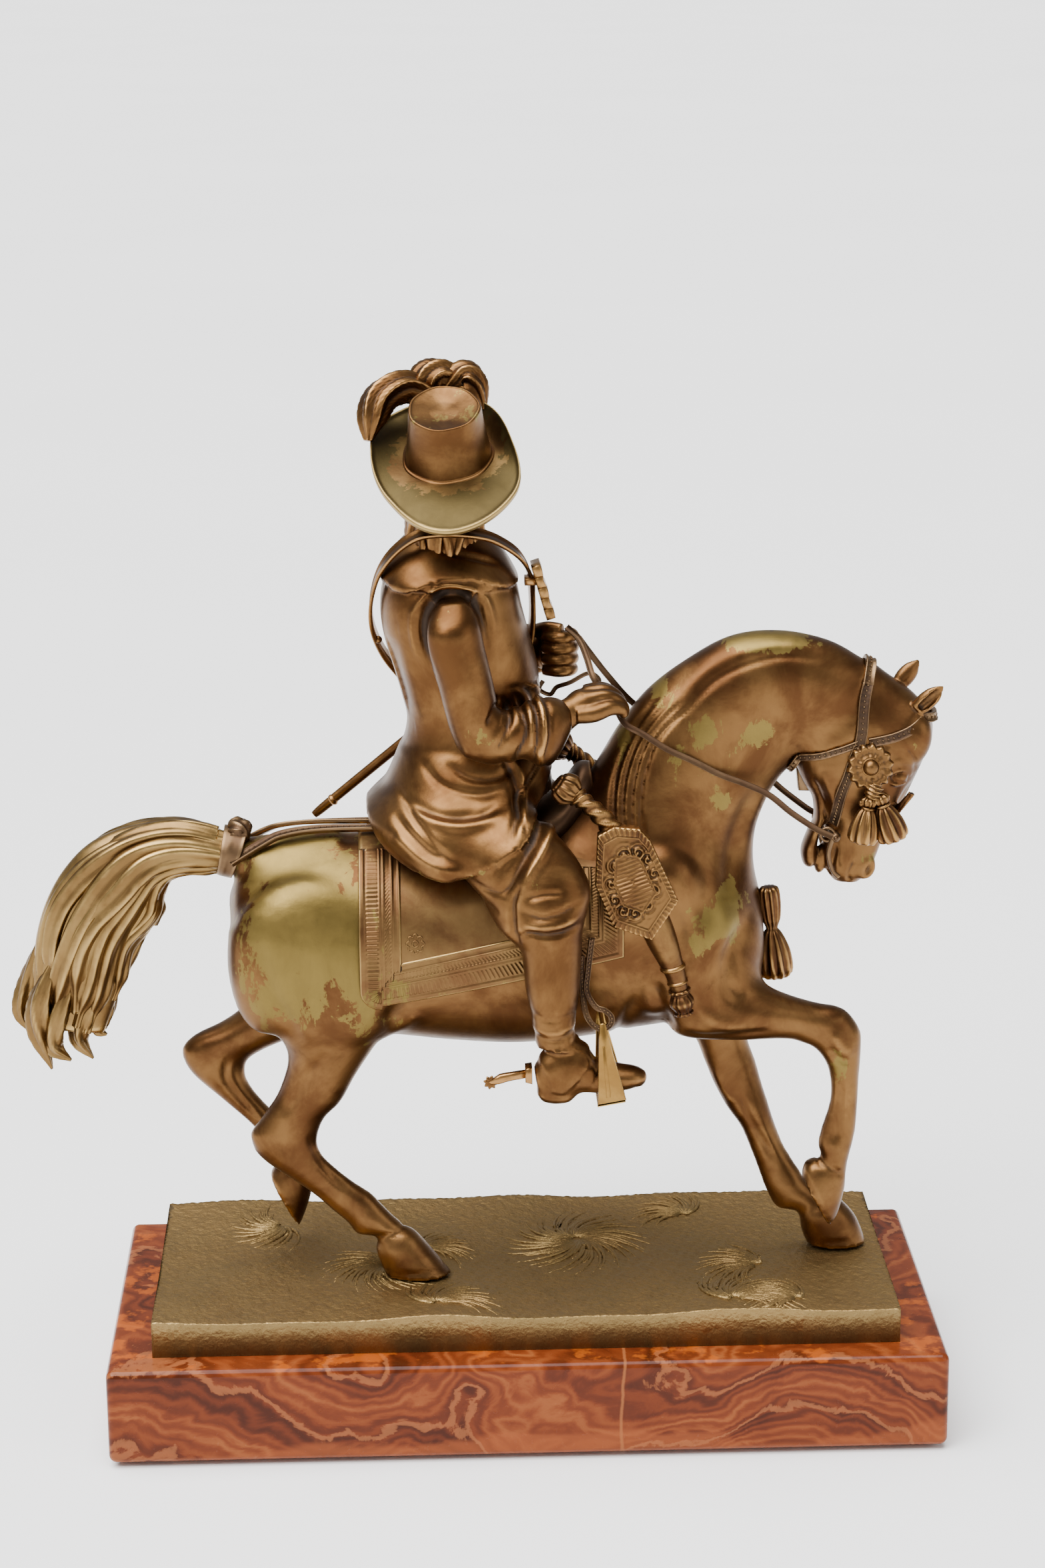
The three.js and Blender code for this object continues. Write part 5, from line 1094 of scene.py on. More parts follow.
def head_form():
    """Skull, jaw and chin, then on each side cheek, brow, eye, lids, wing of the nose and ear."""
    wax = Volume((-42, -16, 334), (-12, 18, 374), 0.56)

    def lump(right, forward, up, radii, blend, turn=(0, 0, 0)):
        wax.add(ball(on_head([[right, forward, up]])[0], radii, turn), blend=blend)

    def socket(right, forward, up, radii, blend):
        wax.cut(ball(on_head([[right, forward, up]])[0], radii), blend=blend)

    def line(rows, blend, sides=28, steps=40):
        wax.add(limb(on_head(rows), sides, steps), blend=blend)

    lump(0, -1.2, 3.4, (9.6, 11.2, 11.2), 1)
    lump(0, 3.4, -3.4, (7.6, 8.2, 10.8), 4)
    lump(0, 8.8, -12.4, (2.9, 2.5, 2.3), 3)
    for side in (-1, 1):
        lump(side * 5, 7.6, -3.6, (2.7, 2.4, 3), 3)
        lump(side * 6.4, 3.6, -9.6, (2, 4, 2.4), 3)
        line([[side * 6.6, 7.2, 2.4, 0.8], [side * 3.8, 9.8, 3.3, 1.1], [side * 1.2, 10.4, 2.6, 1]], 2)
        socket(side * 3.7, 11.4, 0.5, (2.4, 1.9, 1.6), 1.6)
        lump(side * 3.6, 8.7, 0.5, (1.8, 1.7, 1.6), 0.3)
        upper_lid = [[side * 1.6, 9.6, 0.2, 0.3], [side * 3.6, 10.4, 1.7, 0.42], [side * 5.7, 8.8, 0.3, 0.3]]
        lower_lid = [[side * 1.8, 9.6, 0, 0.25], [side * 3.6, 10.1, -0.9, 0.32], [side * 5.6, 8.8, 0.1, 0.25]]
        line(upper_lid, 0.5, 12, 20)
        line(lower_lid, 0.5, 12, 20)
        lump(side * 1.5, 11.2, -4.9, (1.1, 1.3, 0.9), 0.8)
        lump(side * 9.6, -0.8, -0.6, (1.1, 2.1, 3.2), 0.8, (12, 0, 0))
        socket(side * 10.9, 0, -0.2, (0.8, 1.1, 1.8), 0.6)
    nose = [[0, 9.8, 2.8, 1.0], [0, 11.6, -1.2, 1.1], [0, 12.6, -4.3, 1.4]]
    line(nose, 1.3)
    for height, thick, reach in ((-7.5, 0.62, 11.1), (-8.9, 0.75, 10.9)):
        lip = [[-2.9, reach - 1.5, -8.2, 0.3], [-1.1, reach - 0.2, height, thick],
               [0, reach, height - 0.15, thick], [1.1, reach - 0.2, height, thick],
               [2.9, reach - 1.5, -8.2, 0.3]]
        line(lip, 0.7, 14, 30)
    neck = [[0, -1.4, -6, 7], [0, -1, -22, 8]]
    line(neck, 3)
    return relaxed(wax.form(), 2)


def hair_form():
    """Long locks from under the hat round the back and sides: reach (sin swing, -cos swing) round the
    head and 7 - share (drop + 7) up. Each lock flares, and its end curls in a little."""
    locks = []
    for k, turn in enumerate(np.radians(np.linspace(-128, 128, 13))):
        flare = 12 + 0.5 * np.sin(2.3 * k)
        drop = 20.5 + 2.6 * np.cos(turn / 1.2) + 1.0 * np.sin(1.7 * k)
        rows = []
        for share, reach, wide in ((0, 8.2, 3.0), (0.3, 10.6, 3.5), (0.62, 11.2, 3.4), (0.86, flare, 2.7),
                                   (1, 11.2, 1.2)):
            swing = turn + 0.16 * np.sin(3 * share + k) * share
            forward = -1.5 - reach * 1.06 * np.cos(swing)
            rows.append([reach * np.sin(swing), forward, 7 - share * (drop + 7), wide])
        locks.append(lock(on_head(rows), 4, 0.15, 0.35 * (-1) ** k, 28, 30))
    return merge(*locks)


piece("rider_head", head_form(), rider_bronze, ["rider"])
piece("rider_hair", hair_form(), rider_bronze, ["rider"])

# %% [markdown]
# The right hand lies palm down over the rein and the left is a fist that holds both. Each finger is a
# limb of its own, blended only a little, so that the hollows between the fingers stay.

# %% Hands
FIST = np.array([14, 16, 293.5])
# Each finger of the right hand: x, y, z and radius, from the hand to its end.
RIGHT_FINGERS = [
    [[21, -27, 279.6, 3.4], [27, -27.4, 280.2, 3.5], [33, -26.6, 281.9, 3.0], [37.4, -25, 280.8, 2.4],
     [38.8, -24, 278, 1.7]],
    [[24, -24.4, 284.6, 2.8], [31, -24.2, 286, 2.4], [36, -23.5, 284.4, 2.2], [38.9, -22.8, 281, 1.9],
     [38.8, -22.5, 278.6, 1.5]],
    [[24, -20.8, 286.4, 2.6], [31, -20.6, 287.4, 2.3], [35.4, -20.2, 285.8, 2.1], [38.2, -19.8, 282, 1.8],
     [38.2, -19.6, 279.5, 1.4]],
    [[24, -17.6, 286.4, 2.4], [30, -17.4, 287.6, 2.2], [34.2, -17.4, 286.2, 2], [37, -17.4, 282.6, 1.7]],
]


def right_hand():
    """Wrist, back of the hand and fingers."""
    wax = Volume((6, -34, 268), (44, -10, 294), 0.62)
    wax.add(limb([[12, -27, 276, 6.2], [18, -24.6, 279.8, 5.6], [24, -22.4, 282.4, 5]], flat=0.9))
    wax.add(ball((25, -21.6, 283), (7.6, 6.2, 5.2), (0, 8, 0)), blend=2)
    for finger in RIGHT_FINGERS:
        wax.add(limb(finger), blend=0.9)
    return relaxed(wax.form(), 1)


def left_fist():
    """Palm, wrist, four bent fingers one above the other, and the thumb."""
    wax = Volume((0, 4, 280), (28, 32, 310), 0.65)
    wax.add(ball(FIST + [-0.5, 2, 0], (6.6, 5.4, 8.8)))
    wax.add(limb([[4, 27, 291.5, 6.4], [10, 20, 292.5, 6.2]]), blend=2)
    for lift, size in ((-6.4, 2.2), (-2.1, 2.5), (2.3, 2.6), (6.6, 2.5)):
        rows = [[-4, -3.6, lift, 0.9 * size], [1, -6.6, lift, size], [5.6, -5.6, lift, size],
                [7.4, -1.4, lift, size], [6, 3, lift, 0.9 * size]]
        wax.add(limb([[*(FIST + row[:3]), row[3]] for row in rows]), blend=0.5)
    thumb = [[8, 18, 301, 3], [12, 12.6, 303.4, 2.7], [17.4, 10, 303.6, 2.1]]
    wax.add(limb(thumb), blend=0.8)
    return relaxed(wax.form(), 1)


piece("rider_hands", merge(right_hand(), left_fist()), rider_bronze, ["rider"])

# %% [markdown]
# The felt hat leans to the rider's right, with plumes laid round its crown. A level hat could be built
# and then turned, but its object has to stay unturned. So its points are counted from its own axis: an
# angle round it, a radius and a height. The brim's reach and rise change with the angle.

# %% Hat
HAT_BASE = np.array([-25.5, -4, 373.0])
HAT_AXIS = unit(np.array([-0.06, -0.48, 0.876]))
HAT_FRONT = unit(np.array([1.0, 0, 0]) - HAT_AXIS[0] * HAT_AXIS)
HAT_LEFT = np.cross(HAT_AXIS, HAT_FRONT)
# Reach and rise of the brim's edge at eight angles, from the front round by the rider's left.
BRIM = [[24, 5.5], [23, 9.5], [27, 6], [31, 2], [28.5, 4], [31.5, -2], [39, -4], [34, -0.5]]
BRIM_INNER = 14
# Radius and height up the crown's side, over its edge and in to its hollow top.
CROWN = [
    [12, -9], [16.8, 0], [16.1, 1.6], [15.8, 3], [14.4, 12], [13.5, 21.2], [13.2, 22.9], [12.5, 23.2],
    [11.4, 22.7], [5, 21.4],
]


def on_hat(angle, radius, height):
    """base + radius (front cos angle + left sin angle) + height * axis."""
    return (HAT_BASE + (radius * np.cos(angle))[..., None] * HAT_FRONT
            + (radius * np.sin(angle))[..., None] * HAT_LEFT + height[..., None] * HAT_AXIS)


def brim_edge(angle):
    """Reach and rise at an angle, on a closed curve through the rows of BRIM."""
    rows = np.array(BRIM * 3, float)
    s = (angle / (2 * np.pi)) % 1 * len(BRIM) + len(BRIM)
    return rows_at(rows, s / (len(rows) - 1)).T


def crown_form():
    """The profile turned round the hat's axis, its radius and height waving a little with the angle."""
    profile = rows_at(CROWN, np.linspace(0, 1, 60))
    a = circle(96)
    radius, height = (profile[:, c:c + 1] + 0 * a for c in (0, 1))
    dent = 1 + 0.02 * np.cos(3 * a + 1) + 0.012 * np.cos(7 * a)
    return tube(on_hat(a + 0 * radius, radius * dent, height + 0.35 * np.cos(2 * a)))


def brim_form():
    """A sheet from the crown to the edge: height = rise * share squared, with a roll along the edge."""
    a, share = circle(180), np.linspace(0, 1, 34)[:, None]
    reach, rise = brim_edge(a)
    radius = BRIM_INNER + share * (reach - BRIM_INNER)
    wave = 0.45 * np.sin(5 * a + 0.7) * share ** 2
    height = rise * share ** 2 + wave
    rolled = 0.8 + 0.5 * np.exp(-((share - 0.97) / 0.05) ** 2)
    return slab(*(on_hat(a + 0 * radius, radius, face) for face in (height + rolled, height - 0.6)), True)


PLUMES = [
    [[-31, 10, 392, 4], [-40, 9, 397, 5.5], [-49, 5, 394.5, 6], [-53.5, 1, 387, 5], [-55, -2, 379, 1.6]],
    [[-38, 13, 392, 4], [-33, 14, 399, 6], [-27, 14, 400.5, 5.5], [-21, 13, 397, 3]],
    [[-26, 13, 396, 4], [-19, 13, 400, 5.5], [-15, 11, 396.5, 4.8], [-12.6, 8, 388, 1.8]],
]
hat_crown, hat_brim = crown_form(), brim_form()
hat_plumes = merge(*(lock(plume, 6, 0.13, 0.3, 52, 64) for plume in PLUMES))
CROWN_EDGE = 20.5
crown_worn = 0.3 * (((hat_crown.points - HAT_BASE) @ HAT_AXIS) > CROWN_EDGE)
brim_reach = np.linalg.norm(np.cross(hat_brim.points - HAT_BASE, HAT_AXIS), axis=1)
brim_worn = np.clip((brim_reach - BRIM_INNER) / BRIM_INNER, 0, 1.1)
brim_bronze = bronze("brim_bronze", (0.076, 0.040, 0.0150), (0.40, 0.27, 0.095), DARK,
                     brass=(0.058, 0.041, 0.012), rough=0.42)
piece("hat_crown", hat_crown, rider_bronze, ["rider"], worn=crown_worn)
piece("hat_brim", hat_brim, brim_bronze, ["rider"], worn=brim_worn)
piece("hat_plumes", hat_plumes, rider_bronze, ["rider"])

# %% [markdown]
# The ground is a cast plate with grass tooled into its wax. A displaced plane would leave the tufts
# smooth, so the ground is a height over a plan grid, with slow swells and a fine stipple, and each blade
# of grass is a thin form of its own. It goes flat under the hoofs that stand on it.

# %% Ground
PLATE = {"x": (-143, 142.5), "y": (-59, 54), "top": 52.2, "side_below": 51}
STANDING_HOOFS = ((-42, -17.5), (124, 5))
# Tufts of grass: middle x and y, reach, first and last direction in degrees and number of blades.
TUFTS = [
    (22, 10, 27, 0, 360, 90), (-54, -10, 22, 90, 270, 51), (-38, 4, 18, 0, 130, 35),
    (92, -16, 22, 60, 210, 45), (80, -50, 24, 15, 175, 54), (104, -50, 20, 50, 190, 38),
    (-34, -48, 22, 25, 175, 45), (66, 34, 18, 20, 170, 32), (-96, 30, 20, 150, 330, 35),
]


def ground_height(x, y):
    """Level with soft swells and a small rise under each tuft, a bank at the far edge, and flat where
    a hoof stands."""
    swell = 0.5 * np.sin(x / 17 + y / 23) + 0.35 * np.sin(x / 9 - y / 11)
    rise = sum(1.0 * np.exp(-((x - tx) ** 2 + (y - ty) ** 2) / reach ** 2) for tx, ty, reach, *_ in TUFTS)
    clear = np.minimum(*(np.hypot(x - hoof_x, y - hoof_y) for hoof_x, hoof_y in STANDING_HOOFS))
    free = np.clip((clear - 15) / 8, 0, 1)
    bank = 2.2 * np.clip((y - 20) / 34, 0, 1) ** 2
    return PLATE["top"] - 0.9 + bank + np.minimum(swell + rise, 1.6) * free


def tuft_blades():
    """Each blade is a thin lock on the ground that leaves the middle, bends to one side and tapers:
    place = middle + long t (cos, sin) of (turn + or - 0.9 t), kept inside the plate's edge."""
    t = np.linspace(0.12, 1, 6)
    arch, thick = 0.8 * np.sin(np.pi * t) * (1 - 0.4 * t), 0.8 * (1.05 - t) + 0.32
    blades = []
    for k, (tx, ty, reach, first, last, count) in enumerate(TUFTS):
        turns = np.radians(np.linspace(first, last, count, endpoint=last - first < 360))
        for j, turn in enumerate(turns):
            long = reach * (0.92 + 0.28 * np.sin(2.4 * j + k))
            bent = turn + 0.9 * t * (1 if k % 2 else -1)
            x = np.clip(tx + long * t * np.cos(bent), PLATE["x"][0] + 2, PLATE["x"][1] - 2)
            y = np.clip(ty + long * t * np.sin(bent), PLATE["y"][0] + 1.5, PLATE["y"][1] - 1.5)
            z = ground_height(x, y) - 0.45 + arch
            blades.append(lock(np.stack([x, y, z, thick], 1), 1, 0, sides=5, steps=7))
    return merge(*blades)


def ground_form():
    """Rings across y, one at each x: the top's points, then three rows down the far and near sides."""
    x, y = np.meshgrid(np.linspace(*PLATE["x"], 250), np.linspace(*PLATE["y"], 104), indexing="ij")
    z = ground_height(x, y)
    stipple = 0.26 * np.sin(x * 1.55 + 1.7 * np.sin(y * 0.9)) * np.sin(y * 1.7 + 1.3 * np.sin(x * 0.7))
    top = np.stack([x, y, z + stipple], -1)
    foot = top[:, [-1, 0]]
    rim, lower = foot - (0, 0, 0.3), foot - (0, 0, 0.8)
    foot[..., 2] = PLINTH["high"] + 0.05
    near, far = [rim[:, 1:], lower[:, 1:], foot[:, 1:]], [rim[:, :1], lower[:, :1], foot[:, :1]]
    return tube(np.concatenate([top, *far, *near[::-1]], 1))


def plate_side(points):
    """1 on the plate's upright sides, which are a darker brass, and 0 on its top and its grass."""
    inner = np.ones(len(points), bool)
    for axis, (low, high) in enumerate((PLATE["x"], PLATE["y"])):
        inner &= np.abs(points[:, axis] - (low + high) / 2) < (high - low) / 2 - 0.1
    return ((points[:, 2] < PLATE["side_below"]) & ~inner).astype(float)


ground_bronze = bronze("ground_bronze", (0.235, 0.148, 0.058), (0.28, 0.19, 0.075),
                       dark=(0.05, 0.034, 0.016), brass=(0.085, 0.060, 0.016), rough=0.54, brassy=-0.9,
                       grain=6.0, fine=430.0)
ground = merge(ground_form(), tuft_blades())
piece("ground_casting", ground, ground_bronze, ["ground_plate"],
      worn=2.6 * plate_side(ground.points))

# %% [markdown]
# The plinth is a sawn slab, the baize is glued on under it, and it stands on four felt pads. A plain box
# has edges that no saw or scissors leave, and a bevelled one has flat facets. So one function carries a
# plan with round corners over a quarter circle at the foot and at the top.

# %% Rounded blocks
def rounded_block(low, high, radius, steps=8):
    """Block with round edges: a rounded plan ring carried over a quarter circle at each end."""
    low, high = np.array(low, float), np.array(high, float)
    quarter = np.linspace(0, np.pi / 2, steps)
    corners = []
    for turn, sx, sy in ((0, 1, 1), (1, -1, 1), (2, -1, -1), (3, 1, -1)):
        a = quarter + turn * np.pi / 2
        corners.append(np.stack([np.cos(a), np.sin(a), sx + 0 * a, sy + 0 * a], -1))
    ring = np.concatenate(corners)
    middle, half = (low + high)[:2] / 2, (high - low)[:2] / 2

    def level(inset, z):
        r = radius - inset
        flat = middle + ring[:, 2:] * (half - radius) + ring[:, :2] * r
        return np.insert(flat, 2, z, axis=1)

    rise = radius * (1 - np.cos(quarter))
    rims = [level(radius * (1 - np.sin(q)), low[2] + r) for q, r in zip(quarter, rise)]
    tops = [level(radius * (1 - np.sin(q)), high[2] - r) for q, r in zip(quarter[::-1], rise[::-1])]
    return tube(np.stack(rims + tops))


# %% [markdown]
# The plinth is polished onyx marble: thin red and amber layers that were laid down wavy, a few pale
# clouds along the foot, one healed crack, and a clear polish. The layers are a sine of the height,
# pushed about by noise, so they run round the corners as they do in a real block.

# %% Onyx and felt
CRACK_X = 36.2 * MM + SHIFT[0]
# Heights in metres: the clouds lie below the first and the flecks of calcite gather above the second.
CLOUD_TOP, CALCITE_FROM = 0.0105, 0.0355
# From the darkest layer to the lightest: where each one starts, and its colour.
ONYX_LAYERS = [
    (0.2, (0.045, 0.009, 0.003)), (0.4, (0.088, 0.017, 0.005)), (0.56, (0.130, 0.026, 0.0065)),
    (0.70, (0.175, 0.040, 0.010)), (0.9, (0.26, 0.078, 0.021)),
]
CLOUD, VEIN = (0.27, 0.066, 0.018), (0.34, 0.115, 0.040)
HEALED_CRACK, CALCITE = (0.32, 0.11, 0.035), (0.42, 0.09, 0.008)


def onyx_material():
    """Layers follow sin(1.7 layer) and sin(9.5 layer), where layer is the height pushed by noise."""
    material, where, _, feed = new_material("onyx")
    sway = where.stretched((9, 9, 9)).noise(1.0, 3.0, 0.5, 0.6)
    fine = where.stretched((42, 42, 70)).noise(1.0, 5.0, 0.6, 0.8)
    height = where.node("ShaderNodeSeparateXYZ", {0: where}, output=2)
    across = where.node("ShaderNodeSeparateXYZ", {0: where}, output=0)
    layer = height * 120 + sway * 16 + fine * 1.6
    wide_band = (layer * 1.7).maths("SINE") * 0.5 + 0.5
    thin_band = (layer * 9.5).maths("SINE") * 0.5 + 0.5
    mottle = where.noise(30.0, 6.0, 0.62, 1.0)
    shade = wide_band * 0.30 + thin_band * 0.24 + mottle * 0.46
    body = shade.node("ShaderNodeValToRGB", {0: shade}, stops=ONYX_LAYERS)
    foot = (CLOUD_TOP - height + (sway - 0.5) * 0.030 + (fine - 0.5) * 0.010) * 130
    cloud = foot.between(0.1, 0.5)
    body = (cloud * 0.5).mix(body, CLOUD)
    vein = (layer * 1.7 + mottle * 5).maths("SINE").between(0.93, 0.995)
    body = (vein * 0.45).mix(body, VEIN)
    crack_off = (across - CRACK_X + (fine - 0.5) * 0.002 + (sway - 0.5) * 0.01).maths("ABSOLUTE")
    crack = 1 - crack_off.between(0.00015, 0.0009)
    body = (crack * 0.6).mix(body, HEALED_CRACK)
    calcite = (where.noise(55.0, 4.0, 0.6) + (height - CALCITE_FROM) * 30).between(0.67, 0.74)
    body = (calcite * 0.5).mix(body, CALCITE)
    pores = where.noise(420.0, 3.0, 0.6)
    feed(base_color=body, roughness=0.16 + crack * 0.25 + pores.between(0.6, 0.75) * 0.22 + cloud * 0.1,
         normal=bump(pores * 0.3 + fine, 0.06, 0.0004), ior=1.5, specular_ior_level=0.14)
    return material


def felt_material():
    """Two greens mixed by the nap, which is a very fine noise, and by slow clouds of wear."""
    material, where, _, feed = new_material("felt_green")
    nap = where.noise(2600.0, 4.0, 0.7)
    cloud = where.noise(90.0, 3.0)
    body = (nap * 0.6 + cloud * 0.4).between(0.3, 0.7).mix((0.012, 0.024, 0.014), (0.05, 0.085, 0.05))
    feed(base_color=body, roughness=0.95, normal=bump(nap, 0.6, 0.0004))
    return material


half_long, half_deep = PLINTH["long"] / 2, PLINTH["deep"] / 2
onyx, felt = onyx_material(), felt_material()
plinth = rounded_block((-half_long, -half_deep, 0), (half_long, half_deep, PLINTH["high"]), PLINTH["round"])
piece("plinth_block", plinth, onyx, ["onyx_plinth"])

# %% [markdown]
# The saddlecloth is thick leather or felt over the horse's back, and its chased border was the
# goldsmith's pride: hatching, raised lines and a small flower inside the corner. Hatching as fine as
# that needs close points, so the border is a strip of its own. It follows the cloth's edge, and its
# relief is a height worked out from how far in and how far along the edge each point lies.

# %% Saddlecloth
CLOTH = {"rear": -61.5, "front": 38, "corner": 8, "low": 168.6, "rise": 0.19, "lift": 1.1, "thick": 1.4}
BORDER = {"wide": 15.8, "rear_top": 223, "front_top": 218}
# Shares of the border's points at the end of its rear edge, of its corner and of its lower edge.
REAR_END, CORNER_END, LOW_END = 0.27, 0.335, 0.82


def trunk_at(x):
    """Top, bottom and half width of the trunk where its section lies at x."""
    rows = rows_at(TRUNK, np.linspace(0, 1, 500))
    return (np.interp(x, rows[:, 0], rows[:, c]) for c in (1, 3, 5))


def on_trunk(x, z, side, lift):
    """Point of the trunk's ellipse at x that has the height z, moved out by lift."""
    top, bottom, half = trunk_at(x)
    cosine = np.clip((2 * z - top - bottom) / (top - bottom), -1, 1)
    y = side * (half + lift) * np.sqrt(1 - cosine ** 2)
    return np.stack([x, y, (top + bottom) / 2 + ((top - bottom) / 2 + lift) * cosine], -1)


def cloth_low(x):
    """Height of the lower edge at x: a rising line with a rounded rear corner."""
    run = np.clip(x - CLOTH["rear"], 0, CLOTH["corner"])
    rounded = CLOTH["corner"] - np.sqrt(CLOTH["corner"] ** 2 - (CLOTH["corner"] - run) ** 2)
    return CLOTH["low"] + CLOTH["rise"] * (x - CLOTH["rear"]) + rounded


def cloth_sheet():
    """The plain field: angle round the trunk = widest angle at x * share, share from -1 to 1."""
    places = np.linspace(CLOTH["rear"], CLOTH["front"], 60)
    x, share = np.meshgrid(places, np.linspace(-1, 1, 64), indexing="ij")
    top, bottom, half = trunk_at(x)
    angle = share * np.arccos((2 * cloth_low(x) - top - bottom) / (top - bottom))

    def face(lift):
        return np.stack([x, (half + lift) * np.sin(angle),
                         (top + bottom) / 2 + ((top - bottom) / 2 + lift) * np.cos(angle)], -1)

    return slab(face(CLOTH["lift"] + CLOTH["thick"]), face(CLOTH["lift"]))


def border_path(inset, share):
    """Flat place (x, z) along the cloth's edge, moved in by inset. The path runs down the rear edge,
    round the corner, along the lower edge and up the front, a fixed share of the points on each."""
    bend = np.maximum(CLOTH["corner"], inset)
    radius = np.maximum(CLOTH["corner"] - inset, 0)
    rear, front, low = CLOTH["rear"], CLOTH["front"] - inset, CLOTH["low"]
    ends = (0, REAR_END, CORNER_END, LOW_END, 1)
    down, turn, run, up = (np.clip((share - a) / (b - a), 0, 1) for a, b in zip(ends, ends[1:]))
    angle, first_x = np.pi / 2 * turn, rear + bend
    in_rear, in_corner = share < REAR_END, share < CORNER_END
    x = np.where(in_corner, first_x - radius * np.cos(angle), first_x + (front - first_x) * run)
    x = np.where(in_rear, rear + inset, x)
    z = np.where(in_corner, low + bend - radius * np.sin(angle), low + inset + CLOTH["rise"] * (x - rear))
    z = np.where(in_rear, BORDER["rear_top"] + (low + bend - BORDER["rear_top"]) * down, z)
    return x, z + (BORDER["front_top"] - z) * np.where(share > LOW_END, up, 0)


def line_at(inset, place, width=0.35):
    """A raised line as a bell curve: exp(-((inset - place) / width) squared)."""
    return np.exp(-((inset - place) / width) ** 2)


def border_relief(inset, along):
    """Rim, hatching square to the edge, two lines, slanting hatching and two lines more. Hatching is a
    cosine of the way along the edge, in millimetres from one groove to the next."""
    hatch_step, slant_step = 1.75, 1.6
    rim = 0.42 * (1 - np.clip((inset - 1.9) / 0.4, 0, 1)) * np.clip(inset / 0.3, 0.3, 1)
    hatch = 0.2 + 0.3 * np.cos(2 * np.pi * along / hatch_step)
    slant = 0.24 * np.cos(2 * np.pi * (along + 1.2 * inset) / slant_step)
    lines = sum(line_at(inset, place) for place in (7.8, 9.2, 12.4, 15.1))
    hatched, slanted = (inset > 2.7) * (inset < 7.2), (inset > 9.8) * (inset < 11.7)
    return rim + hatch * hatched + slant * slanted + 0.5 * lines


def cloth_border(side, count):
    """The strip on one side of the horse: its relief above, and two more rows below that close it."""
    share = np.linspace(0, 1, count)[:, None]
    inset = np.concatenate([np.linspace(0, BORDER["wide"], 42), [BORDER["wide"], 0]])[None]
    x, z = border_path(inset, share)
    along = run_along(on_trunk(*border_path(np.zeros((1, 1)), share), side, 3)[:, 0])[:, None]
    lift = CLOTH["lift"] + CLOTH["thick"] + 0.12 + border_relief(inset, along)
    lift[:, -2:] = CLOTH["lift"] + 0.1
    return tube(on_trunk(x, z, side, lift))


def cloth_flower(x, z, side):
    """Outline of eight petals: radius = 3.4 (0.72 + 0.28 |cos 4a|), and a ring in its middle."""
    forms = []
    for size, petals in ((3.4, 0.28), (1.1, 0.0)):
        a = np.linspace(0, 2 * np.pi, 97)
        r = size * (1 - petals + petals * np.abs(np.cos(4 * a)))
        line = on_trunk(x + r * np.cos(a), z + r * np.sin(a), side, CLOTH["lift"] + CLOTH["thick"] + 0.1)
        bead = circle(6)
        forms.append(carried(line, (0, side, 0), np.stack([np.cos(bead), np.sin(bead)], 1) * 0.3, 97))
    return merge(*forms)


def cloth_worn(points):
    """Brass along the lower edge and along the rear edge, as two bell curves."""
    above_edge, from_rear = points[:, 2] - cloth_low(points[:, 0]), points[:, 0] + 56
    return 0.36 * np.exp(-(above_edge / 12) ** 2) + 0.3 * np.exp(-(from_rear / 9) ** 2)


FLOWERS = ((-40.5, 194.2), (12, 201))
cloth_form = merge(cloth_sheet(), cloth_border(-1, 440), cloth_border(1, 300),
                   *(cloth_flower(x, z, side) for side in (-1, 1) for x, z in FLOWERS))
cloth_bronze = bronze("cloth_bronze", (0.108, 0.050, 0.021), (0.34, 0.22, 0.08), DARK, BRASS, 0.42, -0.05)
piece("saddlecloth_chased", cloth_form, cloth_bronze, ["saddlecloth"],
      worn=cloth_worn(cloth_form.points))

# %% [markdown]
# Only the saddle's pommel and cantle show, in front of the rider and behind. A saddle is leather drawn
# tight over a wooden tree, so its sections are smooth, and a plain loft gives them.

# %% Saddle
SADDLE = [
    [-53, 243, -51, 226, 0, 12], [-48, 247, -48, 220, 0, 18], [-40, 240, -40, 218, 0, 22],
    [-20, 236, -20, 218, 0, 22], [0, 237, 0, 219, 0, 20], [14, 243, 14, 222, 0, 17],
    [22, 253, 23, 230, 0, 14], [27, 254, 29, 240, 0, 8],
]
piece("saddle_leather", loft(SADDLE, 56, 48), strap_bronze, ["saddle"])

# %% [markdown]
# Straps are one profile carried along a path: flat below, and a raised strip along both edges. The
# bridle's straps have to lie on the cheek, so their paths are drawn in the side view only, and a volume
# of the plain head gives the depth of the skin and the direction that points out of it.

# %% Straps and beads
def level(wax, points):
    """Distance that a volume holds at any points, read between its cells."""
    s = points / wax.cell - wax.low
    i = np.clip(np.floor(s).astype(int), 0, np.array(wax.field.shape) - 2)
    f, total = s - i, 0
    for corner in np.ndindex(2, 2, 2):
        weight = np.where(corner, f, 1 - f).prod(-1)
        total = total + weight * wax.field[tuple(np.moveaxis(i + corner, -1, 0))]
    return total


def on_side(wax, flat, side, lift=0.0):
    """Where the skin lies under flat points (x, z) seen from one side, and the way out of it."""
    flat = np.asarray(flat, float)
    y = side * np.linspace(46, 0, 231)
    rays = np.stack(np.broadcast_arrays(flat[:, :1], y, flat[:, 1:]), -1)
    inside = level(wax, rays) < 0
    depth = np.where(inside.any(1), y[inside.argmax(1)], 0)
    spots = np.stack([flat[:, 0], depth, flat[:, 1]], -1)
    steps = 1.2 * np.eye(3)
    out = unit(np.stack([level(wax, spots + s) - level(wax, spots - s) for s in steps], -1))
    return spots + out * lift, out


def strap(path, out, wide, thick, border=0.5, lift=0.3, steps=70):
    """The strap's profile carried along a path, with its top towards out."""
    return carried(path, out, strap_section(wide, thick, border, lift), steps)


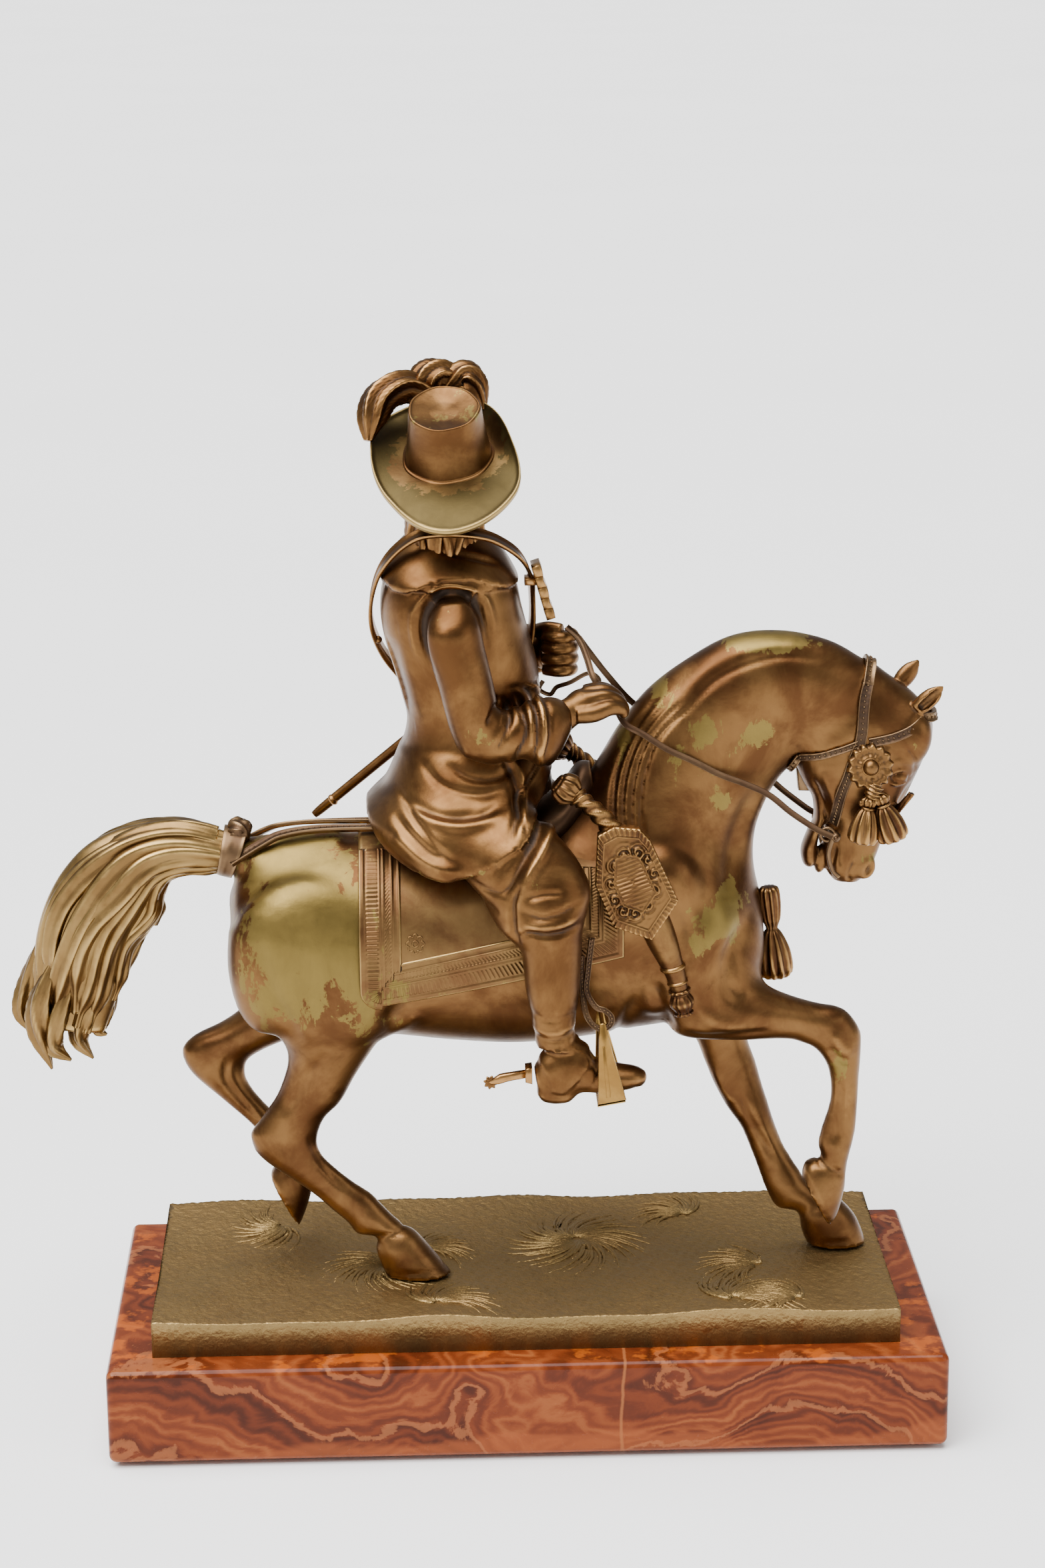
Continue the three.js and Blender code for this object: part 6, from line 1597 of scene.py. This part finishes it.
def beads(path, radius, every):
    """Small round heads at even steps along a path."""
    line = rows_at(path, np.linspace(0, 1, 300))
    run = run_along(line)
    places = np.arange(every / 2, run[-1], every)
    centres = np.stack([np.interp(places, run, line[:, c]) for c in range(3)], 1)
    return merge(*(ball(c, radius, rings=5, sides=8) for c in centres))


plain_head = Volume((88, -24, 198), (172, 24, 312), 0.9)
add_neck_and_head(plain_head)
print("skin at the cheek", on_side(plain_head, [[130, 245]], -1)[0].round(1))

# %% [markdown]
# The bridle is narrow studded leather: a crown strap behind the ears, a browband, a cheekpiece down to
# the bit and a throat latch. Each strap is drawn once and laid on both cheeks, because the head is the
# same on both sides, and a few points over the brow, the poll or the throat join the two halves.

# %% Bridle
CROWN_STRAP = [[128.3, 261.6], [129.3, 268], [130.2, 278.4], [131.6, 285.5]]
BROWBAND = [[132, 263.3], [141, 265], [148, 267.5], [153, 271]]
CHEEKPIECE = [[128, 262], [124.5, 251], [122.3, 244], [121, 236], [120.2, 230]]
THROAT_TAB = [[106.3, 250.5], [113, 253], [113, 240.4], [107.3, 240.6]]
THROAT_LATCH = [[128, 263], [120.2, 259.9], [113.3, 257.4], [106.2, 256.3]]


def over_head(rows, middle, wide, thick, count=26):
    """A strap that runs up one side of the head, over the middle and down the other side."""
    flat = rows_at(rows, np.linspace(0, 1, count))
    right, right_out = on_side(plain_head, flat, -1, 0.35)
    left, left_out = on_side(plain_head, flat, 1, 0.35)
    middle = np.asarray(middle, float)
    path = np.concatenate([right, middle, left[::-1]])
    out = np.concatenate([right_out, unit(middle * [0, 1, 0] + middle_out(middle)), left_out[::-1]])
    band = strap(path, out, wide, thick, 0.55, 0.3, 110)
    return merge(band, beads(path + out * (thick / 2 + 0.05), 0.42, 2.1))


def middle_out(middle):
    """The way out at the points between the sides: ahead on the brow, up on the poll, down below."""
    spots = np.asarray(middle, float)
    return unit(spots - [118, 0, 262]) * 4


def bridle_form():
    """Crown strap, browband and throat latch over the head, a tab, and both studded cheekpieces."""
    crown = over_head(CROWN_STRAP, [[133.2, -4.5, 291.2], [133.6, 0, 292.6], [133.2, 4.5, 291.2]], 4.2, 1.5)
    brow = over_head(BROWBAND, [[157.4, -5.6, 271], [158.5, 0, 271], [157.4, 5.6, 271]], 3.6, 1.4)
    throat = over_head(THROAT_LATCH, [[103.9, -5, 252], [103.3, 0, 250.6], [103.9, 5, 252]], 2.7, 1.5)
    cheeks = []
    for side in (-1, 1):
        path, out = on_side(plain_head, rows_at(CHEEKPIECE, np.linspace(0, 1, 24)), side, 0.5)
        cheeks.append(strap(path, out, 4.2, 1.5, 0.6, 0.3))
        cheeks.append(beads(path + out * 0.8, 0.55, 1.5))
    return merge(crown, brow, throat, prism(THROAT_TAB, 1, 7, 0.6), *cheeks)


piece("bridle_straps", bridle_form(), strap_bronze, ["horse"])

# %% [markdown]
# The bit is a cast bar through the mouth, with a ring for the rein and a curved branch on each side. A
# ring is a grid that closes both ways, so it has no ends to hide.

# %% Bit
WIRE_SIDES = 10


def ring_form(centre, axis, radius, thick, sides=40):
    """Round wire closed on itself: centre + spoke(a) (radius + thick cos b) + axis thick sin b."""
    axis, first, second = square_to(axis, (0.2, 0.3, 0.9))
    a, b = circle(sides)[:, None, None], circle(WIRE_SIDES)[None, :, None]
    spoke = first * np.cos(a) + second * np.sin(a)
    grid = np.asarray(centre, float) + spoke * (radius + thick * np.cos(b)) + axis * thick * np.sin(b)
    rows, cols = np.meshgrid(np.arange(sides) * WIRE_SIDES, np.arange(WIRE_SIDES), indexing="ij")
    ahead, beside = np.roll(rows, -1, 0), np.roll(cols, -1, 1)
    quads = np.stack([rows + cols, rows + beside, ahead + beside, ahead + cols], -1)
    return outward(grid.reshape(-1, 3), quads.reshape(-1, 4), np.zeros((0, 3), int))


def bit_form():
    """The bar, and on each side its ring, its boss with a button, and its branch."""
    forms = [limb([[120, -12, 226, 1.1], [119, 0, 226, 1.1], [120, 12, 226, 1.1]], 12, 16)]
    for side in (-1, 1):
        branch = [[119, side * 12.6, 226, 1.0], [117.4, side * 13, 219.5, 0.9], [119, side * 12.6, 213, 0.8],
                  [121.5, side * 12, 210, 1.0]]
        forms += [ring_form((117, side * 12, 227), (0.1, 1, 0.1), 2.6, 0.7),
                  ball((120, side * 12.2, 226), 2.1), ball((120, side * 14, 226), 0.9), limb(branch, 12, 24)]
    return merge(*forms)


piece("bit_bar", bit_form(), strap_bronze, ["bit"])

# %% [markdown]
# A rosette is a dish with fluted petals and a domed button, and a tassel is a turned collar with a
# skirt of cords under it. Modelling petal by petal or cord by cord would take hundreds of faces for
# each, so both are turned profiles whose radius also waves with the angle.

# %% Rosettes and tassels
DISH = [[1, -2], [8.0, -1.2], [8.4, -0.2], [7.4, 0.9], [5.4, 0.3], [3.6, 1.1], [2.9, 0.6]]
DOME = [[3, 0.2], [2.9, 1.4], [2.2, 2.6], [1.1, 3.3], [0.1, 3.5]]


def rosette(at, axis, petals=14):
    """Petals: both the radius and the height of the dish wave with cos(petals a)."""
    profile = rows_at(DISH, np.linspace(0, 1, 26))
    axis, first, second = square_to(axis, (0.3, 0.1, 0.9))
    a = circle(112)[None]
    radius, height = profile[:, :1], profile[:, 1:]
    share = np.clip((radius - 3) / 5, 0, 1)
    r = radius * (1 + 0.055 * share * np.cos(petals * a))
    h = height + 0.55 * share * (np.abs(np.cos(petals * a / 2)) - 0.5) * (height > -1)
    spoke = first * np.cos(a)[..., None] + second * np.sin(a)[..., None]
    dish = tube(np.asarray(at, float) + spoke * r[..., None] + axis * h[..., None])
    dome = turned(DOME, at, axis, 28, steps=16)
    collar = ring_form(np.asarray(at, float) + axis * 0.9, axis, 3.2, 0.4, 36)
    return merge(dish, dome, collar)


def tassel(top, axis, size, profile, cords=9, twist=1.6):
    """Collar and skirt: the skirt's radius waves with the angle, and the wave turns on the way down."""
    body = turned(np.array(profile) * size, top, axis, 56, cords, 0.11, 36, twist)
    collar_at = np.asarray(top, float) - unit(np.asarray(axis, float)) * 4.8 * size
    return merge(body, ring_form(collar_at, axis, 2.2 * size, 0.5 * size))


# Radius and height of the two kinds of tassel.
SMALL_TASSEL = [
    [0.2, 0.4], [2.8, -1.6], [2.6, -3.4], [1.9, -4.6], [3.4, -7], [4.9, -12], [4.7, -17.4], [0.2, -18],
]
BREAST_TASSEL = [
    [0.2, 2], [3.4, 1], [4, -4], [3.4, -11], [2.1, -15], [3.2, -17], [4.6, -20], [6.1, -26], [5.9, -34],
    [0.2, -36],
]


def cheek_ornament():
    """Rosette, knot, two tassels and a bead on the horse's right cheek."""
    knot = [[133.8, -16.5, 248.4, 2.4], [133.8, -16.6, 245, 3.2], [133.9, -16.5, 241.8, 2.3]]
    return merge(rosette((132.3, -16.4, 254.6), (0.05, -1, 0.12)), lock(knot, 4, 0.16, 1.2, 28, 26),
                 tassel((132.5, -16.5, 243.5), (0.16, 0, 1), 1.05, SMALL_TASSEL),
                 tassel((135.5, -16.5, 244.5), (-0.34, 0, 1), 1.1, SMALL_TASSEL),
                 ball((129.2, -16.5, 240.4), (1.3, 1.2, 1.4)))


copper = bronze("copper_bronze", (0.066, 0.027, 0.012), (0.38, 0.21, 0.07), DARK, BRASS, 0.38, -0.08)
cheek = cheek_ornament()
piece("right_rosette_petals", cheek, copper, ["right_rosette"])
piece("left_rosette_petals", mirrored(cheek), copper, ["left_rosette"])
piece("chest_tassel", tassel((96, -1, 201.5), (-0.09, 0, 1), 1.0, BREAST_TASSEL, 11, 3.2), copper,
      ["breast_tassel"])

# %% [markdown]
# A holster has three parts: the pistol's fluted pommel and roped grip, a stiff leather cover with chased
# scrolls, and the tapering tube that ends in a ribbed urn. The cover is a stack of rings that shrink
# towards its middle, and each ring's height comes from the pattern at its points.

# %% Holsters
COVER = [
    [28, 236], [34, 239.3], [43.6, 238.3], [47.4, 234], [58.2, 209.7], [48.4, 194.6], [34, 200], [27, 216.5],
]
# Its parts as shares of the outline: rim from, place and width of both lines, scrolls between, panel to.
COVER_PARTS = {"rim": 0.86, "lines": ((0.825, 0.013), (0.50, 0.016)), "scrolls": (0.52, 0.81), "panel": 0.46}
SCROLLS = 11
COVER_PROUD = 38.3


def outline_points(outline, count):
    """Points at even steps round a polygon, with its corners kept."""
    ring = np.array([*outline, outline[0]], float)
    run = run_along(ring)
    places = np.sort(np.concatenate([np.linspace(0, run[-1], count, endpoint=False), run[1:-1]]))
    return np.stack([np.interp(places, run, ring[:, c]) for c in (0, 1)], 1), places


def cover_relief(share, along, flat, middle):
    """Hatched rim, a line, scrolls, a line and a ribbed panel, by the share of the full outline. A
    scroll is cos(2 pi r / step - turn) exp(-(r / reach) squared) round a place on a slanting oval, and
    every second one winds the other way."""
    scroll_step, scroll_reach, rib_step = 2.1, 3.4, 1.7
    rim = (0.42 + 0.34 * np.cos(2 * np.pi * along / scroll_step)) * (share > COVER_PARTS["rim"])
    lines = 0.7 * sum(line_at(share, place, width) for place, width in COVER_PARTS["lines"])
    scroll = 0
    for k in range(SCROLLS):
        a = 2 * np.pi * k / SCROLLS
        oval = np.array([11.5 * np.cos(a) + 4 * np.sin(a), 17.5 * np.sin(a) - 5 * np.cos(a)])
        off = flat - (middle + 0.66 * oval)
        r, turn = np.hypot(off[..., 0], off[..., 1]), np.arctan2(off[..., 1], off[..., 0])
        wave = 0.62 * np.cos(2 * np.pi * r / scroll_step - turn * (-1) ** k)
        scroll = scroll + wave * np.exp(-(r / scroll_reach) ** 2)
    inner, outer = COVER_PARTS["scrolls"]
    scroll = 1.15 * scroll * (share < outer) * (share > inner)
    slope = flat[..., 0] * 0.35 - flat[..., 1]
    ribs = (0.35 + 0.26 * np.cos(2 * np.pi * slope / rib_step)) * (share < COVER_PARTS["panel"])
    return rim + lines + scroll + ribs


def cover_form():
    """Rings of the outline shrunk by share, from the skirt at the back to the middle of the panel."""
    outline, along = outline_points(COVER, 200)
    middle = outline.mean(0)
    share = np.concatenate([[1, 1, 0.985], np.linspace(0.965, 0.03, 48)])[:, None]
    flat = middle + (outline - middle)[None] * share[..., None]
    crowned = 0.5 * np.clip((0.98 - share) * 4, 0, 1)
    proud = COVER_PROUD + cover_relief(share, along[None], flat, middle) + crowned
    proud[0], proud[1] = 34, 37.9
    return tube(np.stack([flat[..., 0], -proud, flat[..., 1]], -1))


GRIP = [
    [17, -31, 252, 3.4], [20, -31.4, 249.8, 3.7], [24, -32.5, 247, 3.1], [31, -33.6, 240.5, 3.5],
    [36, -34, 233, 4],
]
POMMEL = [[0.2, -5], [3.6, -4.4], [5.8, -1.6], [6, 0.4], [5, 3], [3.6, 3.9], [3.4, 4.4], [2, 4.9], [0.2, 5]]
BARREL = [
    [38, -31, 226, 5], [46, -31.4, 208, 6.2], [52, -32, 194, 5.9], [57, -33, 181, 4], [59.5, -33, 172, 3],
]
BARREL_AXIS = (-0.2, 0, 1)
URN = [
    [0.2, -6], [3.2, -5.6], [3.6, -4.6], [2.9, -4], [4.6, -1], [4.2, 1], [3.2, 2.8], [4, 3.6], [4, 4.6],
    [0.2, 5.6],
]


def holster_form():
    """The right holster: fluted pommel, roped grip, cover, barrel with two rings, and the urn."""
    return merge(
        turned(POMMEL, (16.6, -31, 252.2), (-0.8, 0, 0.6), 84, 12, 0.06, 40, 0.6),
        lock(GRIP, 3, 0.13, 2.6, 30, 70), cover_form(), limb(BARREL, 36, 50),
        turned([[4.4, -1], [5, 0], [4.4, 1]], (56.6, -33, 182), BARREL_AXIS, 32),
        turned([[3.4, -0.8], [4.1, 0], [3.4, 0.8]], (58.4, -33, 176), BARREL_AXIS, 32),
        turned(URN, (60, -33, 168.5), BARREL_AXIS, 60, 12, 0.05, 40))


holster = holster_form()
piece("right_holster_chased", holster, copper, ["right_holster"])
piece("left_holster_chased", mirrored(holster), copper, ["left_holster"])

# %% [markdown]
# Stirrups are flat iron plates joined by a tread and a bar, and hang in a strap with studs. The spur's
# shank stands back from the heel on a yoke. Thin plates get a small bevel, so their edges catch light.

# %% Stirrups and spurs
STIRRUP_SIDE = [[27.7, 169], [29.7, 169], [30.9, 163.2], [37.5, 138.6], [26.8, 136.8], [27.2, 163]]
STIRRUP_RIB = [[28.6, 160], [29.4, 160], [31.6, 140], [30, 139.7]]
TREAD = [[26.8, 135.8], [37.3, 137.6], [37.3, 138.8], [26.8, 137.4]]
LEATHER = [
    [25.6, -41, 197], [24, -42, 184], [23.4, -44, 177], [26.5, -47, 172], [30, -48, 170.6],
    [32.4, -48, 168],
    [31.8, -48, 164.8], [28.8, -48, 163.4], [25.4, -47.5, 165], [22.9, -46.5, 169.5], [21.9, -43.5, 176],
    [21.6, -41.4, 184], [21.8, -41, 190],
]
SHANK = [
    [1, 147.4], [1, 144.4], [-6, 143.2], [-10, 142], [-13, 142], [-13.8, 143], [-9.6, 145.8], [-6, 146.4],
]
YOKE = [[2.6, 149.2], [0, 148.8], [0, 143.4], [2.6, 142.6]]
ROWEL = [[0.2, -0.5], [2.2, -0.4], [2.2, 0.4], [0.2, 0.5]]


def stirrup_form():
    """Two side plates with ribs, seven bars of the tread on a base plate, and the bar on top."""
    plates = [prism(STIRRUP_SIDE, y, y + 1.4, 0.35) for y in (-58.4, -39)]
    ribs = [prism(STIRRUP_RIB, y, y + 0.7, 0.15) for y in (-58.9, -57.2, -39.4, -37.9)]
    treads = [prism(TREAD, y, y + 1.1, 0.2) for y in (-57.4, -54.8, -52.2, -49.6, -47, -44.4, -41.8)]
    base = prism([[x, z - 0.3] for x, z in TREAD], -57.4, -38.6, 0.2)
    bar = limb([[28.8, -58, 167.2, 0.8], [28.8, -38, 167.2, 0.8]], 14, 6)
    return merge(*plates, *ribs, *treads, base, bar)


def leather_form():
    """The strap that the stirrup hangs in, with a row of studs on its outer face."""
    path, outer = np.array(LEATHER, float), np.array([0.2, -1, 0])
    return merge(strap(path, outer, 2.2, 1.1, 0.35, 0.15, 110), beads(path + unit(outer) * 0.55, 0.4, 1.5))


def spur_form():
    """Shank, yoke round the heel, and a rowel with eight rounded points."""
    rowel = turned(ROWEL, (-13, -47.6, 142.6), (0, 1, 0), 48, 8, 0.16)
    return merge(prism(SHANK, -48.8, -46.4, 0.5), prism(YOKE, -51, -44, 0.4), rowel)


for name, build, metal, slot_name in (("stirrup", stirrup_form, gilt, "gilt"),
                                      ("stirrup_strap", leather_form, strap_bronze, "strap_bronze"),
                                      ("spur", spur_form, rider_bronze, "bronze")):
    form = build()
    piece(f"right_{name}_worked", form, metal, [f"right_{name}"])
    piece(f"left_{name}_worked", mirrored(form), metal, [f"left_{name}"])

# %% [markdown]
# The crupper holds the saddle back: a band round the dock and two straps along the croup. The baldric is
# a wide belt over the shoulder that carries the sword, and an ornament of bars hangs from the breast.
# Each was cast apart and pinned on, so each is its own piece and lies on the body like a strap.

# %% Crupper, baldric, ornament and sword
DOCK_BAND = [
    [-112.5, 231, -116, 212, 0, 9.8], [-109.6, 230.8, -114.4, 211.4, 0, 10.5],
    [-107, 230.6, -113, 211, 0, 10.4], [-103.4, 230, -110.6, 210.4, 0, 10.7],
]
CRUPPER_STRAP = [[-53, 5, 230.4], [-76, 5, 230.4], [-90, 6.5, 229], [-98, 8.6, 226], [-110, 9.6, 219]]
BALDRIC = [
    [-27, 31, 268], [-38, 28, 276], [-45, 22, 285], [-51, 15, 295], [-54.5, 6, 306], [-55, 0, 316],
    [-53, -7, 327], [-49.5, -12, 335], [-43.5, -15, 342], [-36, -17, 346.5], [-26, -18, 347.6],
    [-15.5, -17, 346.5], [-8, -14, 343.5], [0, -9, 337], [4.3, -2, 328.5], [5.4, 5, 319.5], [5.8, 10, 309],
    [5.2, 13.6, 300], [3.2, 16, 292], [-1, 20.3, 284], [-7, 25, 278], [-16, 29, 272],
]


def crupper_form():
    """Two straps whose tops turn from upwards to backwards, the band round the dock and a braid."""
    share = np.linspace(0, 1, 5)[:, None]
    straps = []
    for side in (-1, 1):
        path = np.array(CRUPPER_STRAP, float) * [1, side, 1]
        out = np.concatenate([-share, 0.9 * side * share, 1 + 0 * share], 1)
        straps += [strap(path, out, 3.6, 1.6, 0.5, 0.3), beads(path + unit(out) * 0.8, 0.45, 2.2)]
    braid = lock([[-107, -6, 228, 3], [-107, -1, 229.4, 4.6], [-107, 5, 228.4, 3]], 4, 0.14, 1.0, 30, 30)
    return merge(loft(DOCK_BAND, 20, 44), braid, *straps)


def baldric_form():
    """A closed strap that faces away from the middle of the trunk, with a clip and a knob."""
    path = np.array(BALDRIC + BALDRIC[:1], float)
    out = path - [-24, 4, 306]
    clip = prism([[2.6, 326.5], [7.2, 326.5], [7.2, 323.6], [2.6, 323.6]], -3.4, 3.4, 0.4)
    return merge(strap(path, out, 5.5, 1.1, 0.7, 0.3, 150), clip, ball((-52.6, 8, 301), (1.5, 1.5, 1.5)))


def turned_about_y(form, centre, angle):
    spin = np.array(Matrix.Rotation(angle, 3, "Y"))
    return form._replace(points=(form.points - centre) @ spin.T + centre)


def ornament_form():
    """Five bars of a hanging ornament, each a little narrower and set forward on the one above."""
    bars = []
    for k in range(5):
        x, y, z = 7.2 + 1.15 * k, -2, 330 - 4.2 * k
        half = 6.5 - 0.6 * k
        section = [[x - 1.7, z - 2.2], [x + 1.7, z - 2.2], [x + 1.9 - 0.6 * (k % 2), z],
                   [x + 1.7, z + 2.2], [x - 1.7, z + 2.2]]
        bars.append(turned_about_y(prism(section, y - half, y + half, 0.4), np.array([x, y, z]), -0.3))
    return merge(*bars)


def sword_form():
    """Scabbard with a ring near its end, guard, roped grip and pommel, on the rider's left hip."""
    scabbard = [[-79.5, 43, 222, 1.5], [-74, 42.2, 226.8, 1.9], [-50, 39.5, 247.2, 2.0],
                [-28, 36.5, 266, 2.0]]
    grip = [[-27, 36.6, 267, 1.5], [-22, 36.2, 271, 1.9], [-18, 36, 274.5, 1.5]]
    return merge(
        limb(scabbard, 24, 50, 0.75),
        turned([[1.7, -1.2], [2.4, 0], [1.7, 1.2]], (-72, 42, 228.3), (0.74, -0.09, 0.63), 24),
        ball((-27.5, 36.6, 266.5), (2, 4, 4), (0, -40, 0)),
        lock(grip, 3, 0.14, 2.5, 24, 30), ball((-17, 36, 275.4), 2.5))


piece("crupper_worked", crupper_form(), strap_bronze, ["crupper"])
piece("baldric_strap", baldric_form(), rider_bronze, ["baldric"])
piece("ornament_bars", ornament_form(), copper, ["breast_ornament"])
piece("sword_worked", sword_form(), rider_bronze, ["sword"])

# %% [markdown]
# The reins are cut from bronze strip and soldered at both ends, so they keep their curve and need no
# simulation. They run from the bit to the left fist, and the spare length lies in loops below it.

# %% Reins
RIGHT_REIN = [
    [19, 8.5, 304.6], [23, 1, 302], [25.5, -8, 297], [27.5, -14.5, 291], [31, -15.8, 286], [35.5, -16.2, 280],
    [39.5, -19, 273.5], [46, -20.6, 270], [55, -20.4, 264], [65, -20, 259], [75, -19.4, 253.5],
    [85, -18.6, 249.3],
    [94, -17.4, 244.5], [102, -15.8, 237.5], [108.5, -14.4, 232.5], [113.6, -13.4, 229], [119, -13.4, 226.4],
]
# The left rein starts at the fist and follows the same line along the neck, on the other side.
LEFT_REIN = [
    [23.4, 11, 300], [28.6, 11.5, 292.6], [35, 12.5, 284], [44, 16.5, 273], [55, 20, 264.5],
    *([x, -y, z] for x, y, z in RIGHT_REIN[-8:]),
]
REIN_LOOPS = [
    [10, 14, 282.4], [8.5, 12.5, 279.5], [12.5, 11, 277.8], [15, 9.5, 281], [20, 7, 283.4], [27, 6.5, 287],
    [31, 6, 284.5], [29.5, 5, 280.5],
]
REIN = {"wide": 2.4, "thick": 0.95, "out": (0.1, -1, 0.2)}
for name, rows, steps, share in (("right_rein", RIGHT_REIN, 150, 1.0), ("left_rein", LEFT_REIN, 120, 1.0),
                                 ("rein_loops", REIN_LOOPS, 80, 0.7)):
    strip = strap(rows, REIN["out"], REIN["wide"] * share, REIN["thick"] * share, 0.4, 0.12, steps)
    piece(name + "_strip", strip, strap_bronze, [name])

# %% [markdown]
# Under the plinth a sheet of baize is glued on, and four cut felt pads keep the stone off the table. The
# pads go exactly where the CAD has them, so their corners come from its boxes.

# %% Baize and pads
BAIZE = {"inset": 14, "thick": 0.6, "gap": 0.02, "round": 0.28}
baize_long, baize_deep = half_long - BAIZE["inset"], half_deep - BAIZE["inset"]
baize = rounded_block((-baize_long, -baize_deep, -BAIZE["thick"]), (baize_long, baize_deep, -BAIZE["gap"]),
                      BAIZE["round"])
piece("baize_sheet", baize, felt, ["underside_baize"])
for name in ("felt_pad_1", "felt_pad_2", "felt_pad_3", "felt_pad_4"):
    low, high = ((np.array(corner) - SHIFT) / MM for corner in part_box(name))
    piece(name + "_cut", rounded_block(low, high, 0.6), felt, [name])

# %% [markdown]
# The camera looks down a little from the horse's right side, through a long lens, so that near and far
# parts keep their sizes. Its turn is a yaw, then a pitch, then a roll about the way it looks.

# %% Camera
CAMERA = {"lens": 79.4, "at": (-40, -1267, 609), "yaw_pitch_roll": (-1.87, 74, -0.42)}
camera_data = bpy.data.cameras.new("camera")
camera_data.lens = CAMERA["lens"]
camera_data.sensor_fit = "VERTICAL"
camera_data.sensor_height = 36
camera = bpy.data.objects.new("camera", camera_data)
bpy.context.scene.collection.objects.link(camera)
yaw, pitch, roll = np.radians(CAMERA["yaw_pitch_roll"])
view = Matrix.Rotation(yaw, 4, "Z") @ Matrix.Rotation(pitch, 4, "X") @ Matrix.Rotation(roll, 4, "Z")
camera.matrix_world = Matrix.Translation(Vector(np.array(CAMERA["at"]) * MM + SHIFT)) @ view
bpy.context.scene.camera = camera

# %% [markdown]
# A plain pale floor and soft studio light. One lamp above would leave a hard shadow and a dark floor
# behind. So a wide far light stands for a ceiling of soft boxes, and two area lights shape the forms.

# %% Floor and light
STUDIO = {"world": 0.5, "ceiling": 7.4, "floor_half": 60}
floor = bpy.data.meshes.new("floor")
floor.from_pydata([(x * STUDIO["floor_half"], y * STUDIO["floor_half"], 0)
                   for x, y in ((-1, -1), (1, -1), (1, 1), (-1, 1))], [], [(0, 1, 2, 3)])
floor_object = bpy.data.objects.new("floor", floor)
bpy.context.scene.collection.objects.link(floor_object)
floor_material, floor_where, _, floor_feed = new_material("paper")
floor_tone = floor_where.noise(2.0, 2.0).between(0.3, 0.7)
floor_feed(base_color=floor_tone.mix((0.93, 0.93, 0.93), (0.95, 0.95, 0.95)), roughness=0.9)
floor.materials.append(floor_material)
world = bpy.data.worlds.new("studio")
bpy.context.scene.world = world
world.use_nodes = True
background = world.node_tree.nodes["Background"]
background.inputs["Color"].default_value = (1, 1, 1, 1)
background.inputs["Strength"].default_value = STUDIO["world"]


def wide_sun(name, towards, power, spread):
    """A far light as wide as a ceiling of soft boxes, which lights the whole floor evenly."""
    data = bpy.data.lights.new(name, "SUN")
    data.energy, data.angle = power, np.radians(spread)
    obj = bpy.data.objects.new(name, data)
    obj.rotation_euler = Vector(towards).to_track_quat("-Z", "Y").to_euler()
    bpy.context.scene.collection.objects.link(obj)


def area_light(name, at, towards, size, power):
    """A square lamp that faces a place."""
    data = bpy.data.lights.new(name, "AREA")
    data.size, data.energy = size, power
    obj = bpy.data.objects.new(name, data)
    obj.location = at
    obj.rotation_euler = (Vector(towards) - Vector(at)).to_track_quat("-Z", "Y").to_euler()
    bpy.context.scene.collection.objects.link(obj)


wide_sun("ceiling", (0.25, 0.2, -1), STUDIO["ceiling"], 60)
area_light("key", (-0.9, -1.0, 1.3), (0, 0, 0.2), 0.7, 14)
area_light("fill", (1.3, -0.9, 0.7), (0, 0, 0.2), 0.9, 5)

# %% [markdown]
# The triangles of all the pieces are counted, and their number is printed.

# %% Triangle count
print("triangles in all", sum(made.values()))
